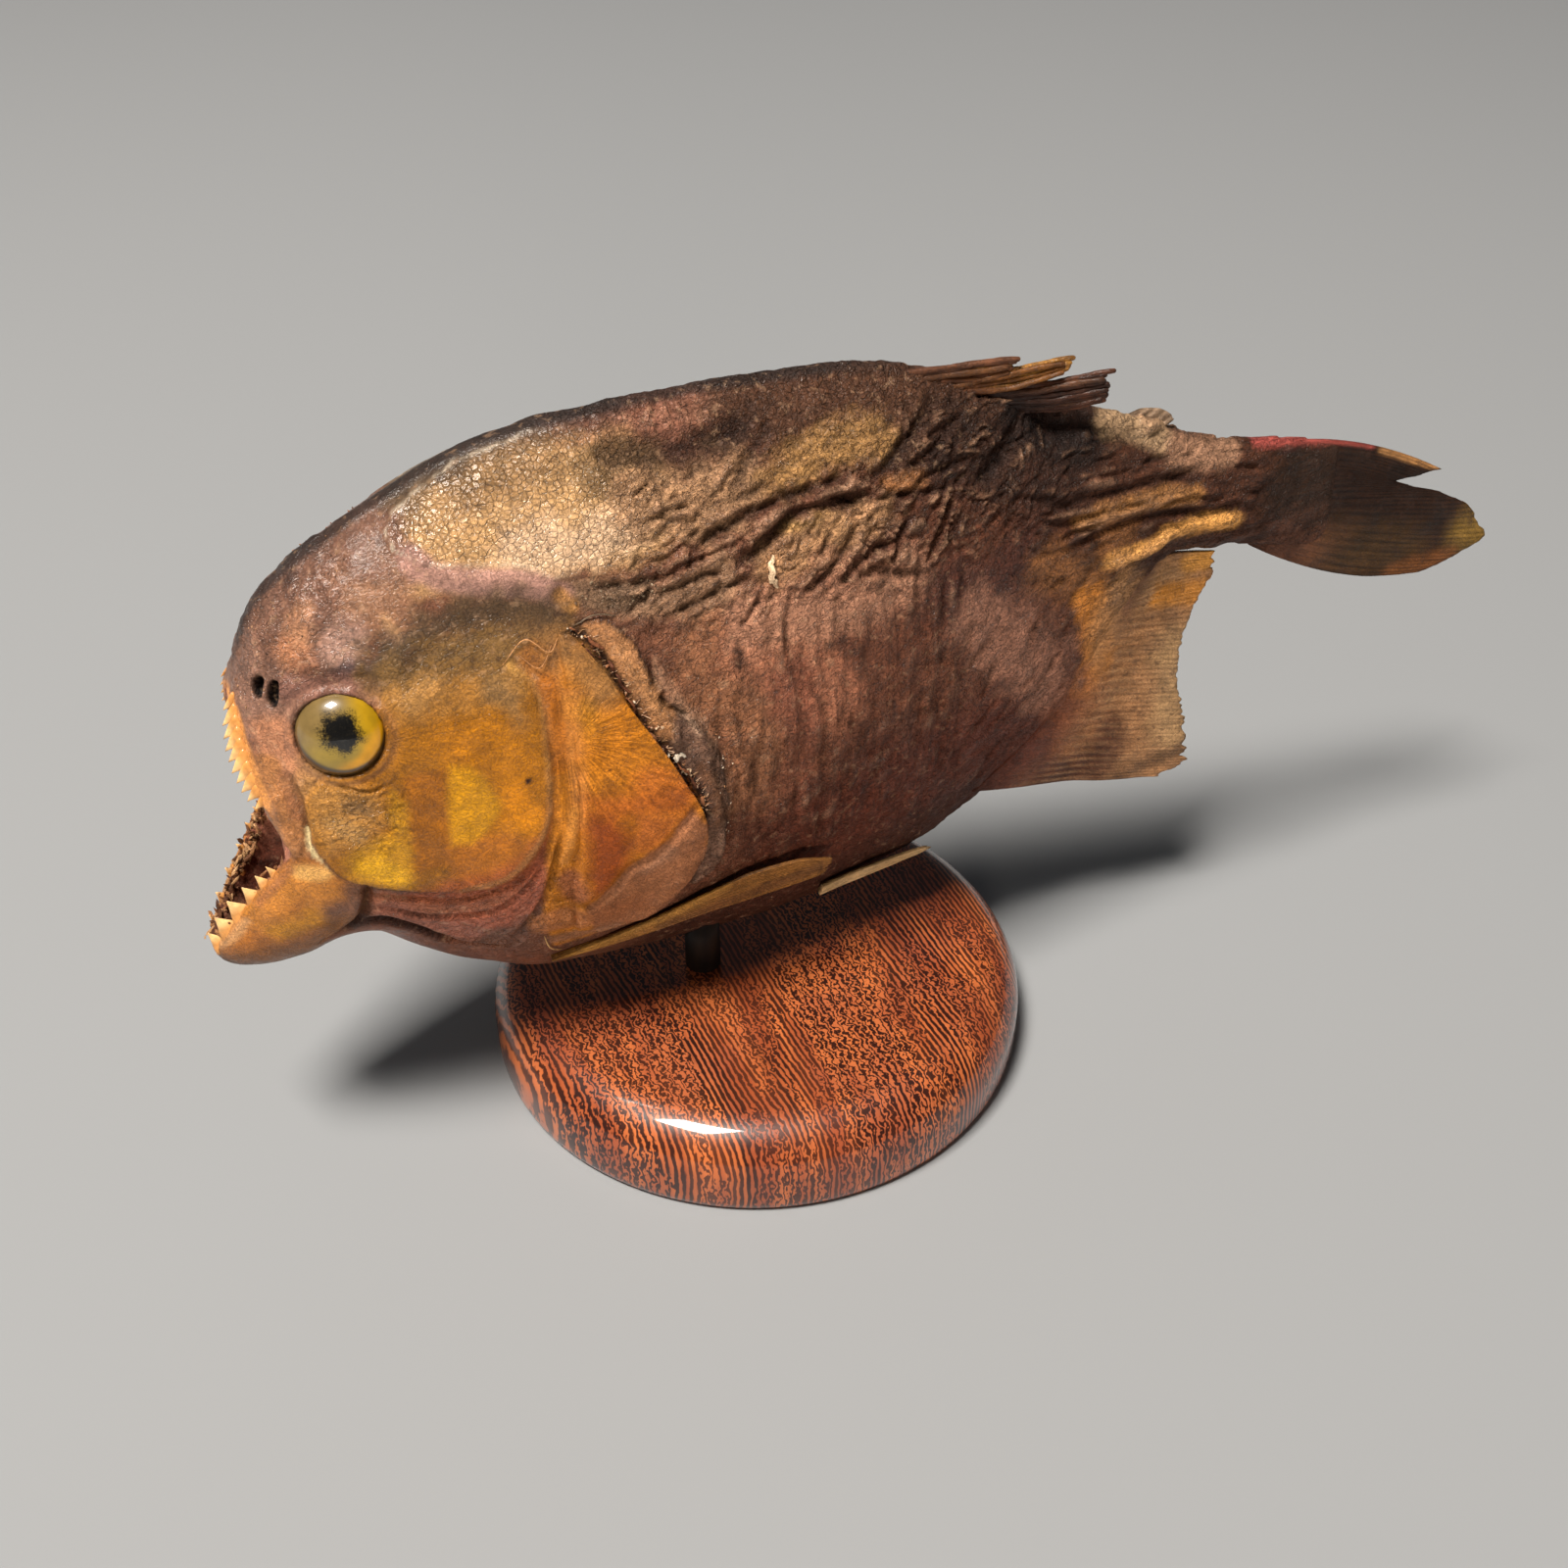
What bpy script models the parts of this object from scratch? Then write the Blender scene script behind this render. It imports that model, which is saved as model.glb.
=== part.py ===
"""A dried piranha with open jaws, mounted by a short peg on a turned wood disc.

Metres, +Z up. The origin is the centre of the disc's underside, +X runs along the fish to its tail,
and the fish's left side faces -Y. The fish is drawn in millimetres in a frame of its own, which starts
on the disc's top and leans back a little, so that x is still along the fish, y is across it and z is up it.
"""

import math
import random

import bmesh
import bpy
from mathutils import Vector

MM = 0.001
GAP = 0.3
LEFT, RIGHT = -1, 1

# Turned disc and peg
DISC_RADIUS = 38.0
DISC_HEIGHT = 12.5
DISC_SHOULDER = 7.0
DISC_FOOT_INSET = 0.8
DISC_STEPS = 56
PEG_RADIUS = 2.5
PEG_X = -8.1
PEG_DEPTH_IN_DISC = 6.0
PEG_RISE_IN_BELLY = 14.0
PEG_SIDES = 16

# The fish leans back by this angle about its own length
LEAN = math.radians(5.0)

# Body: x, back line, belly line, half width, height of the widest level
BODY = (
    (-72.5, 25.2, 23.2, 0.8, 24.2),
    (-72.0, 26.8, 21.8, 2.8, 24.2),
    (-71.0, 29.6, 20.9, 4.1, 24.6),
    (-70.0, 33.5, 20.4, 4.9, 25.0),
    (-68.0, 41.0, 19.8, 6.0, 26.6),
    (-66.0, 50.0, 19.5, 7.1, 29.0),
    (-64.4, 57.4, 19.5, 8.2, 31.5),
    (-63.3, 60.6, 19.6, 8.9, 34.0),
    (-61.4, 64.6, 19.8, 9.9, 36.5),
    (-58.0, 69.6, 20.2, 11.2, 40.0),
    (-52.0, 73.8, 18.7, 12.6, 43.0),
    (-42.0, 79.1, 12.5, 13.8, 42.0),
    (-30.0, 83.7, 7.0, 14.6, 40.0),
    (-15.0, 85.3, 5.7, 14.6, 42.0),
    (0.0, 85.7, 5.9, 13.8, 46.0),
    (15.0, 85.3, 8.6, 11.8, 51.0),
    (27.0, 82.4, 12.6, 9.4, 54.0),
    (37.0, 78.4, 18.6, 7.6, 56.0),
    (47.0, 74.8, 27.5, 5.9, 58.0),
    (56.0, 71.0, 43.0, 4.7, 59.0),
    (63.0, 67.6, 50.0, 4.0, 58.8),
    (72.0, 65.0, 49.4, 3.2, 57.2),
    (77.0, 64.2, 48.2, 2.6, 56.6),
)
BODY_X = [row[0] for row in BODY]
RING_POINTS = 36
FINE_STEP = 1.5
COARSE_STEP = 4.0
SNOUT_END = -56.0

# Side outlines of the cuts between the flesh pieces, as (x, z)
LIP = ((-63.9, 59.0), (-64.1, 54.0), (-63.8, 49.5), (-62.8, 45.0), (-61.5, 41.4), (-60.5, 39.4))
JAW_RIM = ((-73.5, 23.4), (-72.3, 24.3), (-71.2, 25.6), (-70.1, 27.3), (-68.2, 30.2),
           (-66.2, 32.9), (-64.5, 35.3), (-62.9, 37.4), (-61.0, 38.8))
JAW_HINGE_LOW = (-55.6, 14.0)
GILL_CUT_TOP = (-30.3, 92.0)
GILL_CUT_LOW = (-21.2, 0.0)
STALK_X = 62.0
TAIL_X = 76.0

# Mouth cavity: x, roof, floor, half width
MOUTH = (
    (-76.0, 57.0, 27.5, 2.4),
    (-71.2, 57.0, 26.6, 2.8),
    (-70.0, 56.5, 25.0, 3.4),
    (-68.0, 56.0, 23.8, 4.4),
    (-65.5, 55.5, 23.6, 5.6),
    (-62.0, 53.5, 24.4, 7.2),
    (-58.0, 49.5, 26.6, 6.6),
    (-54.0, 44.5, 29.4, 5.0),
    (-50.0, 39.5, 32.6, 2.4),
)
MOUTH_POINTS = 20

# Eye: a flattened glass ball whose axis follows the cheek
EYE = (-53.0, 55.5)
EYE_RADIUS = 5.0
EYE_DEPTH = 3.3
EYE_SINK = 1.1
EYE_SEGMENTS, EYE_RINGS = 20, 12
LID_RADIUS = 5.9
LID_THICK = 0.9

# Nostrils: centre in side view, half length along and up
NOSTRILS = ((-60.8, 61.4), (-59.1, 61.3))
NOSTRIL_SIZE = (0.75, 1.3)
NOSTRIL_DEPTH = 1.6

# Lobe of the upper jaw that hangs over the corner of the mouth: top, tip, radius
LOBE_TOP = (-61.7, 46.0)
LOBE_TIP = (-61.2, 41.4)
LOBE_RADIUS = 1.5

# Teeth: height on the lip or rim, then length and half breadth
UPPER_TEETH = ((57.0, 1.9, 1.0), (54.6, 2.2, 1.1), (52.1, 2.2, 1.2), (49.6, 2.2, 1.2),
               (47.2, 1.9, 1.1), (45.0, 1.5, 0.9))
LOWER_TEETH = ((26.6, 3.0, 1.4), (28.9, 3.4, 1.5), (31.2, 3.3, 1.5), (33.4, 2.9, 1.3),
               (35.4, 2.5, 1.1), (37.0, 2.0, 0.9))
TOOTH_ROOT = 1.3
WORN_SIDE_SHARE = 0.6

# Cheek plate: height, front edge, rear edge
CHEEK = ((32.4, -47.5, -41.0), (34.5, -53.5, -34.2), (37.5, -57.0, -31.0), (41.5, -58.6, -29.2),
         (46.0, -59.0, -28.9), (50.0, -57.8, -29.2), (54.0, -46.0, -30.0), (58.0, -45.0, -31.4))
CHEEK_PROUD = 0.8
CHEEK_THICK = 2.0

# Gill cover: height, front edge, rear edge
GILL_COVER = ((15.6, -31.2, -27.0), (19.2, -31.6, -20.0), (26.8, -31.0, -13.2), (33.0, -29.8, -10.9),
              (37.0, -29.0, -11.0), (41.0, -28.2, -13.0), (46.0, -27.3, -15.6), (53.0, -26.4, -18.2),
              (59.0, -26.0, -21.2), (63.2, -25.8, -24.4))
GILL_ROWS, GILL_COLUMNS = 12, 6
GILL_FRONT_THICK, GILL_REAR_THICK = 0.7, 1.3
GILL_FLARE = 0.5

# Scutes along the keel
SCUTES = 15
SCUTE_FROM, SCUTE_TO = -19.0, 24.0
SCUTE_LENGTH, SCUTE_BREADTH = 2.6, 0.8

# Fins: rays, stations along a ray, thickness of a ray at root and tip, and of the membrane
DORSAL_RAYS, ANAL_RAYS, TAIL_RAYS, PECTORAL_RAYS, PELVIC_RAYS = 9, 24, 19, 9, 5
MEMBRANE = 0.55

random.seed(7)


def clear_scene():
    for item in list(bpy.data.objects):
        bpy.data.objects.remove(item)


def new_collection(name):
    group = bpy.data.collections.new(name)
    bpy.context.scene.collection.children.link(group)
    return group


def material(name, colour, roughness):
    finish = bpy.data.materials.new(name)
    finish.use_nodes = True
    shader = finish.node_tree.nodes["Principled BSDF"]
    shader.inputs["Base Color"].default_value = (*colour, 1.0)
    shader.inputs["Roughness"].default_value = roughness
    shader.inputs["Metallic"].default_value = 0.0
    return finish


def between(a, b, share):
    return a + (b - a) * share


def ease(low, high, value):
    share = min(max((value - low) / (high - low), 0.0), 1.0)
    return share * share * (3.0 - 2.0 * share)


def even_curve(x, places, heights):
    """Height at x of a smooth curve through the points that never swings past them."""
    last = len(places) - 1
    x = min(max(x, places[0]), places[last])
    cell = next(i for i in range(last) if x <= places[i + 1])

    def slope(i):
        if i in (0, last):
            j = min(i, last - 1)
            return (heights[j + 1] - heights[j]) / (places[j + 1] - places[j])
        before, after = places[i] - places[i - 1], places[i + 1] - places[i]
        rise_in = (heights[i] - heights[i - 1]) / before
        rise_out = (heights[i + 1] - heights[i]) / after
        if rise_in * rise_out <= 0.0:
            return 0.0
        weight_in, weight_out = 2.0 * after + before, after + 2.0 * before
        return (weight_in + weight_out) / (weight_in / rise_in + weight_out / rise_out)

    width = places[cell + 1] - places[cell]
    t = (x - places[cell]) / width
    return ((2 * t ** 3 - 3 * t ** 2 + 1) * heights[cell]
            + (t ** 3 - 2 * t ** 2 + t) * width * slope(cell)
            + (3 * t ** 2 - 2 * t ** 3) * heights[cell + 1]
            + (t ** 3 - t ** 2) * width * slope(cell + 1))


def station(x):
    """Back line, belly line, half width and widest level at x."""
    return [even_curve(x, BODY_X, [row[k] for row in BODY]) for k in range(1, 5)]


def roundness(x):
    """How full the section is above and below its widest level: 2 is an ellipse, 1 a wedge."""
    back = 2.3 - 0.8 * ease(-50.0, -10.0, x) + 0.5 * ease(45.0, 70.0, x)
    keel = 2.2 - 0.95 * ease(-66.0, -20.0, x) + 0.75 * ease(40.0, 66.0, x)
    return back, keel


def half_width(x, z):
    top, low, half, widest = station(x)
    back, keel = roundness(x)
    above, below = (z - widest) / (top - widest), (widest - z) / (widest - low)
    reach, power = (above, back) if z >= widest else (below, keel)
    return half * max(1.0 - reach * reach, 0.0) ** (1.0 / power)


def skin_normal(x, z, side):
    step = 0.25
    along = (half_width(x + step, z) - half_width(x - step, z)) / (2 * step)
    up = (half_width(x, z + step) - half_width(x, z - step)) / (2 * step)
    return Vector((-along, side, -up)).normalized()


def skin_point(x, z, side, lift=0.0):
    return Vector((x, side * half_width(x, z), z)) + skin_normal(x, z, side) * lift


def belly_point(x, drop):
    """Point on the keel line, moved outward in side view by drop."""
    slope = (station(x + 0.5)[1] - station(x - 0.5)[1])
    return Vector((x, 0.0, station(x)[1])) + Vector((slope, 0.0, -1.0)).normalized() * drop


def body_ring(x):
    top, low, half, widest = station(x)
    back, keel = roundness(x)
    ring = []
    for i in range(RING_POINTS):
        turn = 2.0 * math.pi * i / RING_POINTS
        power, height = (back, top - widest) if math.cos(turn) >= 0.0 else (keel, widest - low)
        across = half * math.copysign(abs(math.sin(turn)) ** (2.0 / power), math.sin(turn))
        ring.append(Vector((x, across, widest + height * math.cos(turn))))
    return ring


def mesh_object(name, bm, group, parent=None, finish=None, smooth=None):
    """Turn a bmesh in millimetres into an object in metres."""
    bmesh.ops.recalc_face_normals(bm, faces=bm.faces)
    bmesh.ops.scale(bm, vec=(MM, MM, MM), verts=bm.verts)
    mesh = bpy.data.meshes.new(name)
    bm.to_mesh(mesh)
    bm.free()
    item = bpy.data.objects.new(name, mesh)
    item.parent = parent
    group.objects.link(item)
    if finish is not None:
        mesh.materials.append(finish)
    if smooth is not None:
        shade(item, smooth)
    return item


def shade(item, angle=40.0):
    item.data.shade_smooth()
    item.data.set_sharp_from_angle(angle=math.radians(angle))


def loft(rings):
    """Closed solid through rings of points, all with the same count."""
    bm = bmesh.new()
    loops = [[bm.verts.new(point) for point in ring] for ring in rings]
    count = len(rings[0])
    for near, far in zip(loops, loops[1:]):
        for i in range(count):
            j = (i + 1) % count
            bm.faces.new((near[i], near[j], far[j], far[i]))
    bm.faces.new(loops[0])
    bm.faces.new(loops[-1])
    bmesh.ops.triangulate(bm, faces=bm.faces)
    return bm


def sheet(rows, columns, centre, normal, half_thickness):
    """Closed sheet over a grid of shares (u, v), split into triangles alike on both faces."""
    bm = bmesh.new()
    faces = []
    for side in (-1.0, 1.0):
        grid = []
        for i in range(rows + 1):
            line = []
            for j in range(columns + 1):
                u, v = i / rows, j / columns
                offset = normal(u, v) * side * half_thickness(u, v)
                line.append(bm.verts.new(centre(u, v) + offset))
            grid.append(line)
        faces.append(grid)
    near, far = faces
    for i in range(rows):
        for j in range(columns):
            for grid in faces:
                bm.faces.new((grid[i][j], grid[i + 1][j], grid[i + 1][j + 1]))
                bm.faces.new((grid[i][j], grid[i + 1][j + 1], grid[i][j + 1]))
    rim = [(i, 0) for i in range(rows)] + [(rows, j) for j in range(columns)]
    rim += [(i, columns) for i in range(rows, 0, -1)] + [(0, j) for j in range(columns, 0, -1)]
    for (i, j), (k, m) in zip(rim, rim[1:] + rim[:1]):
        bm.faces.new((near[i][j], near[k][m], far[k][m]))
        bm.faces.new((near[i][j], far[k][m], far[i][j]))
    return bm


def prism(outline, reach=30.0):
    """Side outline pulled right through the fish."""
    bm = bmesh.new()
    face = bm.faces.new([bm.verts.new((x, -reach, z)) for x, z in outline])
    pulled = bmesh.ops.extrude_face_region(bm, geom=[face])
    moved = [item for item in pulled["geom"] if isinstance(item, bmesh.types.BMVert)]
    bmesh.ops.translate(bm, vec=(0.0, 2.0 * reach, 0.0), verts=moved)
    return bm


def apply_modifiers(item):
    bpy.context.view_layer.update()
    shown = item.evaluated_get(bpy.context.evaluated_depsgraph_get())
    mesh = bpy.data.meshes.new_from_object(shown)
    item.modifiers.clear()
    item.data = mesh


def combine(item, tools, operation, solver="EXACT"):
    """Cut or join a collection of closed meshes, then remove them."""
    group = new_collection(f"{item.name}_{operation.lower()}")
    for tool in tools:
        tool.hide_render = True
        tool.display_type = "WIRE"
        for owner in list(tool.users_collection):
            owner.objects.unlink(tool)
        group.objects.link(tool)
    boolean = item.modifiers.new(operation, "BOOLEAN")
    boolean.operand_type = "COLLECTION"
    boolean.collection = group
    boolean.operation = operation
    boolean.solver = solver
    apply_modifiers(item)
    for tool in tools:
        bpy.data.objects.remove(tool)
    bpy.data.collections.remove(group)


def keep_largest(item):
    """Keep only the closed surface with the most faces."""
    bm = bmesh.new()
    bm.from_mesh(item.data)
    left = set(bm.verts)
    islands = []
    while left:
        front = [left.pop()]
        island = list(front)
        while front:
            for edge in front.pop().link_edges:
                for vert in edge.verts:
                    if vert in left:
                        left.remove(vert)
                        front.append(vert)
                        island.append(vert)
        islands.append(island)
    islands.sort(key=len)
    loose = [vert for island in islands[:-1] for vert in island]
    bmesh.ops.delete(bm, geom=loose, context="VERTS")
    bm.to_mesh(item.data)
    bm.free()


class Workshop:
    """The collections, the leaning frame of the fish and the finishes."""

    def __init__(self):
        self.parts = new_collection("mounted_piranha")
        self.cutters = new_collection("cutters")
        self.fish = bpy.data.objects.new("fish_frame", None)
        self.fish.location = (0.0, 0.0, DISC_HEIGHT * MM)
        self.fish.rotation_euler = (-LEAN, 0.0, 0.0)
        self.parts.objects.link(self.fish)
        self.wood = material("varnished_wood", (0.19, 0.055, 0.02), 0.25)
        self.dark = material("black_peg", (0.02, 0.015, 0.012), 0.3)
        self.skin = material("dried_skin", (0.16, 0.075, 0.035), 0.55)
        self.plate = material("golden_gill_plate", (0.42, 0.15, 0.02), 0.4)
        self.jaw = material("tan_jaw", (0.45, 0.22, 0.05), 0.45)
        self.fin = material("dried_fin", (0.25, 0.11, 0.04), 0.55)
        self.glass = material("glass_eye", (0.35, 0.25, 0.02), 0.05)

    def part(self, name, bm, finish, smooth=40.0):
        return mesh_object(name, bm, self.parts, self.fish, finish, smooth)

    def tool(self, name, bm):
        return mesh_object(name, bm, self.cutters, self.fish)


def base_disc(shop):
    bm = bmesh.new()
    shoulder = DISC_RADIUS - DISC_SHOULDER
    profile = [(0.0, DISC_HEIGHT), (shoulder, DISC_HEIGHT)]
    for i in range(1, 7):
        turn = 0.5 * math.pi * i / 6
        profile.append((shoulder + DISC_SHOULDER * math.sin(turn),
                        DISC_HEIGHT - DISC_SHOULDER * (1.0 - math.cos(turn))))
    foot = DISC_RADIUS - DISC_FOOT_INSET
    profile += [(DISC_RADIUS, 3.0), (DISC_RADIUS - 0.2, 1.0), (foot, 0.0), (0.0, 0.0)]
    verts = [bm.verts.new((radius, 0.0, z)) for radius, z in profile]
    for a, b in zip(verts, verts[1:]):
        bm.edges.new((a, b))
    disc = mesh_object("base_disc", bm, shop.parts, None, shop.wood)
    screw = disc.modifiers.new("Turn", "SCREW")
    screw.steps = DISC_STEPS
    screw.render_steps = DISC_STEPS
    screw.use_merge_vertices = True
    screw.merge_threshold = 0.00001
    apply_modifiers(disc)
    bm = bmesh.new()
    hole_depth = PEG_DEPTH_IN_DISC + GAP
    bmesh.ops.create_cone(bm, cap_ends=True, segments=PEG_SIDES, radius1=PEG_RADIUS + GAP,
                          radius2=PEG_RADIUS + GAP, depth=2.0 * hole_depth)
    bmesh.ops.translate(bm, vec=(PEG_X, 0.0, DISC_HEIGHT), verts=bm.verts)
    combine(disc, [mesh_object("peg_socket", bm, shop.cutters)], "DIFFERENCE")
    shade(disc)


def base_peg(shop):
    bm = bmesh.new()
    length = PEG_DEPTH_IN_DISC + PEG_RISE_IN_BELLY
    bmesh.ops.create_cone(bm, cap_ends=True, segments=PEG_SIDES, radius1=PEG_RADIUS,
                          radius2=PEG_RADIUS, depth=length)
    middle = DISC_HEIGHT + 0.5 * (PEG_RISE_IN_BELLY - PEG_DEPTH_IN_DISC)
    bmesh.ops.translate(bm, vec=(PEG_X, 0.0, middle), verts=bm.verts)
    mesh_object("base_peg", bm, shop.parts, None, shop.dark, 40.0)


def body_solid(shop, name, finish, x_from, x_to):
    """The whole fish's skin form over a stretch, closed at both ends."""
    places = [x_from]
    while places[-1] < x_to:
        step = FINE_STEP if places[-1] < SNOUT_END else COARSE_STEP
        places.append(min(places[-1] + step, x_to))
    if x_from < -70.0:
        places = [x_from, -72.1, -71.4] + [x for x in places if x > -71.0]
    return shop.part(name, loft([body_ring(x) for x in places]), finish, None)


def mouth_hollow(shop):
    rings = []
    for x, roof, floor, half in MOUTH:
        middle, height = 0.5 * (roof + floor), 0.5 * (roof - floor)
        ring = []
        for i in range(MOUTH_POINTS):
            turn = 2.0 * math.pi * i / MOUTH_POINTS
            across = math.copysign(abs(math.sin(turn)) ** 0.75, math.sin(turn))
            upward = math.copysign(abs(math.cos(turn)) ** 0.75, math.cos(turn))
            ring.append(Vector((x, half * across, middle + height * upward)))
        rings.append(ring)
    return shop.tool("mouth_hollow", loft(rings))


def spike(shop, name, root, tip, breadth, across, depth_share=0.42):
    """Four-sided tapered point from root to tip, broad along across."""
    bm = bmesh.new()
    axis = (tip - root).normalized()
    wide = (across - axis * across.dot(axis)).normalized()
    thick = axis.cross(wide)
    corners = []
    for left, fore in ((1.0, 1.0), (-1.0, 1.0), (-1.0, -1.0), (1.0, -1.0)):
        corners.append(bm.verts.new(root + wide * breadth * left + thick * breadth * depth_share * fore))
    point = bm.verts.new(tip)
    bm.faces.new(corners)
    for a, b in zip(corners, corners[1:] + corners[:1]):
        bm.faces.new((a, b, point))
    return shop.tool(name, bm)


def rim_point(outline, z, side, inset):
    """Point of a jaw edge at height z, a little inside the skin."""
    edge = sorted(outline, key=lambda point: point[1])
    x = even_curve(z, [point[1] for point in edge], [point[0] for point in edge])
    return Vector((x, side * max(half_width(x + 0.8, z) - inset, 0.0), z))


def upper_teeth(shop):
    teeth = []
    for side in (LEFT, RIGHT):
        for n, (z, length, breadth) in enumerate(UPPER_TEETH):
            edge = rim_point(LIP[1:], z, side, 1.3)
            if n == 0:
                edge.y = side * 1.6
            lean = Vector((-1.0, side * 0.05, -0.32)).normalized()
            along = Vector((0.25, side * 0.6, -1.0)) if n else Vector((0.0, 1.0, -0.3))
            root = edge - lean * TOOTH_ROOT
            teeth.append(spike(shop, f"upper_tooth_{n}", root, edge + lean * length, breadth, along))
    return teeth


def lower_teeth(shop):
    teeth = []
    for side, share in ((LEFT, 1.0), (RIGHT, WORN_SIDE_SHARE)):
        for n, (z, length, breadth) in enumerate(LOWER_TEETH):
            edge = rim_point(JAW_RIM, z, side, 1.0)
            lean = Vector((-0.35, -side * 0.12, 1.0)).normalized()
            along = Vector((0.7, side * 0.7, 0.6)) if n < 2 else Vector((0.6, side * 0.25, 0.75))
            root = edge - lean * TOOTH_ROOT
            teeth.append(spike(shop, f"lower_tooth_{n}", root, edge + lean * length * share, breadth, along))
    return teeth


def eye_solid(side, grow):
    """Flattened ball, its short axis along the skin's normal."""
    bm = bmesh.new()
    bmesh.ops.create_uvsphere(bm, u_segments=EYE_SEGMENTS, v_segments=EYE_RINGS, radius=1.0)
    wide, deep = EYE_RADIUS + grow, EYE_DEPTH + grow
    bmesh.ops.scale(bm, vec=(wide, wide, deep), verts=bm.verts)
    turn = skin_normal(*EYE, side).to_track_quat("Z", "Y").to_matrix()
    bmesh.ops.rotate(bm, cent=(0.0, 0.0, 0.0), matrix=turn, verts=bm.verts)
    bmesh.ops.translate(bm, vec=skin_point(*EYE, side, -EYE_SINK), verts=bm.verts)
    return bm


def lid_ring(shop, side):
    """Raised rim of skin round the eye."""
    rounds, sides = 24, 6
    axis = skin_normal(*EYE, side)
    first = Vector((1.0, 0.0, 0.0))
    first = (first - axis * first.dot(axis)).normalized()
    second = axis.cross(first)
    bm = bmesh.new()
    loops = []
    for i in range(rounds):
        turn = 2.0 * math.pi * i / rounds
        ray = first * math.cos(turn) + second * math.sin(turn)
        flat = skin_point(*EYE, side) + ray * LID_RADIUS
        middle = skin_point(flat.x, flat.z, side, -0.15)
        bends = [2.0 * math.pi * k / sides for k in range(sides)]
        loops.append([bm.verts.new(middle + (ray * math.cos(bend) + axis * math.sin(bend)) * LID_THICK)
                      for bend in bends])
    for near, far in zip(loops, loops[1:] + loops[:1]):
        for k in range(sides):
            m = (k + 1) % sides
            bm.faces.new((near[k], near[m], far[m], far[k]))
    return shop.tool("lid_ring", bm)


def nostril_pit(shop, side, place):
    bm = bmesh.new()
    bmesh.ops.create_uvsphere(bm, u_segments=10, v_segments=6, radius=1.0)
    bmesh.ops.scale(bm, vec=(NOSTRIL_SIZE[0], NOSTRIL_SIZE[1], NOSTRIL_DEPTH), verts=bm.verts)
    turn = skin_normal(*place, side).to_track_quat("Z", "Y").to_matrix()
    bmesh.ops.rotate(bm, cent=(0.0, 0.0, 0.0), matrix=turn, verts=bm.verts)
    bmesh.ops.translate(bm, vec=skin_point(*place, side), verts=bm.verts)
    return shop.tool("nostril_pit", bm)


def jaw_lobe(shop, side):
    """Finger-like end of the upper jaw at the corner of the mouth."""
    bm = bmesh.new()
    bmesh.ops.create_uvsphere(bm, u_segments=10, v_segments=8, radius=LOBE_RADIUS)
    top, tip = skin_point(*LOBE_TOP, side, -0.3), skin_point(*LOBE_TIP, side, -0.2)
    run = tip - top
    bmesh.ops.scale(bm, vec=(1.0, 1.0, 1.0 + 0.5 * run.length / LOBE_RADIUS), verts=bm.verts)
    bmesh.ops.rotate(bm, cent=(0.0, 0.0, 0.0), matrix=run.to_track_quat("Z", "Y").to_matrix(), verts=bm.verts)
    bmesh.ops.translate(bm, vec=0.5 * (top + tip), verts=bm.verts)
    return shop.tool("jaw_lobe", bm)


def skin_plate(outline, side, rows, columns, inner_lift, thickness):
    """Plate that follows the flank between the front and rear edges of an outline."""
    heights = [row[0] for row in outline]

    def place(u, v):
        z = between(heights[0], heights[-1], u)
        front = even_curve(z, heights, [row[1] for row in outline])
        rear = even_curve(z, heights, [row[2] for row in outline])
        return between(front, rear, v), z

    def centre(u, v):
        return skin_point(*place(u, v), side, inner_lift(v) + 0.5 * thickness(v))

    def normal(u, v):
        return skin_normal(*place(u, v), side)

    return sheet(rows, columns, centre, normal, lambda u, v: 0.5 * thickness(v))


def gill_cover(shop, name, side):
    def lift(v):
        return GAP + GILL_FLARE * v * v

    def thickness(v):
        return between(GILL_FRONT_THICK, GILL_REAR_THICK, min(1.4 * v, 1.0)) * (0.62 if v == 1.0 else 1.0)

    bm = skin_plate(GILL_COVER, side, GILL_ROWS, GILL_COLUMNS, lift, thickness)
    shop.part(name, bm, shop.plate)


def cheek_plate(shop, side):
    bm = skin_plate(CHEEK, side, 9, 7, lambda v: CHEEK_PROUD - CHEEK_THICK, lambda v: CHEEK_THICK)
    return shop.tool("cheek_plate", bm)


def head(shop):
    item = body_solid(shop, "head", shop.skin, BODY_X[0], -18.0)
    low_x, low_z = JAW_HINGE_LOW
    outline = [(-71.0, 92.0), (-71.0, 60.0), *LIP]
    outline += [(low_x + GAP, low_z), (low_x, 0.0), GILL_CUT_LOW, GILL_CUT_TOP]
    combine(item, [shop.tool("head_outline", prism(outline))], "INTERSECT")
    combine(item, [mouth_hollow(shop)], "DIFFERENCE")
    keep_largest(item)
    added = upper_teeth(shop)
    for side in (LEFT, RIGHT):
        added += [cheek_plate(shop, side), lid_ring(shop, side), jaw_lobe(shop, side)]
    combine(item, added, "UNION")
    pits = [shop.tool("eye_socket", eye_solid(side, GAP)) for side in (LEFT, RIGHT)]
    pits += [nostril_pit(shop, side, place) for side in (LEFT, RIGHT) for place in NOSTRILS]
    combine(item, pits, "DIFFERENCE")
    keep_largest(item)
    shade(item)


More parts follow.
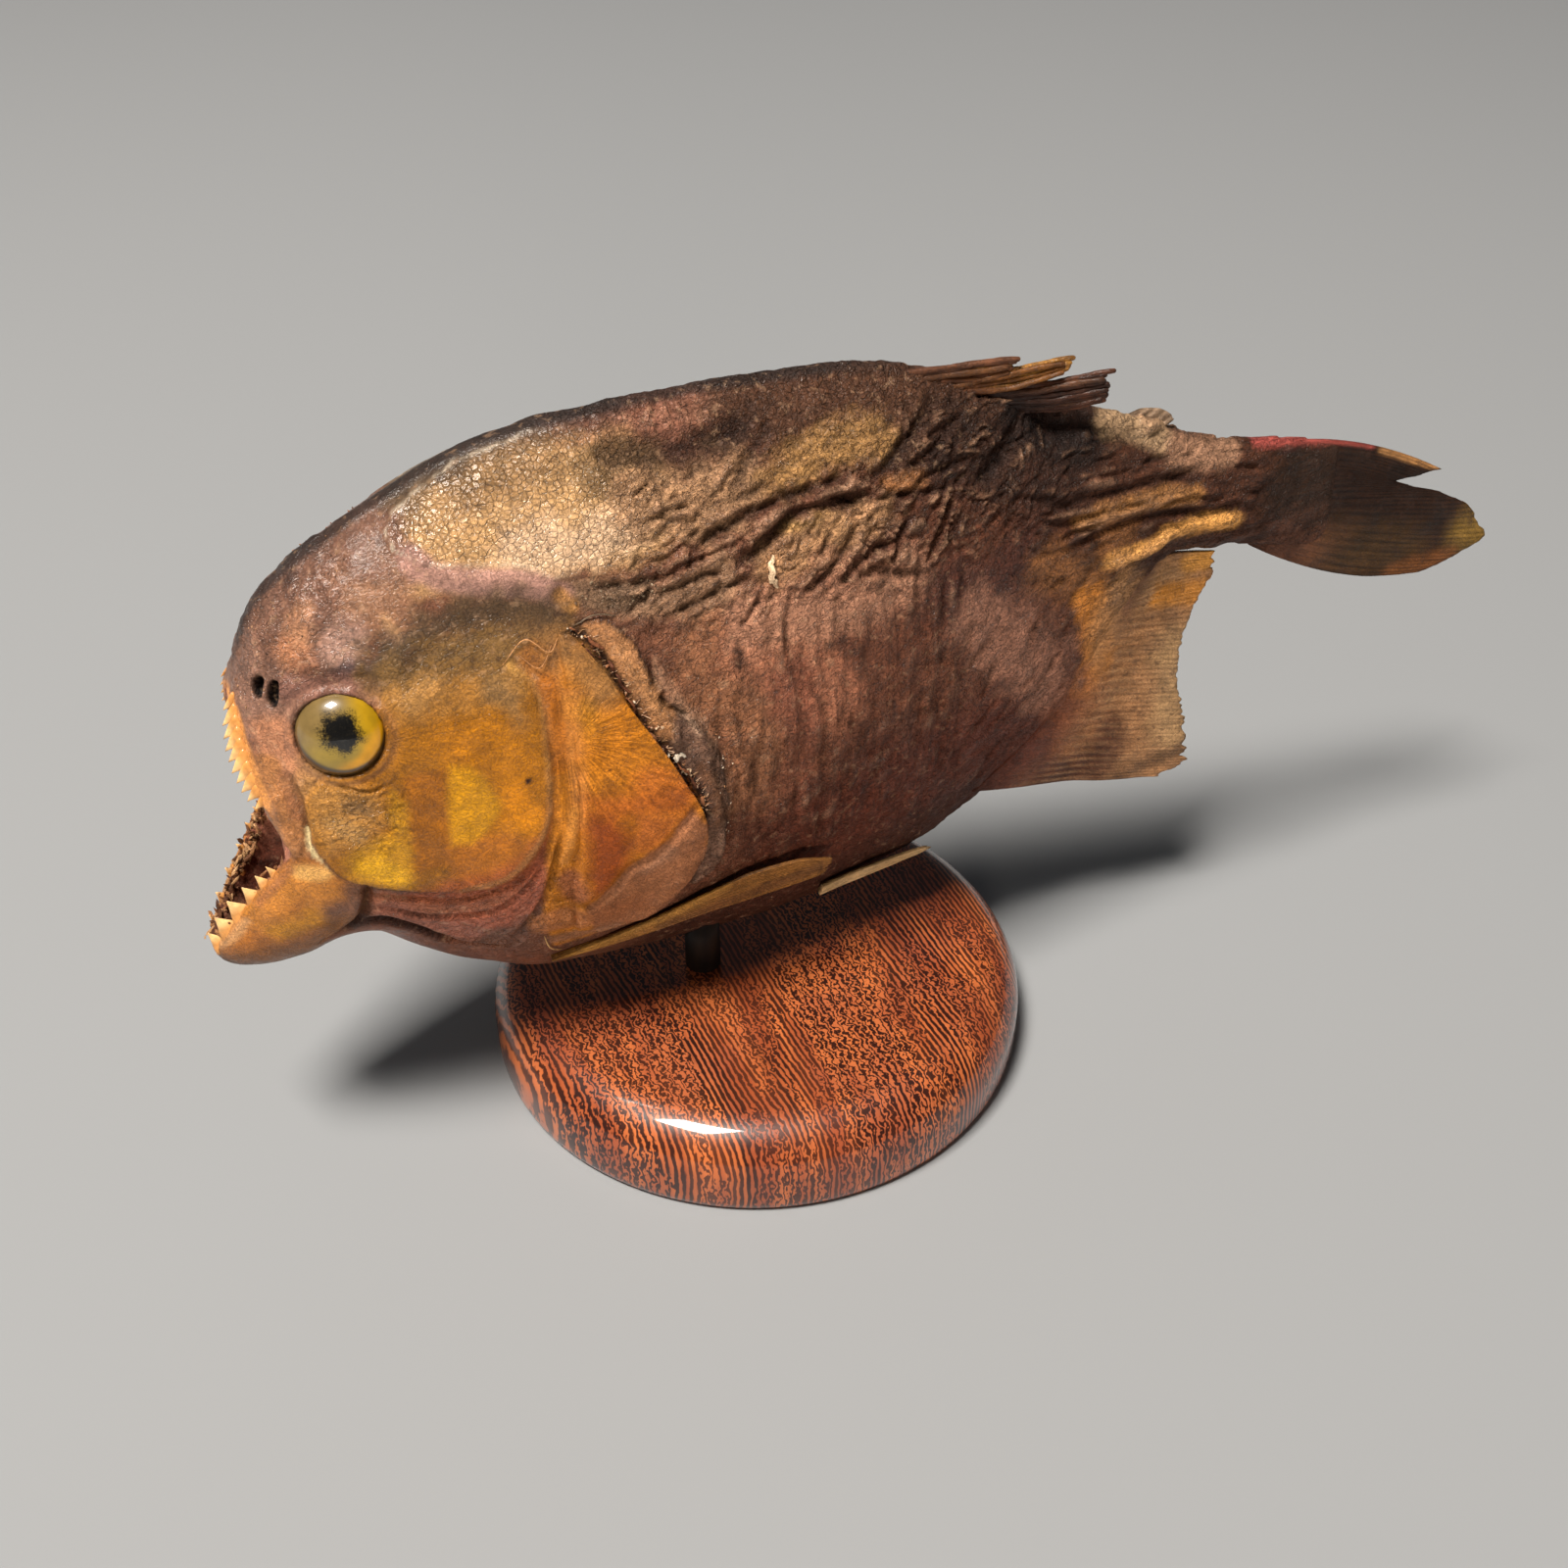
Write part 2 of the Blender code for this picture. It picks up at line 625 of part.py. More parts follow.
def lower_jaw(shop):
    item = body_solid(shop, "lower_jaw", shop.jaw, BODY_X[0], -52.0)
    low_x, low_z = JAW_HINGE_LOW
    rim_x, rim_z = JAW_RIM[-1]
    outline = [(-76.0, low_z), (-76.0, JAW_RIM[0][1]), *JAW_RIM[:-1]]
    outline += [(rim_x - GAP, rim_z - GAP), JAW_HINGE_LOW]
    combine(item, [shop.tool("jaw_outline", prism(outline))], "INTERSECT")
    combine(item, [mouth_hollow(shop)], "DIFFERENCE")
    keep_largest(item)
    combine(item, lower_teeth(shop), "UNION")
    keep_largest(item)
    shade(item)


def keel_scutes(shop):
    """Small backward points along the belly's edge, none at the peg."""
    scutes = []
    for n in range(SCUTES):
        x = between(SCUTE_FROM, SCUTE_TO, n / (SCUTES - 1))
        if abs(x - PEG_X) < PEG_RADIUS + SCUTE_LENGTH:
            continue
        root = belly_point(x, -1.4)
        tip = belly_point(x + SCUTE_LENGTH, 0.9)
        scutes.append(spike(shop, f"scute_{n}", root, tip, SCUTE_BREADTH, Vector((0.0, 1.0, 0.0)), 0.9))
    return scutes


def torso(shop):
    item = body_solid(shop, "torso", shop.skin, -34.0, 66.0)
    (top_x, top_z), (low_x, low_z) = GILL_CUT_TOP, GILL_CUT_LOW
    outline = [(top_x + GAP, top_z), (low_x + GAP, low_z), (STALK_X, low_z), (STALK_X, top_z)]
    combine(item, [shop.tool("torso_outline", prism(outline))], "INTERSECT")
    combine(item, keel_scutes(shop), "UNION")
    bm = bmesh.new()
    rise = PEG_RISE_IN_BELLY + GAP
    bmesh.ops.create_cone(bm, cap_ends=True, segments=PEG_SIDES, radius1=PEG_RADIUS + GAP,
                          radius2=PEG_RADIUS + GAP, depth=2.0 * rise)
    bmesh.ops.translate(bm, vec=(PEG_X, 0.0, DISC_HEIGHT), verts=bm.verts)
    combine(item, [mesh_object("peg_hole", bm, shop.cutters)], "DIFFERENCE")
    keep_largest(item)
    shade(item)


def tail_stalk(shop):
    body_solid(shop, "tail_stalk", shop.skin, STALK_X + GAP, TAIL_X)
    shade(shop.parts.objects["tail_stalk"])


def rayed_fin(shop, name, rays, stations, centre, normal, thick, ragged):
    """Fin whose rays are ridges in its own surface, with a ragged free edge."""
    rows = 2 * rays
    ends = [1.0 - ragged * random.random() - (0.0 if row % 2 else 0.5 * ragged) for row in range(rows + 1)]

    def end(u):
        return ends[round(u * rows)]

    def half_thickness(u, v):
        ray = between(thick[0], thick[1], v)
        return 0.5 * (ray if round(u * rows) % 2 else max(0.5 * ray, MEMBRANE))

    bm = sheet(rows, stations, lambda u, v: centre(u, v * end(u)), normal, half_thickness)
    return shop.part(name, bm, shop.fin, 25.0)


def along(points, share):
    """Point at a share of the way along a smooth line through evenly numbered points."""
    numbers = [n / (len(points) - 1) for n in range(len(points))]
    return Vector([even_curve(share, numbers, [point[k] for point in points]) for k in range(len(points[0]))])


def median_fin(shop, name, rays, stations, roots, tips, thick, ragged, bow=0.0, lean=0.0):
    """Fin in the fish's middle plane, from points (x, z) along its root and its free edge."""
    def centre(u, v):
        root, tip = along(roots, u), along(tips, u)
        x, z = root.lerp(tip, v)
        swell = bow * (2.0 * u - 1.0) * 4.0 * v * (1.0 - v)
        return Vector((x, lean * v * v, z + swell))

    return rayed_fin(shop, name, rays, stations, centre, lambda u, v: Vector((0.0, 1.0, 0.0)), thick, ragged)


def back_root(x):
    return (x, station(x)[0] + 2.0 * GAP)


def dorsal_fin(shop):
    roots = [back_root(x) for x in (21.0, 26.0, 31.0, 36.0, 41.0, 46.0)]
    tips = [(44.0, 82.4), (47.0, 81.6), (51.0, 79.8), (48.0, 78.6), (52.5, 78.0), (52.0, 76.0)]
    median_fin(shop, "dorsal_fin", DORSAL_RAYS, 5, roots, tips, (1.5, 0.7), 0.16, lean=-3.6)


def adipose_fin(shop):
    roots = [back_root(x) for x in (55.4, 57.6, 59.8)]
    tips = [(58.6, 71.8), (60.8, 71.0), (61.9, 69.6)]
    median_fin(shop, "adipose_fin", 3, 3, roots, tips, (1.2, 0.7), 0.08)


def anal_fin(shop):
    roots = [tuple(belly_point(x, GAP).xz) for x in (35.0, 40.0, 45.0, 49.0, 52.0, 54.5, 57.0, 60.5)]
    tips = [(66.4, 11.7), (70.2, 15.4), (68.8, 21.6), (67.8, 28.0), (68.6, 33.0), (70.2, 37.4), (71.4, 40.6),
            (71.9, 43.6)]
    median_fin(shop, "anal_fin", ANAL_RAYS, 6, roots, tips, (1.5, 0.75), 0.07)


def caudal_fin(shop):
    top, low = station(TAIL_X)[0], station(TAIL_X)[1]
    root_x = TAIL_X + GAP
    roots = [(root_x, between(low, top, n / 8)) for n in range(9)]
    tips = [(107.4, 37.5), (113.5, 38.9), (118.1, 41.3), (114.8, 46.0), (109.0, 49.6), (103.5, 51.9),
            (100.4, 53.3), (104.5, 53.2), (107.9, 53.7)]
    median_fin(shop, "caudal_fin", TAIL_RAYS, 7, roots, tips, (1.8, 0.7), 0.05, bow=2.4)


def pectoral_fin(shop, name, side):
    upper = [(-21.0, 18.6), (-14.0, 21.0), (-7.0, 23.1), (0.0, 24.8), (7.6, 26.0)]
    lower = [(-21.0, 14.4), (-14.0, 15.6), (-7.2, 18.2), (0.2, 21.8), (7.4, 25.2)]

    def place(u, v):
        return along(lower, v).lerp(along(upper, v), u)

    def centre(u, v):
        return skin_point(*place(u, v), side, GAP + 0.7 + 1.9 * v * v)

    def normal(u, v):
        return skin_normal(*place(u, v), side)

    rayed_fin(shop, name, PECTORAL_RAYS, 7, centre, normal, (1.3, 0.7), 0.05)


def pelvic_fin(shop, name, side):
    def centre(u, v):
        x = between(8.6, 26.0, v)
        z = between(between(10.0, 12.6, u), between(12.0, 13.8, u), v)
        return Vector((x, side * between(half_width(x, z) + 2.5 * GAP, 4.6, ease(0.0, 0.7, v)), z))

    across = Vector((0.0, 1.0, -0.3 * side)).normalized()
    rayed_fin(shop, name, PELVIC_RAYS, 5, centre, lambda u, v: across, (1.1, 0.65), 0.08)


def eye(shop, name, side):
    shop.part(name, eye_solid(side, 0.0), shop.glass, 60.0)


def main():
    clear_scene()
    shop = Workshop()
    base_disc(shop)
    base_peg(shop)
    head(shop)
    lower_jaw(shop)
    torso(shop)
    tail_stalk(shop)
    for word, side in (("left", LEFT), ("right", RIGHT)):
        gill_cover(shop, f"gill_cover_{word}", side)
        eye(shop, f"eye_{word}", side)
        pectoral_fin(shop, f"pectoral_fin_{word}", side)
        pelvic_fin(shop, f"pelvic_fin_{word}", side)
    dorsal_fin(shop)
    adipose_fin(shop)
    anal_fin(shop)
    caudal_fin(shop)


main()
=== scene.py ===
"""Dress the mounted dried piranha: skin, bone plates, glass eyes, teeth, fins, turned disc, camera and light.

The fish is drawn in millimetres in a frame of its own, which starts on the disc's top and leans back a
little: x runs along the fish to its tail, y across it (its left side faces -y) and z up it.
"""

from __future__ import annotations

import logging
import math
import random
from dataclasses import dataclass, field
from enum import Enum
from typing import Callable

import bmesh
import bpy
import numpy as np
from mathutils import Euler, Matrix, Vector, noise
from mathutils.bvhtree import BVHTree


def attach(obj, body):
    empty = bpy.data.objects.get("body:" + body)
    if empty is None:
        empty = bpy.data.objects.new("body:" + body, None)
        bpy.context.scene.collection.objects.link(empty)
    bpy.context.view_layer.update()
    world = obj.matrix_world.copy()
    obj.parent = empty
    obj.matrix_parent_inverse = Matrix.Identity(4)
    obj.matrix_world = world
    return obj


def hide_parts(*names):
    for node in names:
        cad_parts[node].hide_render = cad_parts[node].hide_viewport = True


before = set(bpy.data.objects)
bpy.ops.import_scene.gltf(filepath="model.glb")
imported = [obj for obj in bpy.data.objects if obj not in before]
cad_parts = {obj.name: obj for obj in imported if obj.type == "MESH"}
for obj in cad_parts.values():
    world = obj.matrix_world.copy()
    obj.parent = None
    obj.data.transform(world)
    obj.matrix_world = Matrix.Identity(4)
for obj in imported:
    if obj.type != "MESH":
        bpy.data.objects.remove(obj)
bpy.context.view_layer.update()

LOG = logging.getLogger("mounted_piranha")
MM = 0.001
LEAN = math.radians(5)
DISC_HEIGHT = 12.5
Line = tuple[tuple[float, float], ...]
Field = np.ndarray
Form = Callable[[Field, Field], Field]
BMesh, Mesh, Socket = bmesh.types.BMesh, bpy.types.Mesh, bpy.types.NodeSocket


class Side(Enum):
    """The fish's two sides, as the sign of y."""

    LEFT = -1
    RIGHT = 1


def linear(code: str) -> tuple[float, float, float]:
    """Turn an sRGB hex value into linear colour.

    Args:
        code: six hex digits with a leading hash.

    Returns:
        Red, green and blue, linear.
    """
    parts = [int(code[i:i + 2], 16) / 255 for i in (1, 3, 5)]
    red, green, blue = [p / 12.92 if p <= 0.04045 else ((p + 0.055) / 1.055) ** 2.4 for p in parts]
    return red, green, blue


def ease(low: float, high: float, value: Field) -> Field:
    """Rise smoothly from 0 where value is low to 1 where it is high, or fall where high lies below low."""
    share = np.clip((value - low) / (high - low), 0, 1)
    return share * share * (3 - 2 * share)


def bell(value: Field, width: float) -> Field:
    """Return a soft hump: 1 where value is 0, and almost 0 past twice the width."""
    return np.exp(-(value / width) ** 2)


def flat(x: Field, z: Field) -> Field:
    """Return the places (x, z, 0), one row each."""
    return np.column_stack((x, z, np.zeros(len(x))))


def coat(code: str, count: int) -> Field:
    """Return one hex colour for each of count vertices, linear."""
    return np.tile(linear(code), (count, 1))


def lay(paint: Field, code: str, cover: Field) -> None:
    """Lay a hex colour over paint, as thick as cover says at each vertex."""
    paint += (np.array(linear(code)) - paint) * cover[:, None]


def cloud(points: Field, size: float, octaves: int = 3, seed: int = 0) -> Field:
    """Return fractal noise at points, about -1 to 1, in lumps up to size mm wide; seed picks another."""
    places = (points / size + 17.3 * (seed + 1)).tolist()
    return np.fromiter((noise.fractal(p, 0.8, 2, octaves) for p in places), float, len(places))


class EvenCurve:
    """Smooth curve through points that never swings past them."""

    def __init__(self, places: list[float], heights: list[float]) -> None:
        """Work out a slope at each point.

        Args:
            places: rising positions.
            heights: value at each position.
        """
        self.x, self.y = np.array(places, float), np.array(heights, float)
        width = np.diff(self.x)
        rise = np.diff(self.y) / width
        slope = np.zeros(len(self.x))
        slope[0], slope[-1] = rise[0], rise[-1]
        for i in range(1, len(rise)):
            if rise[i - 1] * rise[i] > 0:
                before, after = 2 * width[i] + width[i - 1], width[i] + 2 * width[i - 1]
                slope[i] = (before + after) / (before / rise[i - 1] + after / rise[i])
        self.width, self.slope = width, slope

    def __call__(self, x: Field) -> Field:
        """Return the curve's height at each x.

        Args:
            x: places on the curve's axis.

        Returns:
            One height for each place.
        """
        x = np.clip(x, self.x[0], self.x[-1])
        cell = np.clip(np.searchsorted(self.x, x, side="right") - 1, 0, len(self.width) - 1)
        w = self.width[cell]
        t = (x - self.x[cell]) / w
        leaving = (2 * t ** 3 - 3 * t ** 2 + 1) * self.y[cell]
        leaving = leaving + (t ** 3 - 2 * t ** 2 + t) * w * self.slope[cell]
        arriving = (3 * t ** 2 - 2 * t ** 3) * self.y[cell + 1]
        return leaving + arriving + (t ** 3 - t ** 2) * w * self.slope[cell + 1]


@dataclass(frozen=True)
class BodyForm:
    """The fish's skin form: x, back line, belly line, half width and widest level at each station."""

    stations: tuple[tuple[float, ...], ...] = (
        (-72.5, 25.2, 23.2, 0.8, 24.2), (-72, 26.8, 21.8, 2.8, 24.2), (-71, 29.6, 20.9, 4.1, 24.6),
        (-70, 33.5, 20.4, 4.9, 25), (-68, 41, 19.8, 6, 26.6), (-66, 50, 19.5, 7.1, 29),
        (-64.4, 57.4, 19.5, 8.2, 31.5), (-63.3, 60.6, 19.6, 8.9, 34), (-61.4, 64.6, 19.8, 9.9, 36.5),
        (-58, 69.6, 20.2, 11.2, 40), (-52, 73.8, 18.7, 12.6, 43), (-42, 79.1, 12.5, 13.8, 42),
        (-30, 83.7, 7, 14.6, 40), (-15, 85.3, 5.7, 14.6, 42), (0, 85.7, 5.9, 13.8, 46),
        (15, 85.3, 8.6, 11.8, 51), (27, 82.4, 12.6, 9.4, 54), (37, 78.4, 18.6, 7.6, 56),
        (47, 74.8, 27.5, 5.9, 58), (56, 71, 43, 4.7, 59), (63, 67.6, 50, 4, 58.8),
        (72, 65, 49.4, 3.2, 57.2), (77, 64.2, 48.2, 2.6, 56.6), (80, 63.9, 47.4, 2, 56),
        (84, 63.1, 46.2, 1.3, 55.3), (90, 61.8, 44.6, 0.35, 54.2))

    def curves(self) -> list[EvenCurve]:
        """Return the four lines that run along the fish."""
        places = [row[0] for row in self.stations]
        return [EvenCurve(places, [row[k] for row in self.stations]) for k in range(1, 5)]

    def station(self, x: Field) -> list[Field]:
        """Return the back line, belly line, half width and widest level at each x."""
        return [curve(x) for curve in self.curves()]

    def roundness(self, x: Field) -> tuple[Field, Field]:
        """Return how full the section is above and below its widest level: 2 is an ellipse, 1 a wedge.

        Args:
            x: places along the fish.

        Returns:
            The fullness above and below.
        """
        back = 2.3 - 0.8 * ease(-50, -10, x) + 0.5 * ease(45, 70, x)
        keel = 2.2 - 0.95 * ease(-66, -20, x) + 0.75 * ease(40, 66, x)
        return back, keel

    def half_width(self, x: Field, z: Field) -> Field:
        """Return how far the skin stands from the middle plane at each x and z.

        Args:
            x: places along the fish.
            z: their heights.

        Returns:
            One half width for each place.
        """
        top, low, half, widest = self.station(x)
        back, keel = self.roundness(x)
        above = z >= widest
        reach = np.where(above, (z - widest) / (top - widest), (widest - z) / (widest - low))
        power = np.where(above, back, keel)
        return half * np.maximum(1 - reach * reach, 0) ** (1 / power)

    def normal(self, x: Field, z: Field, side: float) -> Field:
        """Return the way the flank faces at each x and z.

        Args:
            x: places along the fish.
            z: their heights.
            side: the side of the fish, as the sign of y.

        Returns:
            One unit vector in each row.
        """
        step = 0.25
        along = (self.half_width(x + step, z) - self.half_width(x - step, z)) / (2 * step)
        up = (self.half_width(x, z + step) - self.half_width(x, z - step)) / (2 * step)
        facing = np.column_stack((-along, np.full(len(x), side), -up))
        return facing / np.linalg.norm(facing, axis=1)[:, None]

    def point(self, x: Field, z: Field, side: float, lift: Field | float = 0) -> Field:
        """Return points on the flank, moved out along its normal by lift."""
        foot = np.column_stack((x, side * self.half_width(x, z), z))
        return foot + self.normal(x, z, side) * np.reshape(lift, (-1, 1))

    def one_width(self, x: float, z: float) -> float:
        """Return the half width at one place."""
        return float(self.half_width(np.array([x]), np.array([z]))[0])

    def one_point(self, place: tuple[float, float], side: float, lift: float = 0) -> Vector:
        """Return one point on the flank."""
        x, z = np.array([place[0]], float), np.array([place[1]], float)
        return Vector(self.point(x, z, side, lift)[0])

    def one_normal(self, place: tuple[float, float], side: float) -> Vector:
        """Return the flank's normal at one place."""
        return Vector(self.normal(np.array([place[0]], float), np.array([place[1]], float), side)[0])


BODY = BodyForm()


def smooth_line(line: Line, steps: int = 5) -> Field:
    """Round off a line's corners with a curve through all its points.

    Args:
        line: points (x, z) in mm.
        steps: pieces drawn between two points.

    Returns:
        The points of the curve, one row each.
    """
    points = np.array(line, float)
    if len(points) < 3:
        return points
    padded = np.vstack((2 * points[0] - points[1], points, 2 * points[-1] - points[-2]))
    curve = []
    for a, b, c, d in zip(padded, padded[1:], padded[2:], padded[3:]):
        for t in np.arange(steps) / steps:
            curve.append(0.5 * (2 * b + (c - a) * t + (2 * a - 5 * b + 4 * c - d) * t ** 2
                                + (3 * b - a - 3 * c + d) * t ** 3))
    curve.append(points[-1])
    return np.array(curve)


def line_reach(x: Field, z: Field, line: Line) -> tuple[Field, Field, Field]:
    """Measure how points lie beside a line in side view.

    Args:
        x: places along the fish.
        z: heights.
        line: the line's points; one point makes a spot.

    Returns:
        Distance to the line, share along it, and distance with a sign, above 0 to the left of its run.
    """
    points = smooth_line(line)
    if len(points) == 1:
        away = np.hypot(x - points[0][0], z - points[0][1])
        return away, np.full(len(x), 0.5), away
    lengths = np.hypot(*np.diff(points, axis=0).T)
    total = lengths.sum()
    best = np.full(len(x), 1e9)
    share, sign = np.zeros(len(x)), np.ones(len(x))
    gone = 0
    for (ax, az), (bx, bz), length in zip(points, points[1:], lengths):
        dx, dz = (bx - ax) / length, (bz - az) / length
        along = np.clip((x - ax) * dx + (z - az) * dz, 0, length)
        away = np.hypot(x - ax - dx * along, z - az - dz * along)
        nearer = away < best
        best = np.where(nearer, away, best)
        share = np.where(nearer, (gone + along) / total, share)
        sign = np.where(nearer, np.sign(dx * (z - az) - dz * (x - ax)), sign)
        gone += length
    return best, share, best * sign


def inside_depth(x: Field, z: Field, outline: Line) -> Field:
    """Return how deep points lie inside a closed outline, below 0 outside it.

    Args:
        x: places along the fish.
        z: their heights.
        outline: the closed line.

    Returns:
        One depth for each place.
    """
    points = np.array(outline, float)
    within = np.zeros(len(x), bool)
    away = np.full(len(x), 1e9)
    for (ax, az), (bx, bz) in zip(points, np.roll(points, -1, axis=0)):
        dx, dz = bx - ax, bz - az
        share = np.clip(((x - ax) * dx + (z - az) * dz) / (dx * dx + dz * dz), 0, 1)
        away = np.minimum(away, np.hypot(x - ax - dx * share, z - az - dz * share))
        crosses = (az > z) != (bz > z)
        rise = dz if dz else 1e-9
        within ^= crosses & (x < ax + dx * (z - az) / rise)
    return np.where(within, away, -away)


@dataclass(frozen=True)
class Crease:
    """A fold line on the flank: depth and width of its valley, and the roll of skin on each side of it."""

    line: Line
    depth: float
    width: float
    roll: float = 0
    other_roll: float = 0

    def lift(self, x: Field, z: Field) -> tuple[Field, Field, Field]:
        """Return which places the fold reaches, how far it moves them and how much painted shade its valley
        gets there.

        Args:
            x: places along the fish.
            z: their heights.

        Returns:
            The numbers of the places it reaches, their lift in mm, and the painted shade of the valley from 0
            to 1.
        """
        points = np.array(self.line)
        pad = 4 * self.width
        near = (x > points[:, 0].min() - pad) & (x < points[:, 0].max() + pad)
        near &= (z > points[:, 1].min() - pad) & (z < points[:, 1].max() + pad)
        near = np.nonzero(near)[0]
        away, share, beside = line_reach(x[near], z[near], self.line)
        fade = ease(0, 0.2, share) * ease(1, 0.8, share)
        valley = bell(away, self.width) * fade
        upper, lower = (bell(beside - way * 1.7 * self.width, 1.1 * self.width) * fade for way in (1, -1))
        return near, self.roll * upper + self.other_roll * lower - self.depth * valley, valley


@dataclass(frozen=True)
class Strokes:
    """Many short creases, scattered by a seeded random over a zone of the flank."""

    seed: int
    count: int
    zone: tuple[float, float, float, float]
    turn: tuple[float, float]
    length: tuple[float, float]
    depth: tuple[float, float]
    width: tuple[float, float]
    roll: float = 0.4

    def creases(self) -> list[Crease]:
        """Return the creases; turn is counted in degrees from the fish's length.

        Returns:
            One crease for each stroke.
        """
        maker = random.Random(self.seed)
        made = []
        for _ in range(self.count):
            x, z = maker.uniform(*self.zone[:2]), maker.uniform(*self.zone[2:])
            turn = math.radians(maker.uniform(*self.turn))
            half, bend = 0.5 * maker.uniform(*self.length), maker.uniform(-0.7, 0.7)
            run, rise = math.cos(turn), math.sin(turn)
            line = ((x - run * half, z - rise * half), (x - rise * bend, z + run * bend),
                    (x + run * half, z + rise * half))
            depth = maker.uniform(*self.depth)
            made.append(Crease(line, depth, maker.uniform(*self.width), self.roll * depth,
                               self.roll * depth * maker.random()))
        return made


@dataclass(frozen=True)
class Ridge:
    """A raised line with a rounded top."""

    line: Line
    height: float
    width: float

    def lift(self, x: Field, z: Field) -> Field:
        """Return how far the ridge lifts the skin."""
        away, share, _ = line_reach(x, z, self.line)
        return self.height * bell(away, self.width) * ease(0, 0.1, share) * ease(1, 0.9, share)


@dataclass(frozen=True)
class Wash:
    """A stroke of colour along a line on the flank, full to its reach and then fading over its soft edge."""

    colour: str
    line: Line
    reach: float
    soft: float
    strength: float = 1
    patchy: float = 0.4

    def cover(self, x: Field, z: Field, breakup: Field) -> Field:
        """Return how much of the stroke lies at each place, from 0 to 1.

        Args:
            x: places along the fish.
            z: their heights.
            breakup: noise that frays the stroke.

        Returns:
            One share for each place.
        """
        away, _, _ = line_reach(x, z, self.line)
        away = away + breakup * self.patchy * (self.reach + self.soft) * 0.6
        return ease(self.reach + self.soft, max(self.reach - 0.3 * self.soft, 0), away) * self.strength


@dataclass(frozen=True)
class Patch:
    """A field of colour inside an outline, with a soft edge."""

    colour: str
    line: Line
    soft: float = 0.5
    strength: float = 1
    patchy: float = 0.3

    def cover(self, x: Field, z: Field, breakup: Field) -> Field:
        """Return how much of the patch lies at each place, from 0 to 1."""
        depth = inside_depth(x, z, self.line) + breakup * self.patchy
        return ease(-self.soft, self.soft, depth) * self.strength


EYE = (-53, 55.6)
EYE_RADIUS, EYE_DEPTH, EYE_SINK = 5.25, 3.3, 1.1
EYE_OPENING = 4.95
NOSTRILS = ((-60.7, 61.1, 1.15), (-59.2, 60.7, 1.6))
NOSTRIL_WIDTH = 0.62
LIP: Line = ((-63.9, 59), (-64.1, 54), (-63.8, 49.5), (-62.8, 45), (-61.5, 41.4), (-60.5, 39.4))
JAW_RIM: Line = ((-73.5, 23.4), (-72.3, 24.3), (-71.2, 25.6), (-70.1, 27.3), (-68.2, 30.2), (-66.2, 32.9),
                 (-64.5, 35.3), (-62.9, 37.4), (-61, 38.8))
UPPER_TEETH = tuple((58.6 - 1.3 * n, length, breadth) for n, (length, breadth) in enumerate((
    (1.3, 0.9), (1.8, 1.15), (2, 1.3), (2.1, 1.35), (2, 1.35), (2, 1.35), (1.8, 1.3), (1.6, 1.2), (1.3, 1),
    (0.9, 0.8))))
LOWER_TEETH = ((25.3, 1.7, 1.6), (27.7, 2.1, 2.2), (30.4, 2, 2.1), (32.9, 1.7, 1.8), (35.1, 1.4, 1.4),
               (36.8, 1.1, 1))
GILL_CRACK: Line = ((-24.9, 63.4), (-23.1, 61.7), (-21.2, 58.3), (-19.3, 54.1), (-17.4, 49.4), (-15.2, 45.4),
                    (-12.9, 41.9), (-11.4, 39), (-10.8, 35.5))

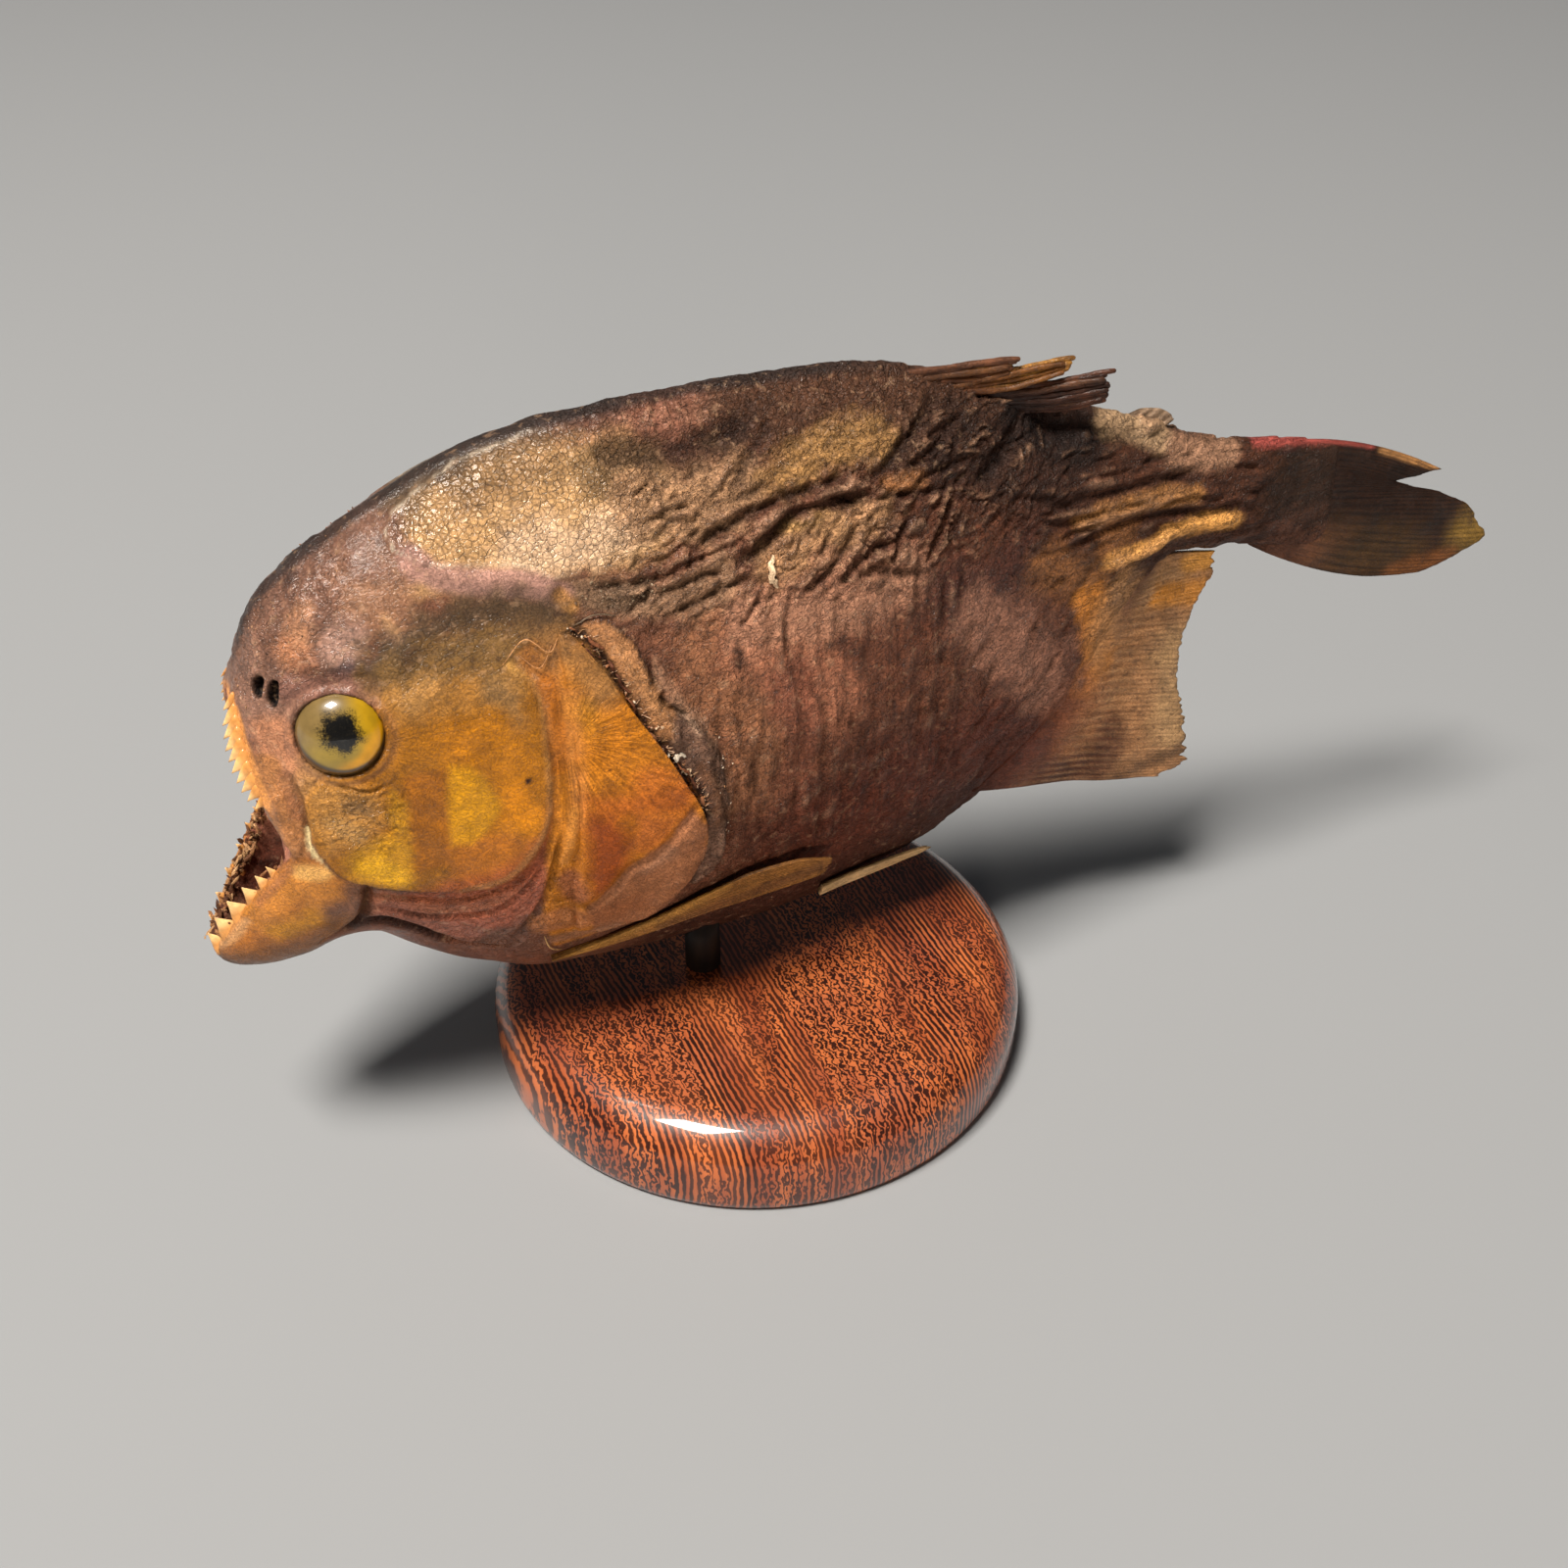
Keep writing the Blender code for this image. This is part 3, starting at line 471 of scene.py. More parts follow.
CREASES = (
    Crease(((-20, 81.8), (-13.2, 81), (-7.4, 80.4), (-3, 80.8), (0.6, 81.8), (4, 83.2)), 0.95, 1.7, 0.35),
    Crease(((4.2, 82.4), (1.6, 79.8), (-0.5, 77.9), (-3.4, 74.8)), 0.6, 0.7, 0.2, 0.2),
    Crease(((13.5, 75.4), (9.3, 74.1), (3.3, 73.4), (-1.6, 72.4), (-5.2, 71.3), (-10.5, 69.6)), 0.85, 0.7,
        0.4, 0.15),
    Crease(((-9, 69), (-12.5, 67.6), (-17.4, 67.4), (-22.5, 67.8)), 0.56, 0.5, 0.24, 0.18),
    Crease(((16, 71.8), (9.5, 71.6), (4.4, 71.7), (2.2, 70.3), (0.1, 68.9), (-2, 67.6), (-5, 66.2)), 1.15,
        0.75, 0.25, 0.45),
    Crease(((-4.8, 66.4), (-7.5, 66.6), (-11, 66), (-15, 65.6)), 0.56, 0.45, 0.24, 0.12),
    Crease(((-1, 65.4), (-5.6, 64.6), (-8.9, 63.7), (-13, 62.9)), 0.56, 0.5, 0.3, 0.06),
    Crease(((-3, 69.6), (-7, 69), (-11, 67.8)), 0.43, 0.4, 0.21, 0.06),
    Crease(((4, 75.8), (-1, 74.6), (-6, 73.6)), 0.31, 0.5, 0.18, 0.06),
    Crease(((18.5, 72.6), (13.5, 71.9), (8.2, 72.8), (4, 73)), 0.56, 0.5, 0.24, 0.06),
    Crease(((13, 69.4), (11.3, 67), (9, 64.6), (6.4, 63), (3.6, 62)), 0.68, 0.55, 0.3, 0.24),
    Crease(((9, 68.8), (7.6, 66.6), (5.8, 65)), 0.43, 0.45, 0.24, 0.18),
    Crease(((18, 65.4), (14.4, 65.2), (12, 64), (10.3, 62.6), (9.2, 61)), 0.74, 0.55, 0.36, 0.24),
    Crease(((15.4, 68), (13.6, 67.2), (12.6, 65.8)), 0.5, 0.45, 0.24, 0.18),
    Crease(((20.4, 68.2), (18.6, 66.8), (17.4, 64.6), (16.8, 62.4)), 0.5, 0.5, 0.24, 0.24),
    Crease(((26.5, 80.6), (22.8, 78), (20, 76.1), (17.4, 74.4), (13.6, 73)), 0.68, 0.8, 0.24, 0.18),
    Crease(((30.5, 78.6), (26.3, 76.4), (23.8, 74.7), (19.6, 73)), 0.5, 0.6, 0.18, 0.12),
    Crease(((39.6, 76.6), (36.4, 73.5), (33.6, 71.3), (28.8, 68.9)), 0.9, 1.2, 0.2),
    Crease(((26, 69.6), (20.3, 70.5), (16.1, 71), (11.5, 71)), 0.56, 0.5, 0.24, 0.18),
    Crease(((30, 72.6), (25, 72.2), (20, 71.4)), 0.5, 0.5, 0.24, 0.12),
    Crease(((26.4, 69.2), (24.6, 66.3), (23.2, 63.9), (21.4, 61.2)), 0.56, 0.5, 0.18, 0.27),
    Crease(((23, 59.9), (17.2, 61.4), (13.8, 62.6), (10, 61.6)), 0.5, 0.7, 0.24),
    Crease(((42, 57), (50, 58.2), (54.8, 58.6), (61.2, 58.2), (68.5, 56.2)), 0.56, 0.6, 0.3, 0.24),
    Crease(((37, 65), (45.2, 63.5), (53, 63.2), (59.4, 63), (67, 62.7)), 0.43, 0.8, 0.24, 0.18),
    Crease(((40, 60.6), (46, 60.9), (52, 61), (58, 60.6)), 0.37, 0.5, 0.18, 0.18),
    Crease(((-47, 61.6), (-44, 62.4), (-40, 65.4), (-35.6, 67.2), (-30, 66.2)), 0.22, 1),
    Crease(((-57.4, 62.8), (-54, 62.6), (-50, 62.2), (-47.2, 60.8)), 0.35, 0.8, 0.15),
    Crease(((-59.6, 51.6), (-58.9, 48), (-58.8, 44.6), (-59.2, 41.8), (-60.2, 39.8)), 0.6, 0.35, 0.2),
    Crease(((-28.9, 38.8), (-30.4, 33.6), (-31.5, 29.1), (-32.9, 25.8), (-34.8, 22.2), (-37, 19)), 0.7, 0.42,
        0.12, 0.3),
    Crease(((-54.1, 31.2), (-50, 29), (-46.2, 27.3), (-39, 26.4), (-35.2, 28.8), (-31.9, 33.4),
        (-29.6, 38.3)), 0.5, 0.4, 0.25, 0.3),
    Crease(((-57, 34.8), (-52.7, 32.6), (-48.2, 31), (-41.2, 29.4), (-35, 31.4), (-31, 36), (-29.2, 41.7)),
        0.35, 0.35, 0.05, 0.2),
    Crease(((-46.3, 22.2), (-41, 19.4), (-36.6, 18.2), (-34.6, 20.6)), 0.4, 0.4, 0.25, 0.15),
    Crease(((-31.6, 25.6), (-29, 26), (-27, 24.4), (-25.6, 21.6)), 0.35, 0.35, 0.1, 0.2),
    Crease(((-53.6, 35.4), (-53.3, 32.6), (-54.2, 29.2), (-56.4, 26.6), (-60, 23.8)), 1.2, 0.6, 0, 0.3),
    Crease(((-55.4, 27.2), (-52.6, 27.8), (-50, 26.4), (-46, 22.8), (-42, 19.4)), 1, 0.6, 0.2, 0.1),
    Crease(((-54.6, 49.6), (-53.1, 49), (-51.8, 48.4), (-50.3, 48.3), (-48.8, 48.9)), 0.35, 0.28, 0.15, 0.15),
    Crease(((-16.2, 59.7), (-16, 56), (-14.7, 51.8), (-13.5, 51.3), (-11.8, 49.1), (-11, 47.6)), 0.8, 0.35,
        0.3, 0.2),
    Crease(((-10, 46.6), (-8.9, 39), (-7.8, 30.4), (-8.3, 24.9)), 0.8, 0.4, 0.1, 0.3),
)

STROKES = (
    Strokes(1, 60, (-18, 26, 61, 79), (8, 42), (3, 9), (0.1, 0.34), (0.3, 0.5), 0.5),
    Strokes(2, 40, (14, 44, 60, 80), (10, 60), (3, 8), (0.1, 0.34), (0.3, 0.5), 0.5),
    Strokes(3, 34, (-16, 30, 61, 71), (-8, 60), (2, 6), (0.1, 0.3), (0.3, 0.4), 0.5),
    Strokes(4, 50, (-10, 30, 26, 60), (78, 100), (4, 14), (0.1, 0.28), (0.35, 0.6), 0.5),
    Strokes(5, 50, (-20, 14, 81, 85), (60, 95), (1.5, 3), (0.08, 0.2), (0.3, 0.4), 0.5),
    Strokes(6, 50, (38, 76, 50, 70), (-16, 12), (3, 9), (0.12, 0.4), (0.3, 0.5), 0.5),
    Strokes(7, 40, (30, 56, 20, 52), (30, 80), (3, 8), (0.1, 0.28), (0.35, 0.6), 0.5),
    Strokes(8, 64, (-57.6, -47, 39, 50), (-75, 75), (0.6, 1.6), (0.03, 0.09), (0.2, 0.3), 0.8),
)

RIDGES = (
    Ridge(((-26.6, 60), (-26.2, 54.5), (-26.4, 49.2), (-26.8, 43.8), (-27.6, 38.4), (-28.6, 32.5)), 0.55,
        1.3),
    Ridge(((-42, 74.8), (-38.6, 72.4), (-33, 70.9), (-28.6, 69.8), (-25.2, 67.9)), 0.8, 1.6),
    Ridge(((-17, 59.4), (-14.4, 54.6), (-11, 48.8), (-8.9, 43), (-8, 36), (-8, 30), (-9.5, 24.6)), 0.6, 1.1),
    Ridge(((-20.6, 60.4), (-17.6, 54.6), (-15.2, 50.2), (-12.8, 46)), 0.5, 0.8),
    Ridge(((-63, 60), (-62.4, 54), (-61.6, 49), (-60.8, 44.8)), 0.35, 1.1),
    Ridge(((44, 60.5), (52, 60.8), (60, 60.6), (69, 59.4)), 0.45, 1),
    Ridge(((50, 52.6), (57.9, 53.4), (60.1, 54.9), (64.9, 55.3), (71.5, 54.5), (76.8, 53.1)), 0.8, 0.9),
    Ridge(((56, 71), (62, 67.6)), 0.5, 1.2),
    Ridge(((-33, 23), (-30.6, 21.6), (-28, 22.4)), 0.7, 1.6),
)

NAPE: Line = ((-43.6, 76.9), (-43.2, 75), (-40.9, 73.7), (-38.3, 73.1), (-32.9, 72.5), (-28.5, 71.4),
              (-26.3, 69.8), (-20, 69), (-14, 72), (-12, 79), (-16, 84.4), (-21.6, 84.3),
              (-25.1, 84), (-29.8, 83.2), (-33.8, 82.3), (-38.2, 80.4), (-42, 78.4))
CHEEK_EDGE: Line = ((-58.5, 47.5), (-58.5, 44), (-58.3, 41.2), (-57.6, 38.8), (-56.3, 36.5), (-53.7, 34.5),
                    (-50.4, 33.1), (-47.5, 32.4), (-43.5, 31.3), (-39, 30.9), (-36, 31.7), (-33.2, 34.2),
                    (-31.4, 37), (-30, 41), (-29.4, 46), (-29.5, 50.5), (-29.9, 54), (-30.6, 57.4),
                    (-31.6, 59.6), (-33.6, 61.6), (-40, 62.9), (-46, 61.2))
GILL_FIELD: Line = ((-27.4, 60), (-24.6, 63), (-22.4, 60.6), (-19.5, 54.6), (-17, 49), (-13, 42.2),
                    (-11, 37.6), (-10.8, 31), (-13, 25), (-18.3, 19.7), (-24.9, 16.4), (-31, 15.6),
                    (-32.4, 24), (-31.6, 34), (-30, 40.6), (-29.4, 46), (-29.3, 54))

TISSUE_PLATES: tuple[tuple[str, float, Line], ...] = (
    ("#a8744a", 0.5, ((-24.2, 64.4), (-20.8, 63.8), (-17.8, 60.6), (-16.7, 57), (-15.2, 53), (-13.4, 50.9),
                      (-13.8, 46), (-16.6, 48.6), (-18.6, 53), (-20.6, 57.6), (-22.8, 61.8))),
    ("#6e5040", 0.9, ((-14.2, 50.6), (-12.2, 50.2), (-10.2, 47.2), (-8.6, 43), (-7.8, 36), (-7.8, 30),
                      (-9.2, 24.6), (-12.4, 23), (-11.2, 31), (-11.2, 36), (-12.8, 41.6), (-14.8, 46))))

PAINT = (
    Wash("#402417", ((30, 66), (70, 60)), 14, 12, 0.9, 0.4),
    Wash("#6a3e2b", ((-8, 40), (24, 44)), 18, 10, 0.9, 0.5),
    Wash("#5c2e20", ((6, 22), (30, 27), (40, 30)), 8, 8, 0.9, 0.4),
    Wash("#3c2118", ((-12, 10), (10, 10), (30, 17)), 5, 6, 0.85, 0.3),
    Wash("#916042", ((-8, 60), (-6, 50), (-2, 40)), 4, 6, 0.85, 0.9),
    Wash("#a86c50", ((-3, 58), (1, 56), (7, 46)), 3.6, 4, 0.85, 0.9),
    Wash("#7a4030", ((2, 52), (3, 44), (2, 36)), 1.9, 2.4, 0.5, 0.8),
    Wash("#a8785e", ((-3, 60), (6, 58.6), (14, 59), (19, 60.5)), 2.4, 3.6, 0.8, 1),
    Wash("#3a1f1c", ((25, 57), (30, 55), (37, 58)), 3, 4, 0.6, 0.8),
    Wash("#8a5a46", ((-22, 84), (-12, 84.6), (-3, 84.8)), 2.8, 2.4, 0.95, 0.6),
    Wash("#4e3222", ((1, 84.4), (12, 83.6), (24, 80), (34, 76)), 5.5, 4, 0.9, 0.6),
    Wash("#b98f60", ((-40, 77), (-30, 77.5), (-16, 76)), 5.5, 3, 1, 0.3),
    Wash("#866440", ((-34, 80.6), (-24, 81.6)), 1.6, 2, 0.7, 0.8),
    Wash("#d6b08c", ((-29, 73.6), (-22, 73), (-16, 73.6)), 1.8, 2.4, 0.9, 0.8),
    Wash("#6f5436", ((-19, 79.6), (-13, 78.6)), 1.6, 2, 0.8, 0.4),
    Wash("#a27a58", ((-14, 75.6), (-6, 75), (-2, 76)), 3, 2.6, 0.95, 0.8),
    Wash("#a27848", ((3, 75.8), (10, 77.4), (16, 77.6)), 1.4, 2.4, 0.9, 0.9),
    Wash("#b58a52", ((3, 70), (7, 70.2), (10, 69)), 0.7, 1.2, 0.85, 0.9),
    Wash("#947054", ((-19, 65.6), (-12, 64.6), (-6, 65.6)), 1.8, 2, 0.85, 0.8),
    Wash("#b4865e", ((1, 66.8), (8, 67.6), (15, 69.2)), 1.6, 2.2, 0.85, 0.9),
    Wash("#a87044", ((17, 72.4), (22, 71.8)), 0.5, 0.9, 0.8, 0.9),
    Wash("#96674f", ((7, 65.4), (10.6, 63.6), (13.6, 63.4)), 1, 1, 0.6, 0.9),
    Wash("#6a5440", ((-23.4, 67.6), (-20, 66), (-16, 66)), 1.3, 1.6, 0.7, 0.8),
    # Dark under the folded dorsal rays: painted shadow in the pocket beneath them.
    Wash("#2e1a12", ((28, 74), (36, 71), (42, 68)), 4, 5, 0.8, 0.3),
    Wash("#1a0e09", ((38.5, 76.5), (43, 73), (47, 71)), 2.6, 3, 0.95, 0.2),
    Wash("#a08262", ((51, 72), (55, 70.6), (59, 68.4)), 1.2, 1.4, 0.95, 0.4),
    Wash("#a87e62", ((62, 66), (66, 65), (70, 64.4)), 1.2, 2, 0.8, 0.6),
    Wash("#2c1a0d", ((82, 58), (92, 55)), 4, 5, 0.9, 0.6),
    Wash("#a3703f", ((46, 60.6), (54, 61), (64, 60.2)), 0.9, 1.4, 0.85, 0.6),
    Wash("#8a5a34", ((40, 56), (47.6, 52), (52, 56)), 2.2, 3, 0.8, 0.7),
    Wash("#e6a458", ((51, 53.4), (57.9, 53.8), (60.1, 55), (64.9, 55.4), (71, 54.6)), 1, 0.9, 0.95, 0.4),
    Wash("#d8893a", ((48, 49), (50.4, 44), (51.4, 38), (50.6, 33)), 2, 1.8, 0.95, 0.5),
    Wash("#b8875a", ((54, 48), (52.8, 42), (54, 36)), 2, 3, 0.8, 0.6),
    Wash("#8a5236", ((48, 32), (50, 24)), 3, 3.6, 0.7, 0.6),
    Wash("#a0705a", ((31, 51), (36, 44), (41.5, 36)), 3.6, 3.6, 0.85, 1.2),
    Wash("#a04a42", ((75, 64.4), (80, 63.6), (88, 62.4)), 0.5, 0.7, 0.95, 0.3),
    Wash("#2c2624", ((-63, 61.5), (-58, 70), (-52, 74.2), (-42, 79.4), (-30, 84), (-15, 86)), 0.9, 2, 0.9,
        0.3),
    Wash("#7e5c4c", ((-61, 60), (-57, 66)), 3.6, 3, 0.95, 0.7),
    Wash("#725040", ((-57, 67), (-50, 72), (-44, 75)), 3, 2.6, 0.95, 0.8),
    Wash("#8a6248", ((-48, 70.4), (-45, 69), (-43.6, 67)), 1.6, 2.6, 0.9, 0.9),
    # Pale patch where the brow shines: partly its own greyish pink, partly painted highlight.
    Wash("#a07c6c", ((-51, 65), (-49.6, 67.2)), 1, 1.8, 0.8, 0.9),
    Wash("#b07c58", ((-56.6, 65), (-55, 67.4), (-54, 69.6)), 0.5, 1.4, 0.7, 1),
    Wash("#4a4048", ((-50.4, 62.6), (-47, 62.8), (-44.4, 65.4)), 0.8, 1.3, 0.8, 0.8),
    Wash("#b98c62", ((-45.6, 63), (-44.6, 66), (-45.4, 68.2)), 0.35, 0.7, 0.7, 0.6),
    Wash("#9a6040", ((-56.6, 65.4), (-55, 63.2)), 0.6, 1.6, 0.5, 1),
    Wash("#7c5548", ((-57.6, 61.4), (-50, 61.4), (-47, 59.6)), 0.9, 1.3, 0.9, 0.4),
    Wash("#a67c6e", ((-41.5, 74.2), (-38.6, 72.1), (-33, 70.6), (-28.6, 69.4), (-25.6, 67.6)), 1.2, 0.9, 0.95,
        0.4),
    Wash("#d09048", ((-25.6, 67.4), (-24.6, 66)), 0.7, 0.7, 0.8, 0.6),
    Wash("#4e3c28", ((-46, 63.8), (-40, 66.8), (-33, 66.8), (-26, 65)), 1.5, 2.4, 0.9, 0.9),
    Wash("#6b4d2c", ((-42, 63.6), (-34, 64.4), (-29, 62.4)), 1.2, 2, 0.8, 0.9),
    Wash("#b47a58", ((-59.8, 56), (-59.8, 51)), 1.6, 1.6, 0.95, 0.4),
    Wash("#a87042", ((-61.8, 51.5), (-61.4, 47), (-60.8, 43), (-60.8, 39.8)), 1.5, 0.7, 0.95, 0.3),
    Wash("#8d5a3c", ((-59.8, 50.6), (-59.4, 46)), 0.6, 0.7, 0.7, 0.4),
    Wash("#d58f4c", ((-64, 58.6), (-63.8, 54), (-63.3, 50), (-62.7, 47)), 0.75, 0.35, 0.95, 0.25),
    Wash("#a87a4a", ((-55, 49.8), (-52, 47), (-50.6, 44)), 3, 2.4, 0.8, 0.6),
)

CHEEK_PAINT = (
    Patch("#965e10", CHEEK_EDGE, 0.5, 1, 0.1),
    Wash("#76572f", ((-45, 61.2), (-38, 62.4), (-33, 60.4)), 2.2, 3.2, 0.9, 0.9),
    Wash("#9a6a30", ((-46, 58), (-38, 58.4), (-33, 57)), 1.4, 2, 0.7, 0.9),
    Wash("#b3834a", ((-44.6, 58.8), (-42.4, 60.6)), 0.9, 1.2, 0.6, 0.9),
    Wash("#8a6a44", ((-35.2, 58.8), (-33.4, 56.6), (-32.6, 53.6)), 0.8, 1.4, 0.6, 0.9),
    Patch("#b26e0a", ((-38.1, 55.4), (-33.8, 54), (-30.6, 50), (-30.4, 43), (-31.6, 38.5), (-35.9, 42.5),
        (-37.5, 47.9), (-42.1, 51.1), (-43.5, 54)), 2, 0.8, 0.8),
    Patch("#945610", ((-46.8, 49.4), (-41.9, 49.8), (-42.6, 42.1), (-42.9, 36), (-47.6, 36), (-47.3, 41.2)),
        0.6, 0.75, 0.4),
    Patch("#d6840c", ((-36.2, 44.2), (-36.4, 42.4), (-37.8, 41), (-33, 37.6), (-31.6, 41), (-33.6, 46)), 1.2,
        0.7, 0.6),
    Patch("#bc6e1c", ((-42.8, 39), (-37.8, 40), (-33.3, 38), (-31.8, 36.8), (-35, 33.2), (-38.7, 31.6),
        (-43.4, 32.2)), 1.2, 0.8, 0.6),
    Patch("#9c4b28", ((-50, 32), (-43.5, 33.6), (-38, 33.8), (-34, 35.6), (-31, 39), (-30, 43), (-28.6, 40),
        (-33, 31), (-39, 28.4), (-48, 30)), 1.3, 0.7, 0.7),
    Patch("#d8980c", ((-41.4, 49.9), (-39.3, 49.5), (-38.1, 48), (-37.2, 46.2), (-36.3, 44.2), (-36.3, 42.8),
        (-37.8, 40.8), (-40.4, 38.6), (-42.6, 39), (-42.7, 42.1), (-42.1, 47.5)), 0.7, 0.65, 0.5),
    Patch("#bd8818", ((-48.3, 47.7), (-46.8, 46.3), (-47.4, 41.6), (-49.3, 42.3), (-49.8, 44.9)), 0.8, 0.6,
        0.8),
    Patch("#c48c18", ((-53.5, 41.6), (-51.4, 42.4), (-49.2, 42), (-47.5, 41), (-48, 33.3), (-53.7, 34.8),
        (-55.7, 36.9), (-55, 39.6)), 1.1, 0.8, 1),
    Wash("#e8ac18", ((-51.6, 37.4), (-49.6, 35.6)), 0.8, 1.6, 0.7, 0.9),
    Patch("#b07c3c", ((-58.2, 49.8), (-54.3, 50.4), (-50.3, 48), (-49.6, 43.6), (-52, 41), (-57.2, 40.4),
        (-58.4, 44.6)), 1.6, 0.9, 0.8),
    Wash("#75593a", ((-53.4, 46.6), (-51.6, 46)), 0.4, 1.2, 0.7, 0.9),
    Wash("#b98c52", ((-55.6, 44.4), (-53.4, 42.8)), 0.5, 1.1, 0.6, 0.9),
    # Pale line along the plate's rear rim: partly its own tan, partly painted highlight on the raised rim.
    Wash("#c9954e", ((-32.9, 60.9), (-31.2, 59.3), (-30.3, 57.3), (-29.8, 52.7), (-29.8, 47.4)), 0.25, 0.4,
        0.7, 0.5),
    Wash("#9a6a3a", ((-30, 47), (-30.4, 41), (-32.6, 36.4), (-36.6, 32.6), (-42, 31.4)), 0.3, 0.6, 0.7, 0.4),
    Wash("#ecd29a", ((-58.9, 43.6), (-58.8, 41.2), (-58, 38.9), (-56.7, 36.5)), 0.22, 0.22, 0.95, 0.1),
    # Dark line under the plate's lower edge: painted shadow cast by the raised edge.
    Wash("#3a1a0c", ((-57.6, 39.4), (-56.3, 36.6), (-53.7, 34.4), (-48.1, 32.5), (-43.4, 31.4)), 0.12, 0.3,
        0.85, 0.1),
    Wash("#2c120a", ((-32.7, 46.1),), 0.35, 0.12, 1, 0.1),
)

UNDER_CHEEK_PAINT = (
    Wash("#9c5e42", ((-52, 31.6), (-46, 29.4), (-39, 28.4), (-34.6, 30.4), (-32.2, 33.6)), 1.1, 0.8, 0.95,
        0.4),
    Wash("#a85e44", ((-44, 25), (-38.6, 24.6), (-34.4, 27.4), (-31.8, 31.6)), 1.9, 1.2, 0.95, 0.6),
    Wash("#985c48", ((-51, 29.4), (-46, 25.4), (-41, 22.4)), 1.1, 1.2, 0.9, 0.4),
    Wash("#7a4832", ((-52, 24), (-44, 17), (-34, 11)), 2.6, 2, 0.95, 0.3),
    # Dark in the throat crease below the jaw: painted shade.
    Wash("#2b150d", ((-56.4, 26.8), (-52.8, 27.8), (-49.6, 25.8), (-45, 22)), 0.6, 0.8, 0.9, 0.2),
)

GILL_PAINT = (
    Patch("#ba711a", GILL_FIELD, 0.5, 1, 0.1),
    Wash("#98602c", ((-29.6, 61), (-28.4, 55), (-28, 49)), 1.6, 1, 0.9, 0.5),
    Wash("#a85f14", ((-28.8, 58), (-28, 52), (-28.4, 47)), 0.8, 0.9, 0.7, 0.5),
    Wash("#c27a34", ((-26.2, 56), (-26.2, 50), (-26.6, 43.8), (-27.4, 38.4)), 0.7, 0.9, 0.9, 0.4),
    Wash("#94683a", ((-26, 61.6), (-24, 60), (-22.4, 56.6)), 1.8, 2.8, 0.9, 0.5),
    Wash("#a8721c", ((-25.4, 54), (-24, 51)), 0.8, 2, 0.5, 0.7),
    Wash("#c8791c", ((-22.6, 49), (-21, 45)), 2, 3, 0.7, 0.5),
    Wash("#c06a26", ((-17.6, 43), (-14, 41)), 1.6, 2.4, 0.8, 0.5),
    Patch("#ae5a20", ((-25.6, 42.5), (-12.6, 40.4), (-13, 36.6), (-25.8, 39)), 1.8, 0.8, 0.8),
    Patch("#8c3c18", ((-26, 40.2), (-22.8, 38.8), (-20.7, 35.5), (-21.2, 29.9), (-23.8, 26.2), (-26.4, 25.3),
        (-27, 31.9), (-26.4, 36.5)), 2, 0.85, 1),
    Patch("#b0602a", ((-20, 38), (-14.5, 36.6), (-15.9, 33.3), (-18.5, 31.6), (-20.4, 32)), 1.2, 0.8, 0.5),
    Patch("#925f42", ((-13, 37.2), (-10.6, 34.4), (-10.6, 29.8), (-12.6, 24.6), (-18.3, 19), (-25.4, 16.6),
        (-27, 23.6), (-21.4, 29.5), (-15.9, 33)), 0.6, 0.9, 0.4),
    Wash("#8f644a", ((-19, 28.6), (-15.6, 31)), 0.6, 1.2, 0.7, 0.7),
    Wash("#8f5735", ((-26, 22), (-20, 22.6)), 1.2, 1.8, 0.8, 0.7),
    Wash("#cf8636", ((-27.4, 40.6), (-28.4, 36), (-29.3, 32.6)), 0.4, 0.6, 0.95, 0.3),
    Wash("#a8683a", ((-32.4, 22), (-30, 22.6), (-28.2, 21.4)), 1.6, 1, 0.95, 0.4),
    Wash("#935634", ((-29, 29.6), (-28, 26.4)), 1, 1.2, 0.9, 0.4),
    Wash("#8a5f44", ((-31, 17.6), (-27.4, 17.6), (-23, 18.4)), 0.9, 1.2, 0.9, 0.4),
    Wash("#6b4230", ((-34, 14.6), (-28, 14.4), (-22, 16.2)), 0.8, 1, 0.9, 0.3),
    Wash("#2c120a", ((-22.7, 45.5),), 0.18, 0.12, 1, 0.1),
)

TISSUE_PAINT = (
    Wash("#b58052", ((-19.6, 60), (-17.4, 55.4), (-15.6, 51.6)), 0.5, 0.9, 0.7, 0.9),
    Wash("#84583c", ((-11.2, 43), (-9.6, 38.4), (-9, 34)), 0.4, 0.8, 0.6, 0.8),
    Wash("#c9a184", ((-13.4, 51.4), (-11.9, 49.3), (-11.1, 47.7)), 0.2, 0.25, 0.8, 0.3),
    # Dark along the gill cover's free edge: painted shadow under the edge.
    Wash("#20100a", GILL_CRACK, 0.4, 0.5, 0.95, 0.3),
    Wash("#1e120c", ((-4.9, 56.6), (-4.5, 54.6)), 0.4, 0.8, 0.8, 0.6),
)

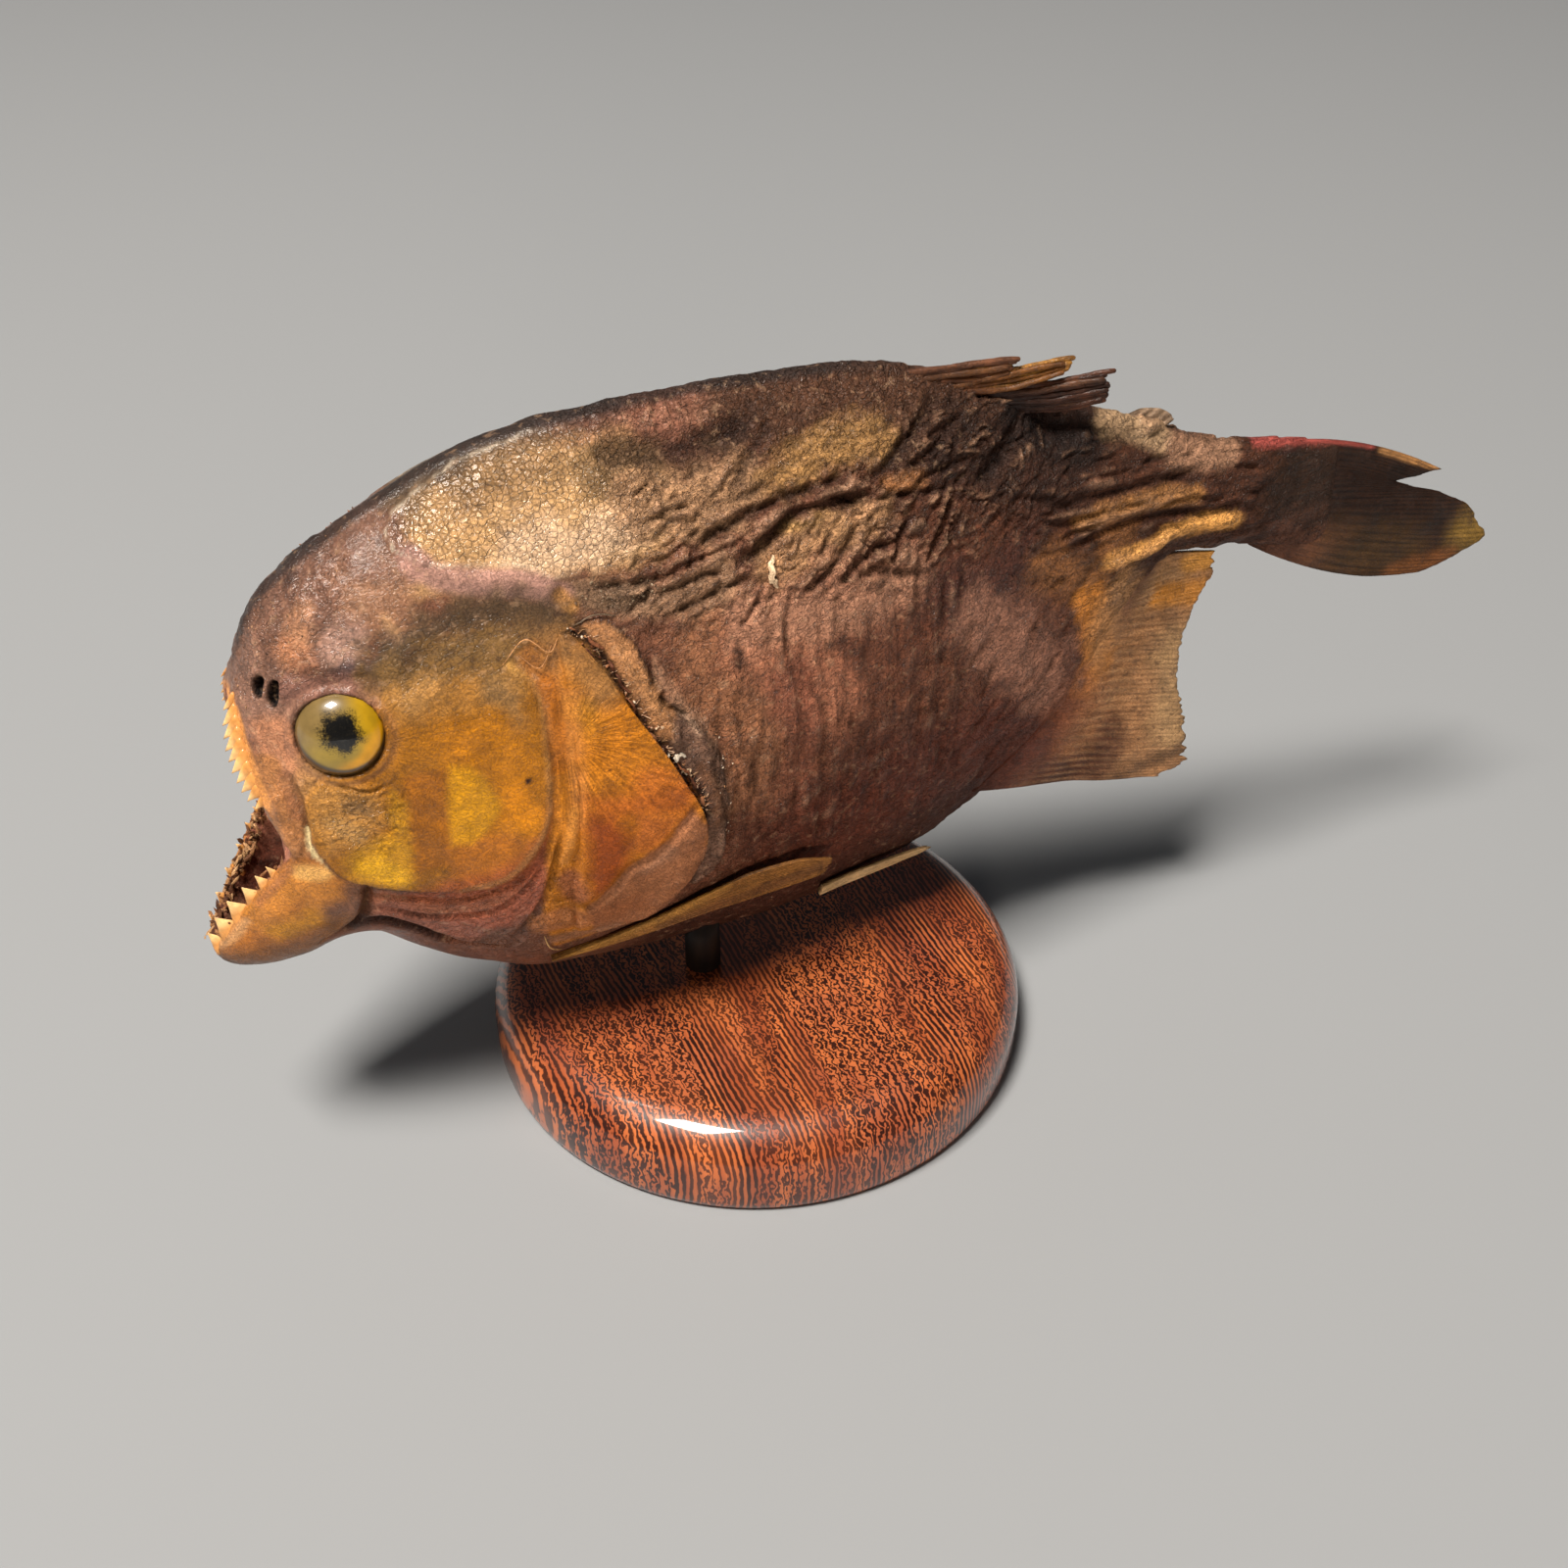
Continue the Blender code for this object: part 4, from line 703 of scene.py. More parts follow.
JAW_PAINT = (
    Wash("#9e6026", ((-72, 24), (-64, 29), (-56, 32)), 9, 2, 1, 0.1),
    Wash("#be7a30", ((-66.6, 30.6), (-62.6, 35.2), (-59.4, 35.8), (-58.6, 32.4)), 1.7, 2, 0.9, 0.5),
    Wash("#bb801c", ((-64, 28.6), (-59.6, 30)), 1, 2, 0.7, 0.7),
    Wash("#dca65c", ((-60.4, 37.6), (-58.2, 37.2)), 0.8, 0.9, 0.9, 0.3),
    Wash("#744822", ((-71, 22.4), (-65, 22.6), (-59, 25.6), (-55.6, 29)), 1.7, 2, 0.95, 0.5),
    # Darker at the jaw's rear by the crease: painted shade.
    Wash("#6b4634", ((-57.6, 31), (-55, 31.4), (-54.2, 33.6)), 0.9, 1.6, 0.9, 0.6),
    Wash("#50341f", ((-71.6, 20.6), (-65, 19.6), (-59, 21.6)), 1.2, 1.6, 0.95, 0.4),
    Wash("#b98858", ((-72.4, 24.4), (-70, 26.6), (-67.8, 29.6)), 0.35, 0.6, 0.9, 0.5),
    Wash("#98603a", ((-66, 32.4), (-63.4, 35.8), (-61.6, 38)), 0.3, 0.6, 0.7, 0.5),
)


class Flesh:
    """What the fish's skin looks like at any place: how far it stands out, its colour, gloss and grain."""

    rib_spacing = 3.55
    fan_hubs = ((-51, 54), (-27.2, 50.4))
    dorsal_dip = (43.5, 74, 4.5, 3.2)
    brow_shine, lip_shine = (-49.5, 66.5, 3, 2.4), (-62.4, 56.4, 1.2, 2.4)
    temple, under_eye = (-40, 64, 9, 4), (-53, 45, 5, 5.5)
    jaw_back: Line = ((-52.6, 36), (-53.2, 32.6), (-54.2, 29.2), (-56.4, 26.6), (-61, 22), (-66, 16))
    jaw_top: Line = ((-50, 32.6), (-53.7, 34.4), (-56.3, 36.5), (-58, 39), (-59.2, 39.6), (-66, 42))

    def __init__(self, points: Field) -> None:
        """Keep the places, the noise that bends every line a little, and how deep each lies in each region.

        Args:
            points: places on the skin in mm, one row each.
        """
        self.points = points
        self.x, self.y, self.z = points.T
        self.wander, self.fine = cloud(points, 9, 2, 1), cloud(points, 2.4, 3, 2)
        shift = 0.2 + 1.4 * ease(-0.5, 0.5, self.y)
        self.u = self.x + shift * cloud(points, 14, 2, 3) + 0.1 * cloud(points, 1.6, 2, 6)
        self.v = self.z + shift * cloud(points, 14, 2, 4) + 0.1 * cloud(points, 1.6, 2, 7)
        inward = BODY.half_width(self.x, self.z) - np.abs(self.y)
        self.mouth = ease(1, 1.8, inward) * ease(-46, -52, self.x)
        self.outer = 1 - self.mouth
        self.nape, self.cheek, self.gill = (inside_depth(self.u, self.v, edge)
                                            for edge in (NAPE, CHEEK_EDGE, GILL_FIELD))
        self.midline = ease(1.9, 0.9, np.abs(self.y)) * ease(60, 66, self.z)
        self.eye_away = np.hypot(self.x - EYE[0], (self.z - EYE[1]) * 1.03)
        self.valleys, self.detail, self.nostril = (np.zeros(len(points)) for _ in range(3))

    def zone(self, x_low: float, x_high: float, z_low: float, z_high: float, soft: float = 4) -> Field:
        """Return a box on the flank with soft edges."""
        across = ease(x_low - soft, x_low + soft, self.u) * ease(x_high + soft, x_high - soft, self.u)
        return across * ease(z_low - soft, z_low + soft, self.v) * ease(z_high + soft, z_high - soft, self.v)

    def spot(self, x: float, z: float, wide: float, tall: float) -> Field:
        """Return a soft round spot in side view."""
        return np.exp(-((self.x - x) / wide) ** 2 - ((self.z - z) / tall) ** 2)

    def fold_zone(self) -> Field:
        """Return where the hide is folded up and back."""
        return self.zone(-20, 40, 61, 80) * self.outer

    def rib_zone(self) -> Field:
        """Return where ribs show through."""
        return self.zone(-7, 28, 22, 58) * self.outer

    def tail_zone(self) -> Field:
        """Return where the hide is drawn lengthwise over the tail's stalk."""
        return self.zone(44, 90, 44, 72) * self.outer

    def wrinkles(self) -> Field:
        """Return the folds of shrunken hide: round pleats with sharp valleys that run up and back.

        Returns:
            One height for each place, in mm.
        """
        slope = math.radians(26) + 0.35 * self.wander
        along = self.x * np.cos(slope) + self.z * np.sin(slope)
        across = self.z * np.cos(slope) - self.x * np.sin(slope)
        pleats = np.zeros(len(self.x))
        for size, height, seed in ((2.3, 0.8, 5), (1.15, 0.42, 15)):
            stretched = np.column_stack((along / (3.4 * size), self.y / (3 * size), across / size))
            pleats += height * (np.abs(cloud(stretched, 1, 1, seed)) ** 0.8 - 0.25)
        drawn = np.column_stack((self.x / 6, self.y / 4, self.z / 1.3))
        drawn = np.abs(cloud(drawn, 1, 2, 13)) ** 0.8 - 0.25
        hide = self.zone(-14, 78, 8, 92, 5)
        return pleats * (self.fold_zone() + 0.2 * hide) + 0.5 * drawn * self.tail_zone()

    def ribs(self) -> Field:
        """Return the rib lines that show through the flank.

        Returns:
            One height for each place, in mm.
        """
        lean = self.x + 0.0018 * (self.z - 46) ** 2 + 0.7 * self.wander
        wave = np.abs(np.sin(np.pi * ((lean + 4) / self.rib_spacing))) ** 0.8 - 0.6
        drawn = cloud(np.column_stack((self.x / 0.9, self.y / 4, self.z / 7)), 1, 3, 14)
        return self.rib_zone() * (0.32 * wave + 0.22 * drawn) * (1 + 0.5 * self.wander)

    def creased(self, total: Field) -> None:
        """Press every crease, scattered stroke, ridge and tissue plate into the lift so far.

        Args:
            total: the lift so far, which this changes.
        """
        scattered = (crease for strokes in STROKES for crease in strokes.creases())
        for crease in (*CREASES, *scattered):
            near, moved, dark = crease.lift(self.u, self.v)
            total[near] += moved
            self.valleys[near] = np.maximum(self.valleys[near], dark * min(1, 0.1 + 0.8 * crease.depth))
        for ridge in RIDGES:
            total += ridge.lift(self.u, self.v)
        for _, height, outline in TISSUE_PLATES:
            total += height * ease(-0.25, 0.25, inside_depth(self.u, self.v, outline) + 0.25 * self.fine)

    def lift(self) -> Field:
        """Return how far each place moves out from the plain body form, in mm.

        Returns:
            One height for each place, in mm.
        """
        total = self.wrinkles() + self.ribs()
        total += 0.14 * self.fine * self.zone(-20, 90, 0, 95)
        self.creased(total)
        self.detail = total * self.outer
        total += 0.18 * self.wander
        front = ease(-16, -24, self.x)
        total += 0.25 * ease(-0.2, 0.6, self.nape) * front
        total += 0.2 * bell(self.nape - 0.1, 0.28) * front
        brow = np.hypot((self.u + 46.6) / 5, (self.v - 67.6) / 4.2)
        forehead = self.outer * self.fine * ease(-44, -50, self.x) * ease(56, 62, self.z)
        total += 0.6 * bell(brow, 1) + 0.3 * forehead
        total -= 2.4 * self.spot(*self.dorsal_dip)
        total -= 1.7 * bell(self.x + 54, 4.5) * ease(27, 20, self.z)
        total += 0.35 * self.midline
        plate = ease(-0.15, 0.3, self.cheek) * ease(61.5, 57.5, self.v)
        total += 0.5 * plate + 0.15 * plate * cloud(self.points, 4, 3, 9)
        total *= self.outer * ease(89, 80, self.x)
        total += self.eye_bed() + self.nostril_pits()
        total += self.mouth * 0.5 * self.fine
        return total

    def eye_bed(self) -> Field:
        """Return the hollow under the glass eye and the raised rim round it.

        Returns:
            One height for each place, in mm.
        """
        away = self.eye_away
        rim = 0.28 * bell(away - EYE_OPENING - 0.5, 0.4) + 0.1 * bell(away - 7.2, 0.6)
        groove = -0.1 * bell(away - 6.3 - 0.25 * self.fine, 0.3)
        bed = -2.2 * ease(EYE_OPENING + 0.15, EYE_OPENING - 0.5, away)
        return (rim + bed + groove) * self.outer

    def nostril_pits(self) -> Field:
        """Return the two nostrils.

        Returns:
            One height for each place, in mm.
        """
        total = np.zeros(len(self.x))
        for x, z, tall in NOSTRILS:
            away = np.hypot((self.x - x - 0.25 * (self.z - z)) / NOSTRIL_WIDTH, (self.z - z) / tall)
            away = away + 0.15 * self.fine
            total -= 1.3 * ease(1.12, 0.75, away) * self.outer
            total += 0.1 * bell(away - 1.5, 0.3) * self.outer
            self.nostril = np.maximum(self.nostril, ease(1.12, 0.95, away) * self.outer)
        return total

    def lower_jaw(self) -> Field:
        """Return 1 on the lower jaw and 0 on the rest."""
        behind, below = (line_reach(self.u, self.v, line)[2] for line in (self.jaw_back, self.jaw_top))
        return ease(0.3, -0.3, behind) * ease(-0.3, 0.3, below)

    def fan(self) -> Field:
        """Return coordinates that fan out from the eye over the cheek and from a hub over the gill cover.

        Returns:
            The coordinates, one row for each place.
        """
        rear = ease(-29, -27.5, self.x)
        made = np.zeros((len(self.x), 3))
        for share, (hub_x, hub_z) in zip((1 - rear, rear), self.fan_hubs):
            angle = np.arctan2(self.z - hub_z, self.x - hub_x)
            away = np.hypot(self.x - hub_x, self.z - hub_z)
            made += flat(angle * 20, away * 0.3) * share[:, None]
        return made

    def streaked(self) -> Field:
        """Return where the bone's fine fan lines show.

        Returns:
            One share for each place.
        """
        cheek = ease(0, 1.5, self.cheek) * ease(-56, -46, self.x)
        hub_x, hub_z = self.fan_hubs[1]
        gill = ease(0, 1, self.gill) * ease(36, 41, self.z)
        gill *= ease(0.8, 4, np.hypot(self.x - hub_x, self.z - hub_z)) * ease(62, 52, self.z)
        return np.maximum(cheek * (0.25 + 0.35 * ease(46, 54, self.z)), gill) * self.outer

    def amber(self) -> Field:
        """Return where thin varnished bone shows instead of hide."""
        cheek = ease(-0.3, 0.3, self.cheek) * ease(62, 57, self.z)
        return np.maximum(np.maximum(cheek, ease(-0.3, 0.3, self.gill)), 0.8 * self.lower_jaw()) * self.outer

    def colour(self, on_gill: bool = False) -> Field:
        """Return the painted colour at each place, linear.

        Args:
            on_gill: whether the places lie on the gill cover, which the tissue behind it doesn't colour.

        Returns:
            Red, green and blue, one row each.
        """
        paint = coat("#6b4330", len(self.x))
        breakup = 0.6 * self.fine + 0.5 * self.wander

        def lay_all(strokes: tuple[Wash | Patch, ...], where: Field | float = 1) -> None:
            """Lay several strokes, only where they belong."""
            for stroke in strokes:
                lay(paint, stroke.colour, stroke.cover(self.u, self.v, breakup) * where)

        lay_all(PAINT)
        relief = self.detail + 0.15 * self.fine
        # Lighter on raised ridges: partly wear on the ridge tops, partly painted highlight where they catch
        # the light.
        ridge_wear_and_highlight = ease(0.15, 0.75, relief) * (1 - self.tail_zone() * 0.4)
        lay(paint, "#b3886a", ridge_wear_and_highlight * 0.6 * self.zone(-22, 60, 20, 84) * (1 - self.amber()))
        # Darker where the skin lies below its plain form: painted shade in the hollows.
        lay(paint, "#2e1b13", ease(-0.05, -0.6, relief) * 0.5 * self.zone(-22, 90, 10, 90))
        lay_all(UNDER_CHEEK_PAINT + CHEEK_PAINT + GILL_PAINT)
        if not on_gill:
            for code, _, outline in TISSUE_PLATES:
                depth = inside_depth(self.u, self.v, outline) + 0.25 * self.fine
                # A dark line round each plate's raised edge: painted shadow where the step meets the skin.
                lay(paint, "#20120b", bell(depth, 0.3) * 0.8)
                lay(paint, code, ease(-0.05, 0.3, depth) * 0.95)
            lay_all(TISSUE_PAINT)
        lay_all(JAW_PAINT, self.lower_jaw())
        # A pale line along the nape patch's rim: partly its own pale border, partly painted highlight on the
        # raised rim.
        edge = bell(self.nape - 0.1, 0.12) * ease(-0.5, 0.4, self.fine) * ease(-22, -30, self.x)
        mouth_corner = self.mouth * ease(-66, -61, self.x) * ease(30, 38, self.z)
        for code, cover in (("#e0ceb6", 0.6 * edge * self.outer),
                            ("#2c2320", self.midline * ease(30, 10, self.x) * 0.85),
                            # Dark in the crease valleys: painted shade.
                            ("#1d100a", self.valleys * self.outer * 0.7),
                            # Dark at the lid's edge round the glass: painted shade in the gap between the lid
                            # and the eye.
                            ("#26140d", ease(EYE_OPENING + 0.35, EYE_OPENING, self.eye_away) * 0.9),
                            ("#a87860", bell(self.eye_away - 6, 0.45) * 0.2 * self.outer),
                            # Black in the nostrils: painted shade in the pits.
                            ("#080302", self.nostril),
                            ("#6e3c2c", self.mouth),
                            ("#24100b", self.mouth * ease(0.1, 0.6, self.fine) * 0.85),
                            ("#c08066", mouth_corner * 0.9),
                            ("#4a2a18", self.mouth * ease(-66, -69, self.x) * 0.8)):
            lay(paint, code, cover)
        return paint

    def gloss(self) -> Field:
        """Return how thick the varnish lies, from 0 to 1.

        Returns:
            One share for each place.
        """
        nape = ease(-0.2, 0.6, self.nape) * ease(-12, -28, self.x)
        head = ease(-24, -34, self.x)
        brow, lip = self.spot(*self.brow_shine), self.spot(*self.lip_shine)
        wet = 0.12 + nape + 0.3 * head + 0.8 * brow + 0.6 * lip + 0.2 * self.fine
        return np.clip(wet - 0.6 * self.valleys - self.nostril - 0.5 * self.mouth, 0, 1)

    def wrinkled(self) -> Field:
        """Return where the thin skin has dried into a net of fine creases.

        Returns:
            One share for each place.
        """
        forehead = ease(-46, -52, self.x) * ease(57, 62, self.z)
        body = 0.75 * ease(-24, -14, self.x) * (1 - 0.6 * self.amber())
        throat = 0.6 * ease(36, 30, self.z) * ease(-58, -50, self.x) * ease(-20, -30, self.x)
        made = np.maximum.reduce((0.6 * self.spot(*self.temple), 0.8 * self.spot(*self.under_eye),
                                  0.5 * forehead, body, throat, np.full(len(self.x), 0.15)))
        return made * self.outer * ease(6.4, 7.4, self.eye_away)

    def pebble(self) -> Field:
        """Return how strongly the scales stand out as pebbles.

        Returns:
            One share for each place.
        """
        body = ease(-30, -20, self.x) * ease(50, 40, self.x) * (1 + 0.9 * ease(70, 76, self.z))
        nape = ease(-0.1, 0.8, self.nape)
        return np.clip(np.maximum(0.4 * body, nape) * self.outer * (1 - self.amber()), 0, 1)

    def mark(self, mesh: Mesh, on_gill: bool = False) -> None:
        """Store colour, gloss and grain on a mesh whose vertices are this flesh's places.

        Args:
            mesh: the mesh.
            on_gill: whether the mesh is a gill plate.
        """
        paint_points(mesh, "paint", self.colour(on_gill))
        amber = self.amber()
        mark_points(mesh, gloss=self.gloss(), pebble=self.pebble(), folds=self.fold_zone(),
                    ribs=self.rib_zone(), drawn=self.tail_zone(), streaked=self.streaked(), amber=amber,
                    wrinkled=self.wrinkled(), pale=(1 - amber) * ease(34, 24, self.x))
        mark_fan(mesh, self.fan())


def to_row(points: Field) -> Field:
    """Turn places in the fish's frame into the row frame, in metres.

    Args:
        points: places in mm, one row each.

    Returns:
        The same places, one row each.
    """
    x, y, z = points.T
    c, s = math.cos(LEAN), math.sin(LEAN)
    return np.column_stack((x, y * c + z * s, z * c - y * s + DISC_HEIGHT)) * MM


def read_points(mesh: BMesh | Mesh) -> Field:
    """Return a mesh's vertex places, one row each.

    Args:
        mesh: the mesh.

    Returns:
        The places.
    """
    if isinstance(mesh, BMesh):
        return np.array([v.co[:] for v in mesh.verts], float).reshape(-1, 3)
    flat = np.empty(len(mesh.vertices) * 3, np.float32)
    mesh.vertices.foreach_get("co", flat)
    return flat.reshape(-1, 3).astype(float)


def write_points(mesh: BMesh | Mesh, points: Field) -> None:
    """Set a mesh's vertex places.

    Args:
        mesh: the mesh.
        points: the new places, one row each.
    """
    if isinstance(mesh, BMesh):
        for vert, place in zip(mesh.verts, points.tolist()):
            vert.co = place
    else:
        mesh.vertices.foreach_set("co", points.astype(np.float32).ravel())
        mesh.update()


def paint_points(mesh: Mesh, name: str, colours: Field) -> None:
    """Store a linear colour for each vertex.

    Args:
        mesh: the mesh.
        name: the attribute's name.
        colours: one colour for each vertex.
    """
    layer = mesh.color_attributes.new(name, "FLOAT_COLOR", "POINT")
    flat = np.column_stack((colours, np.ones(len(colours)))).astype(np.float32)
    layer.data.foreach_set("color", flat.ravel())


def mark_points(mesh: Mesh, **marks: Field) -> None:
    """Store named numbers for each vertex."""
    for name, values in marks.items():
        mesh.attributes.new(name, "FLOAT", "POINT").data.foreach_set("value", values.astype(np.float32))


def mark_fan(mesh: Mesh, places: Field) -> None:
    """Store the coordinates that the streaks follow."""
    layer = mesh.attributes.new("fan", "FLOAT_VECTOR", "POINT")
    layer.data.foreach_set("vector", places.astype(np.float32).ravel())


def grid(rows: int, columns: int) -> tuple[BMesh, Field, Field]:
    """Make a flat grid to be moved into shape.

    Args:
        rows: faces along u.
        columns: faces along v.

    Returns:
        The bmesh, and the shares u and v of each vertex.
    """
    bm = bmesh.new()
    bmesh.ops.create_grid(bm, x_segments=rows, y_segments=columns, size=0.5)
    level = read_points(bm)
    return bm, level[:, 0] + 0.5, level[:, 1] + 0.5


def slab(rows: int, columns: int, place: Form, facing: Form, half: Form) -> BMesh:
    """Make a closed sheet whose thickness changes from place to place.

    Args:
        rows: faces along u.
        columns: faces along v.
        place: middle surface at shares (u, v).
        facing: unit normals there.
        half: half the thickness there.

    Returns:
        The closed bmesh in mm.
    """
    bm = grid(rows, columns)[0]
    count = len(bm.verts)
    bmesh.ops.solidify(bm, geom=bm.faces[:], thickness=0.01)
    level = read_points(bm)
    u, v = level[:, 0] + 0.5, level[:, 1] + 0.5
    upper = np.where(np.arange(len(level)) < count, 1, -1)
    write_points(bm, place(u, v) + facing(u, v) * (upper * half(u, v))[:, None])
    bmesh.ops.recalc_face_normals(bm, faces=bm.faces)
    return bm


def closed_loft(rings: Field) -> BMesh:
    """Make a closed form through rings of points.

    Args:
        rings: places as an array of ring, point and axis.

    Returns:
        The closed bmesh.
    """
    count, around = rings.shape[0], rings.shape[1]
    bm, u, v = grid(count - 1, around)
    ring = np.rint(u * (count - 1)).astype(int)
    point = np.rint(v * around).astype(int) % around
    write_points(bm, rings[ring, point])
    bmesh.ops.remove_doubles(bm, verts=bm.verts, dist=1e-4)
    open_edges = [edge for edge in bm.edges if edge.is_boundary]
    bmesh.ops.holes_fill(bm, edges=open_edges, sides=0)
    bmesh.ops.recalc_face_normals(bm, faces=bm.faces)
    return bm


def tube(path: list[Vector], radii: list[float], around: int = 10) -> BMesh:
    """Make a closed rod with rounded ends.

    Args:
        path: points of its middle line.
        radii: its radius at each point.
        around: sides.

    Returns:
        The rod.
    """
    first, last = (path[1] - path[0]).normalized(), (path[-1] - path[-2]).normalized()
    path = [path[0] - first * radii[0] * 0.5, *path, path[-1] + last * radii[-1] * 0.5]
    radii = [radii[0] * 0.5, *radii, radii[-1] * 0.5]
    rings = []
    turns = 2 * math.pi * np.arange(around) / around
    for n, (place, radius) in enumerate(zip(path, radii)):
        way = (path[min(n + 1, len(path) - 1)] - path[max(n - 1, 0)]).normalized()
        side = way.cross(Vector((0, 1, 0)))
        side = side.normalized() if side.length > 0.01 else Vector((1, 0, 0))
        circle = np.outer(np.cos(turns), side) + np.outer(np.sin(turns), way.cross(side))
        rings.append(np.array(place) + radius * circle)
    return closed_loft(np.array(rings))


def to_mesh(name: str, bm: BMesh) -> bpy.types.Object:
    """Turn a bmesh into an object in the scene.

    Args:
        name: the object's name.
        bm: its form, which is freed.

    Returns:
        The object.
    """
    mesh = bpy.data.meshes.new(name)
    bm.to_mesh(mesh)
    bm.free()
    item = bpy.data.objects.new(name, mesh)
    bpy.context.scene.collection.objects.link(item)
    return item


def apply_modifiers(item: bpy.types.Object) -> None:
    """Replace an object's mesh by what its modifiers make of it.

    Args:
        item: the object.
    """
    bpy.context.view_layer.update()
    shown = item.evaluated_get(bpy.context.evaluated_depsgraph_get())
    mesh = bpy.data.meshes.new_from_object(shown)
    item.modifiers.clear()
    item.data = mesh


def cut(item: bpy.types.Object, tool: bpy.types.Object) -> None:
    """Cut a closed tool out of an object and remove the tool.

    Args:
        item: the object that is cut.
        tool: the form that cuts it.
    """
    boolean = item.modifiers.new("Cut", "BOOLEAN")
    boolean.object = tool
    boolean.operation = "DIFFERENCE"
    boolean.solver = "MANIFOLD"
    apply_modifiers(item)
    bpy.data.objects.remove(tool)


def join_bm(target: BMesh, extra: BMesh) -> None:
    """Add one bmesh's faces to another.

    Args:
        target: the bmesh that grows.
        extra: the bmesh that it takes in.
    """
    mesh = bpy.data.meshes.new("part")
    extra.to_mesh(mesh)
    extra.free()
    target.from_mesh(mesh)
    bpy.data.meshes.remove(mesh)


def add_node(tree: bpy.types.NodeTree, kind: str, settings: dict | None = None,
             links: dict | None = None) -> bpy.types.Node:
    """Add a node with its settings and links.

    Args:
        tree: the material's node tree.
        kind: Blender's node type.
        settings: attributes or input values by name.
        links: output sockets by the input they feed.

    Returns:
        The new node.
    """
    node = tree.nodes.new(kind)
    for key, value in (settings or {}).items():
        if isinstance(key, str) and hasattr(node, key):
            setattr(node, key, value)
        else:
            node.inputs[key].default_value = value
    for key, socket in (links or {}).items():
        tree.links.new(socket, node.inputs[key])
    return node


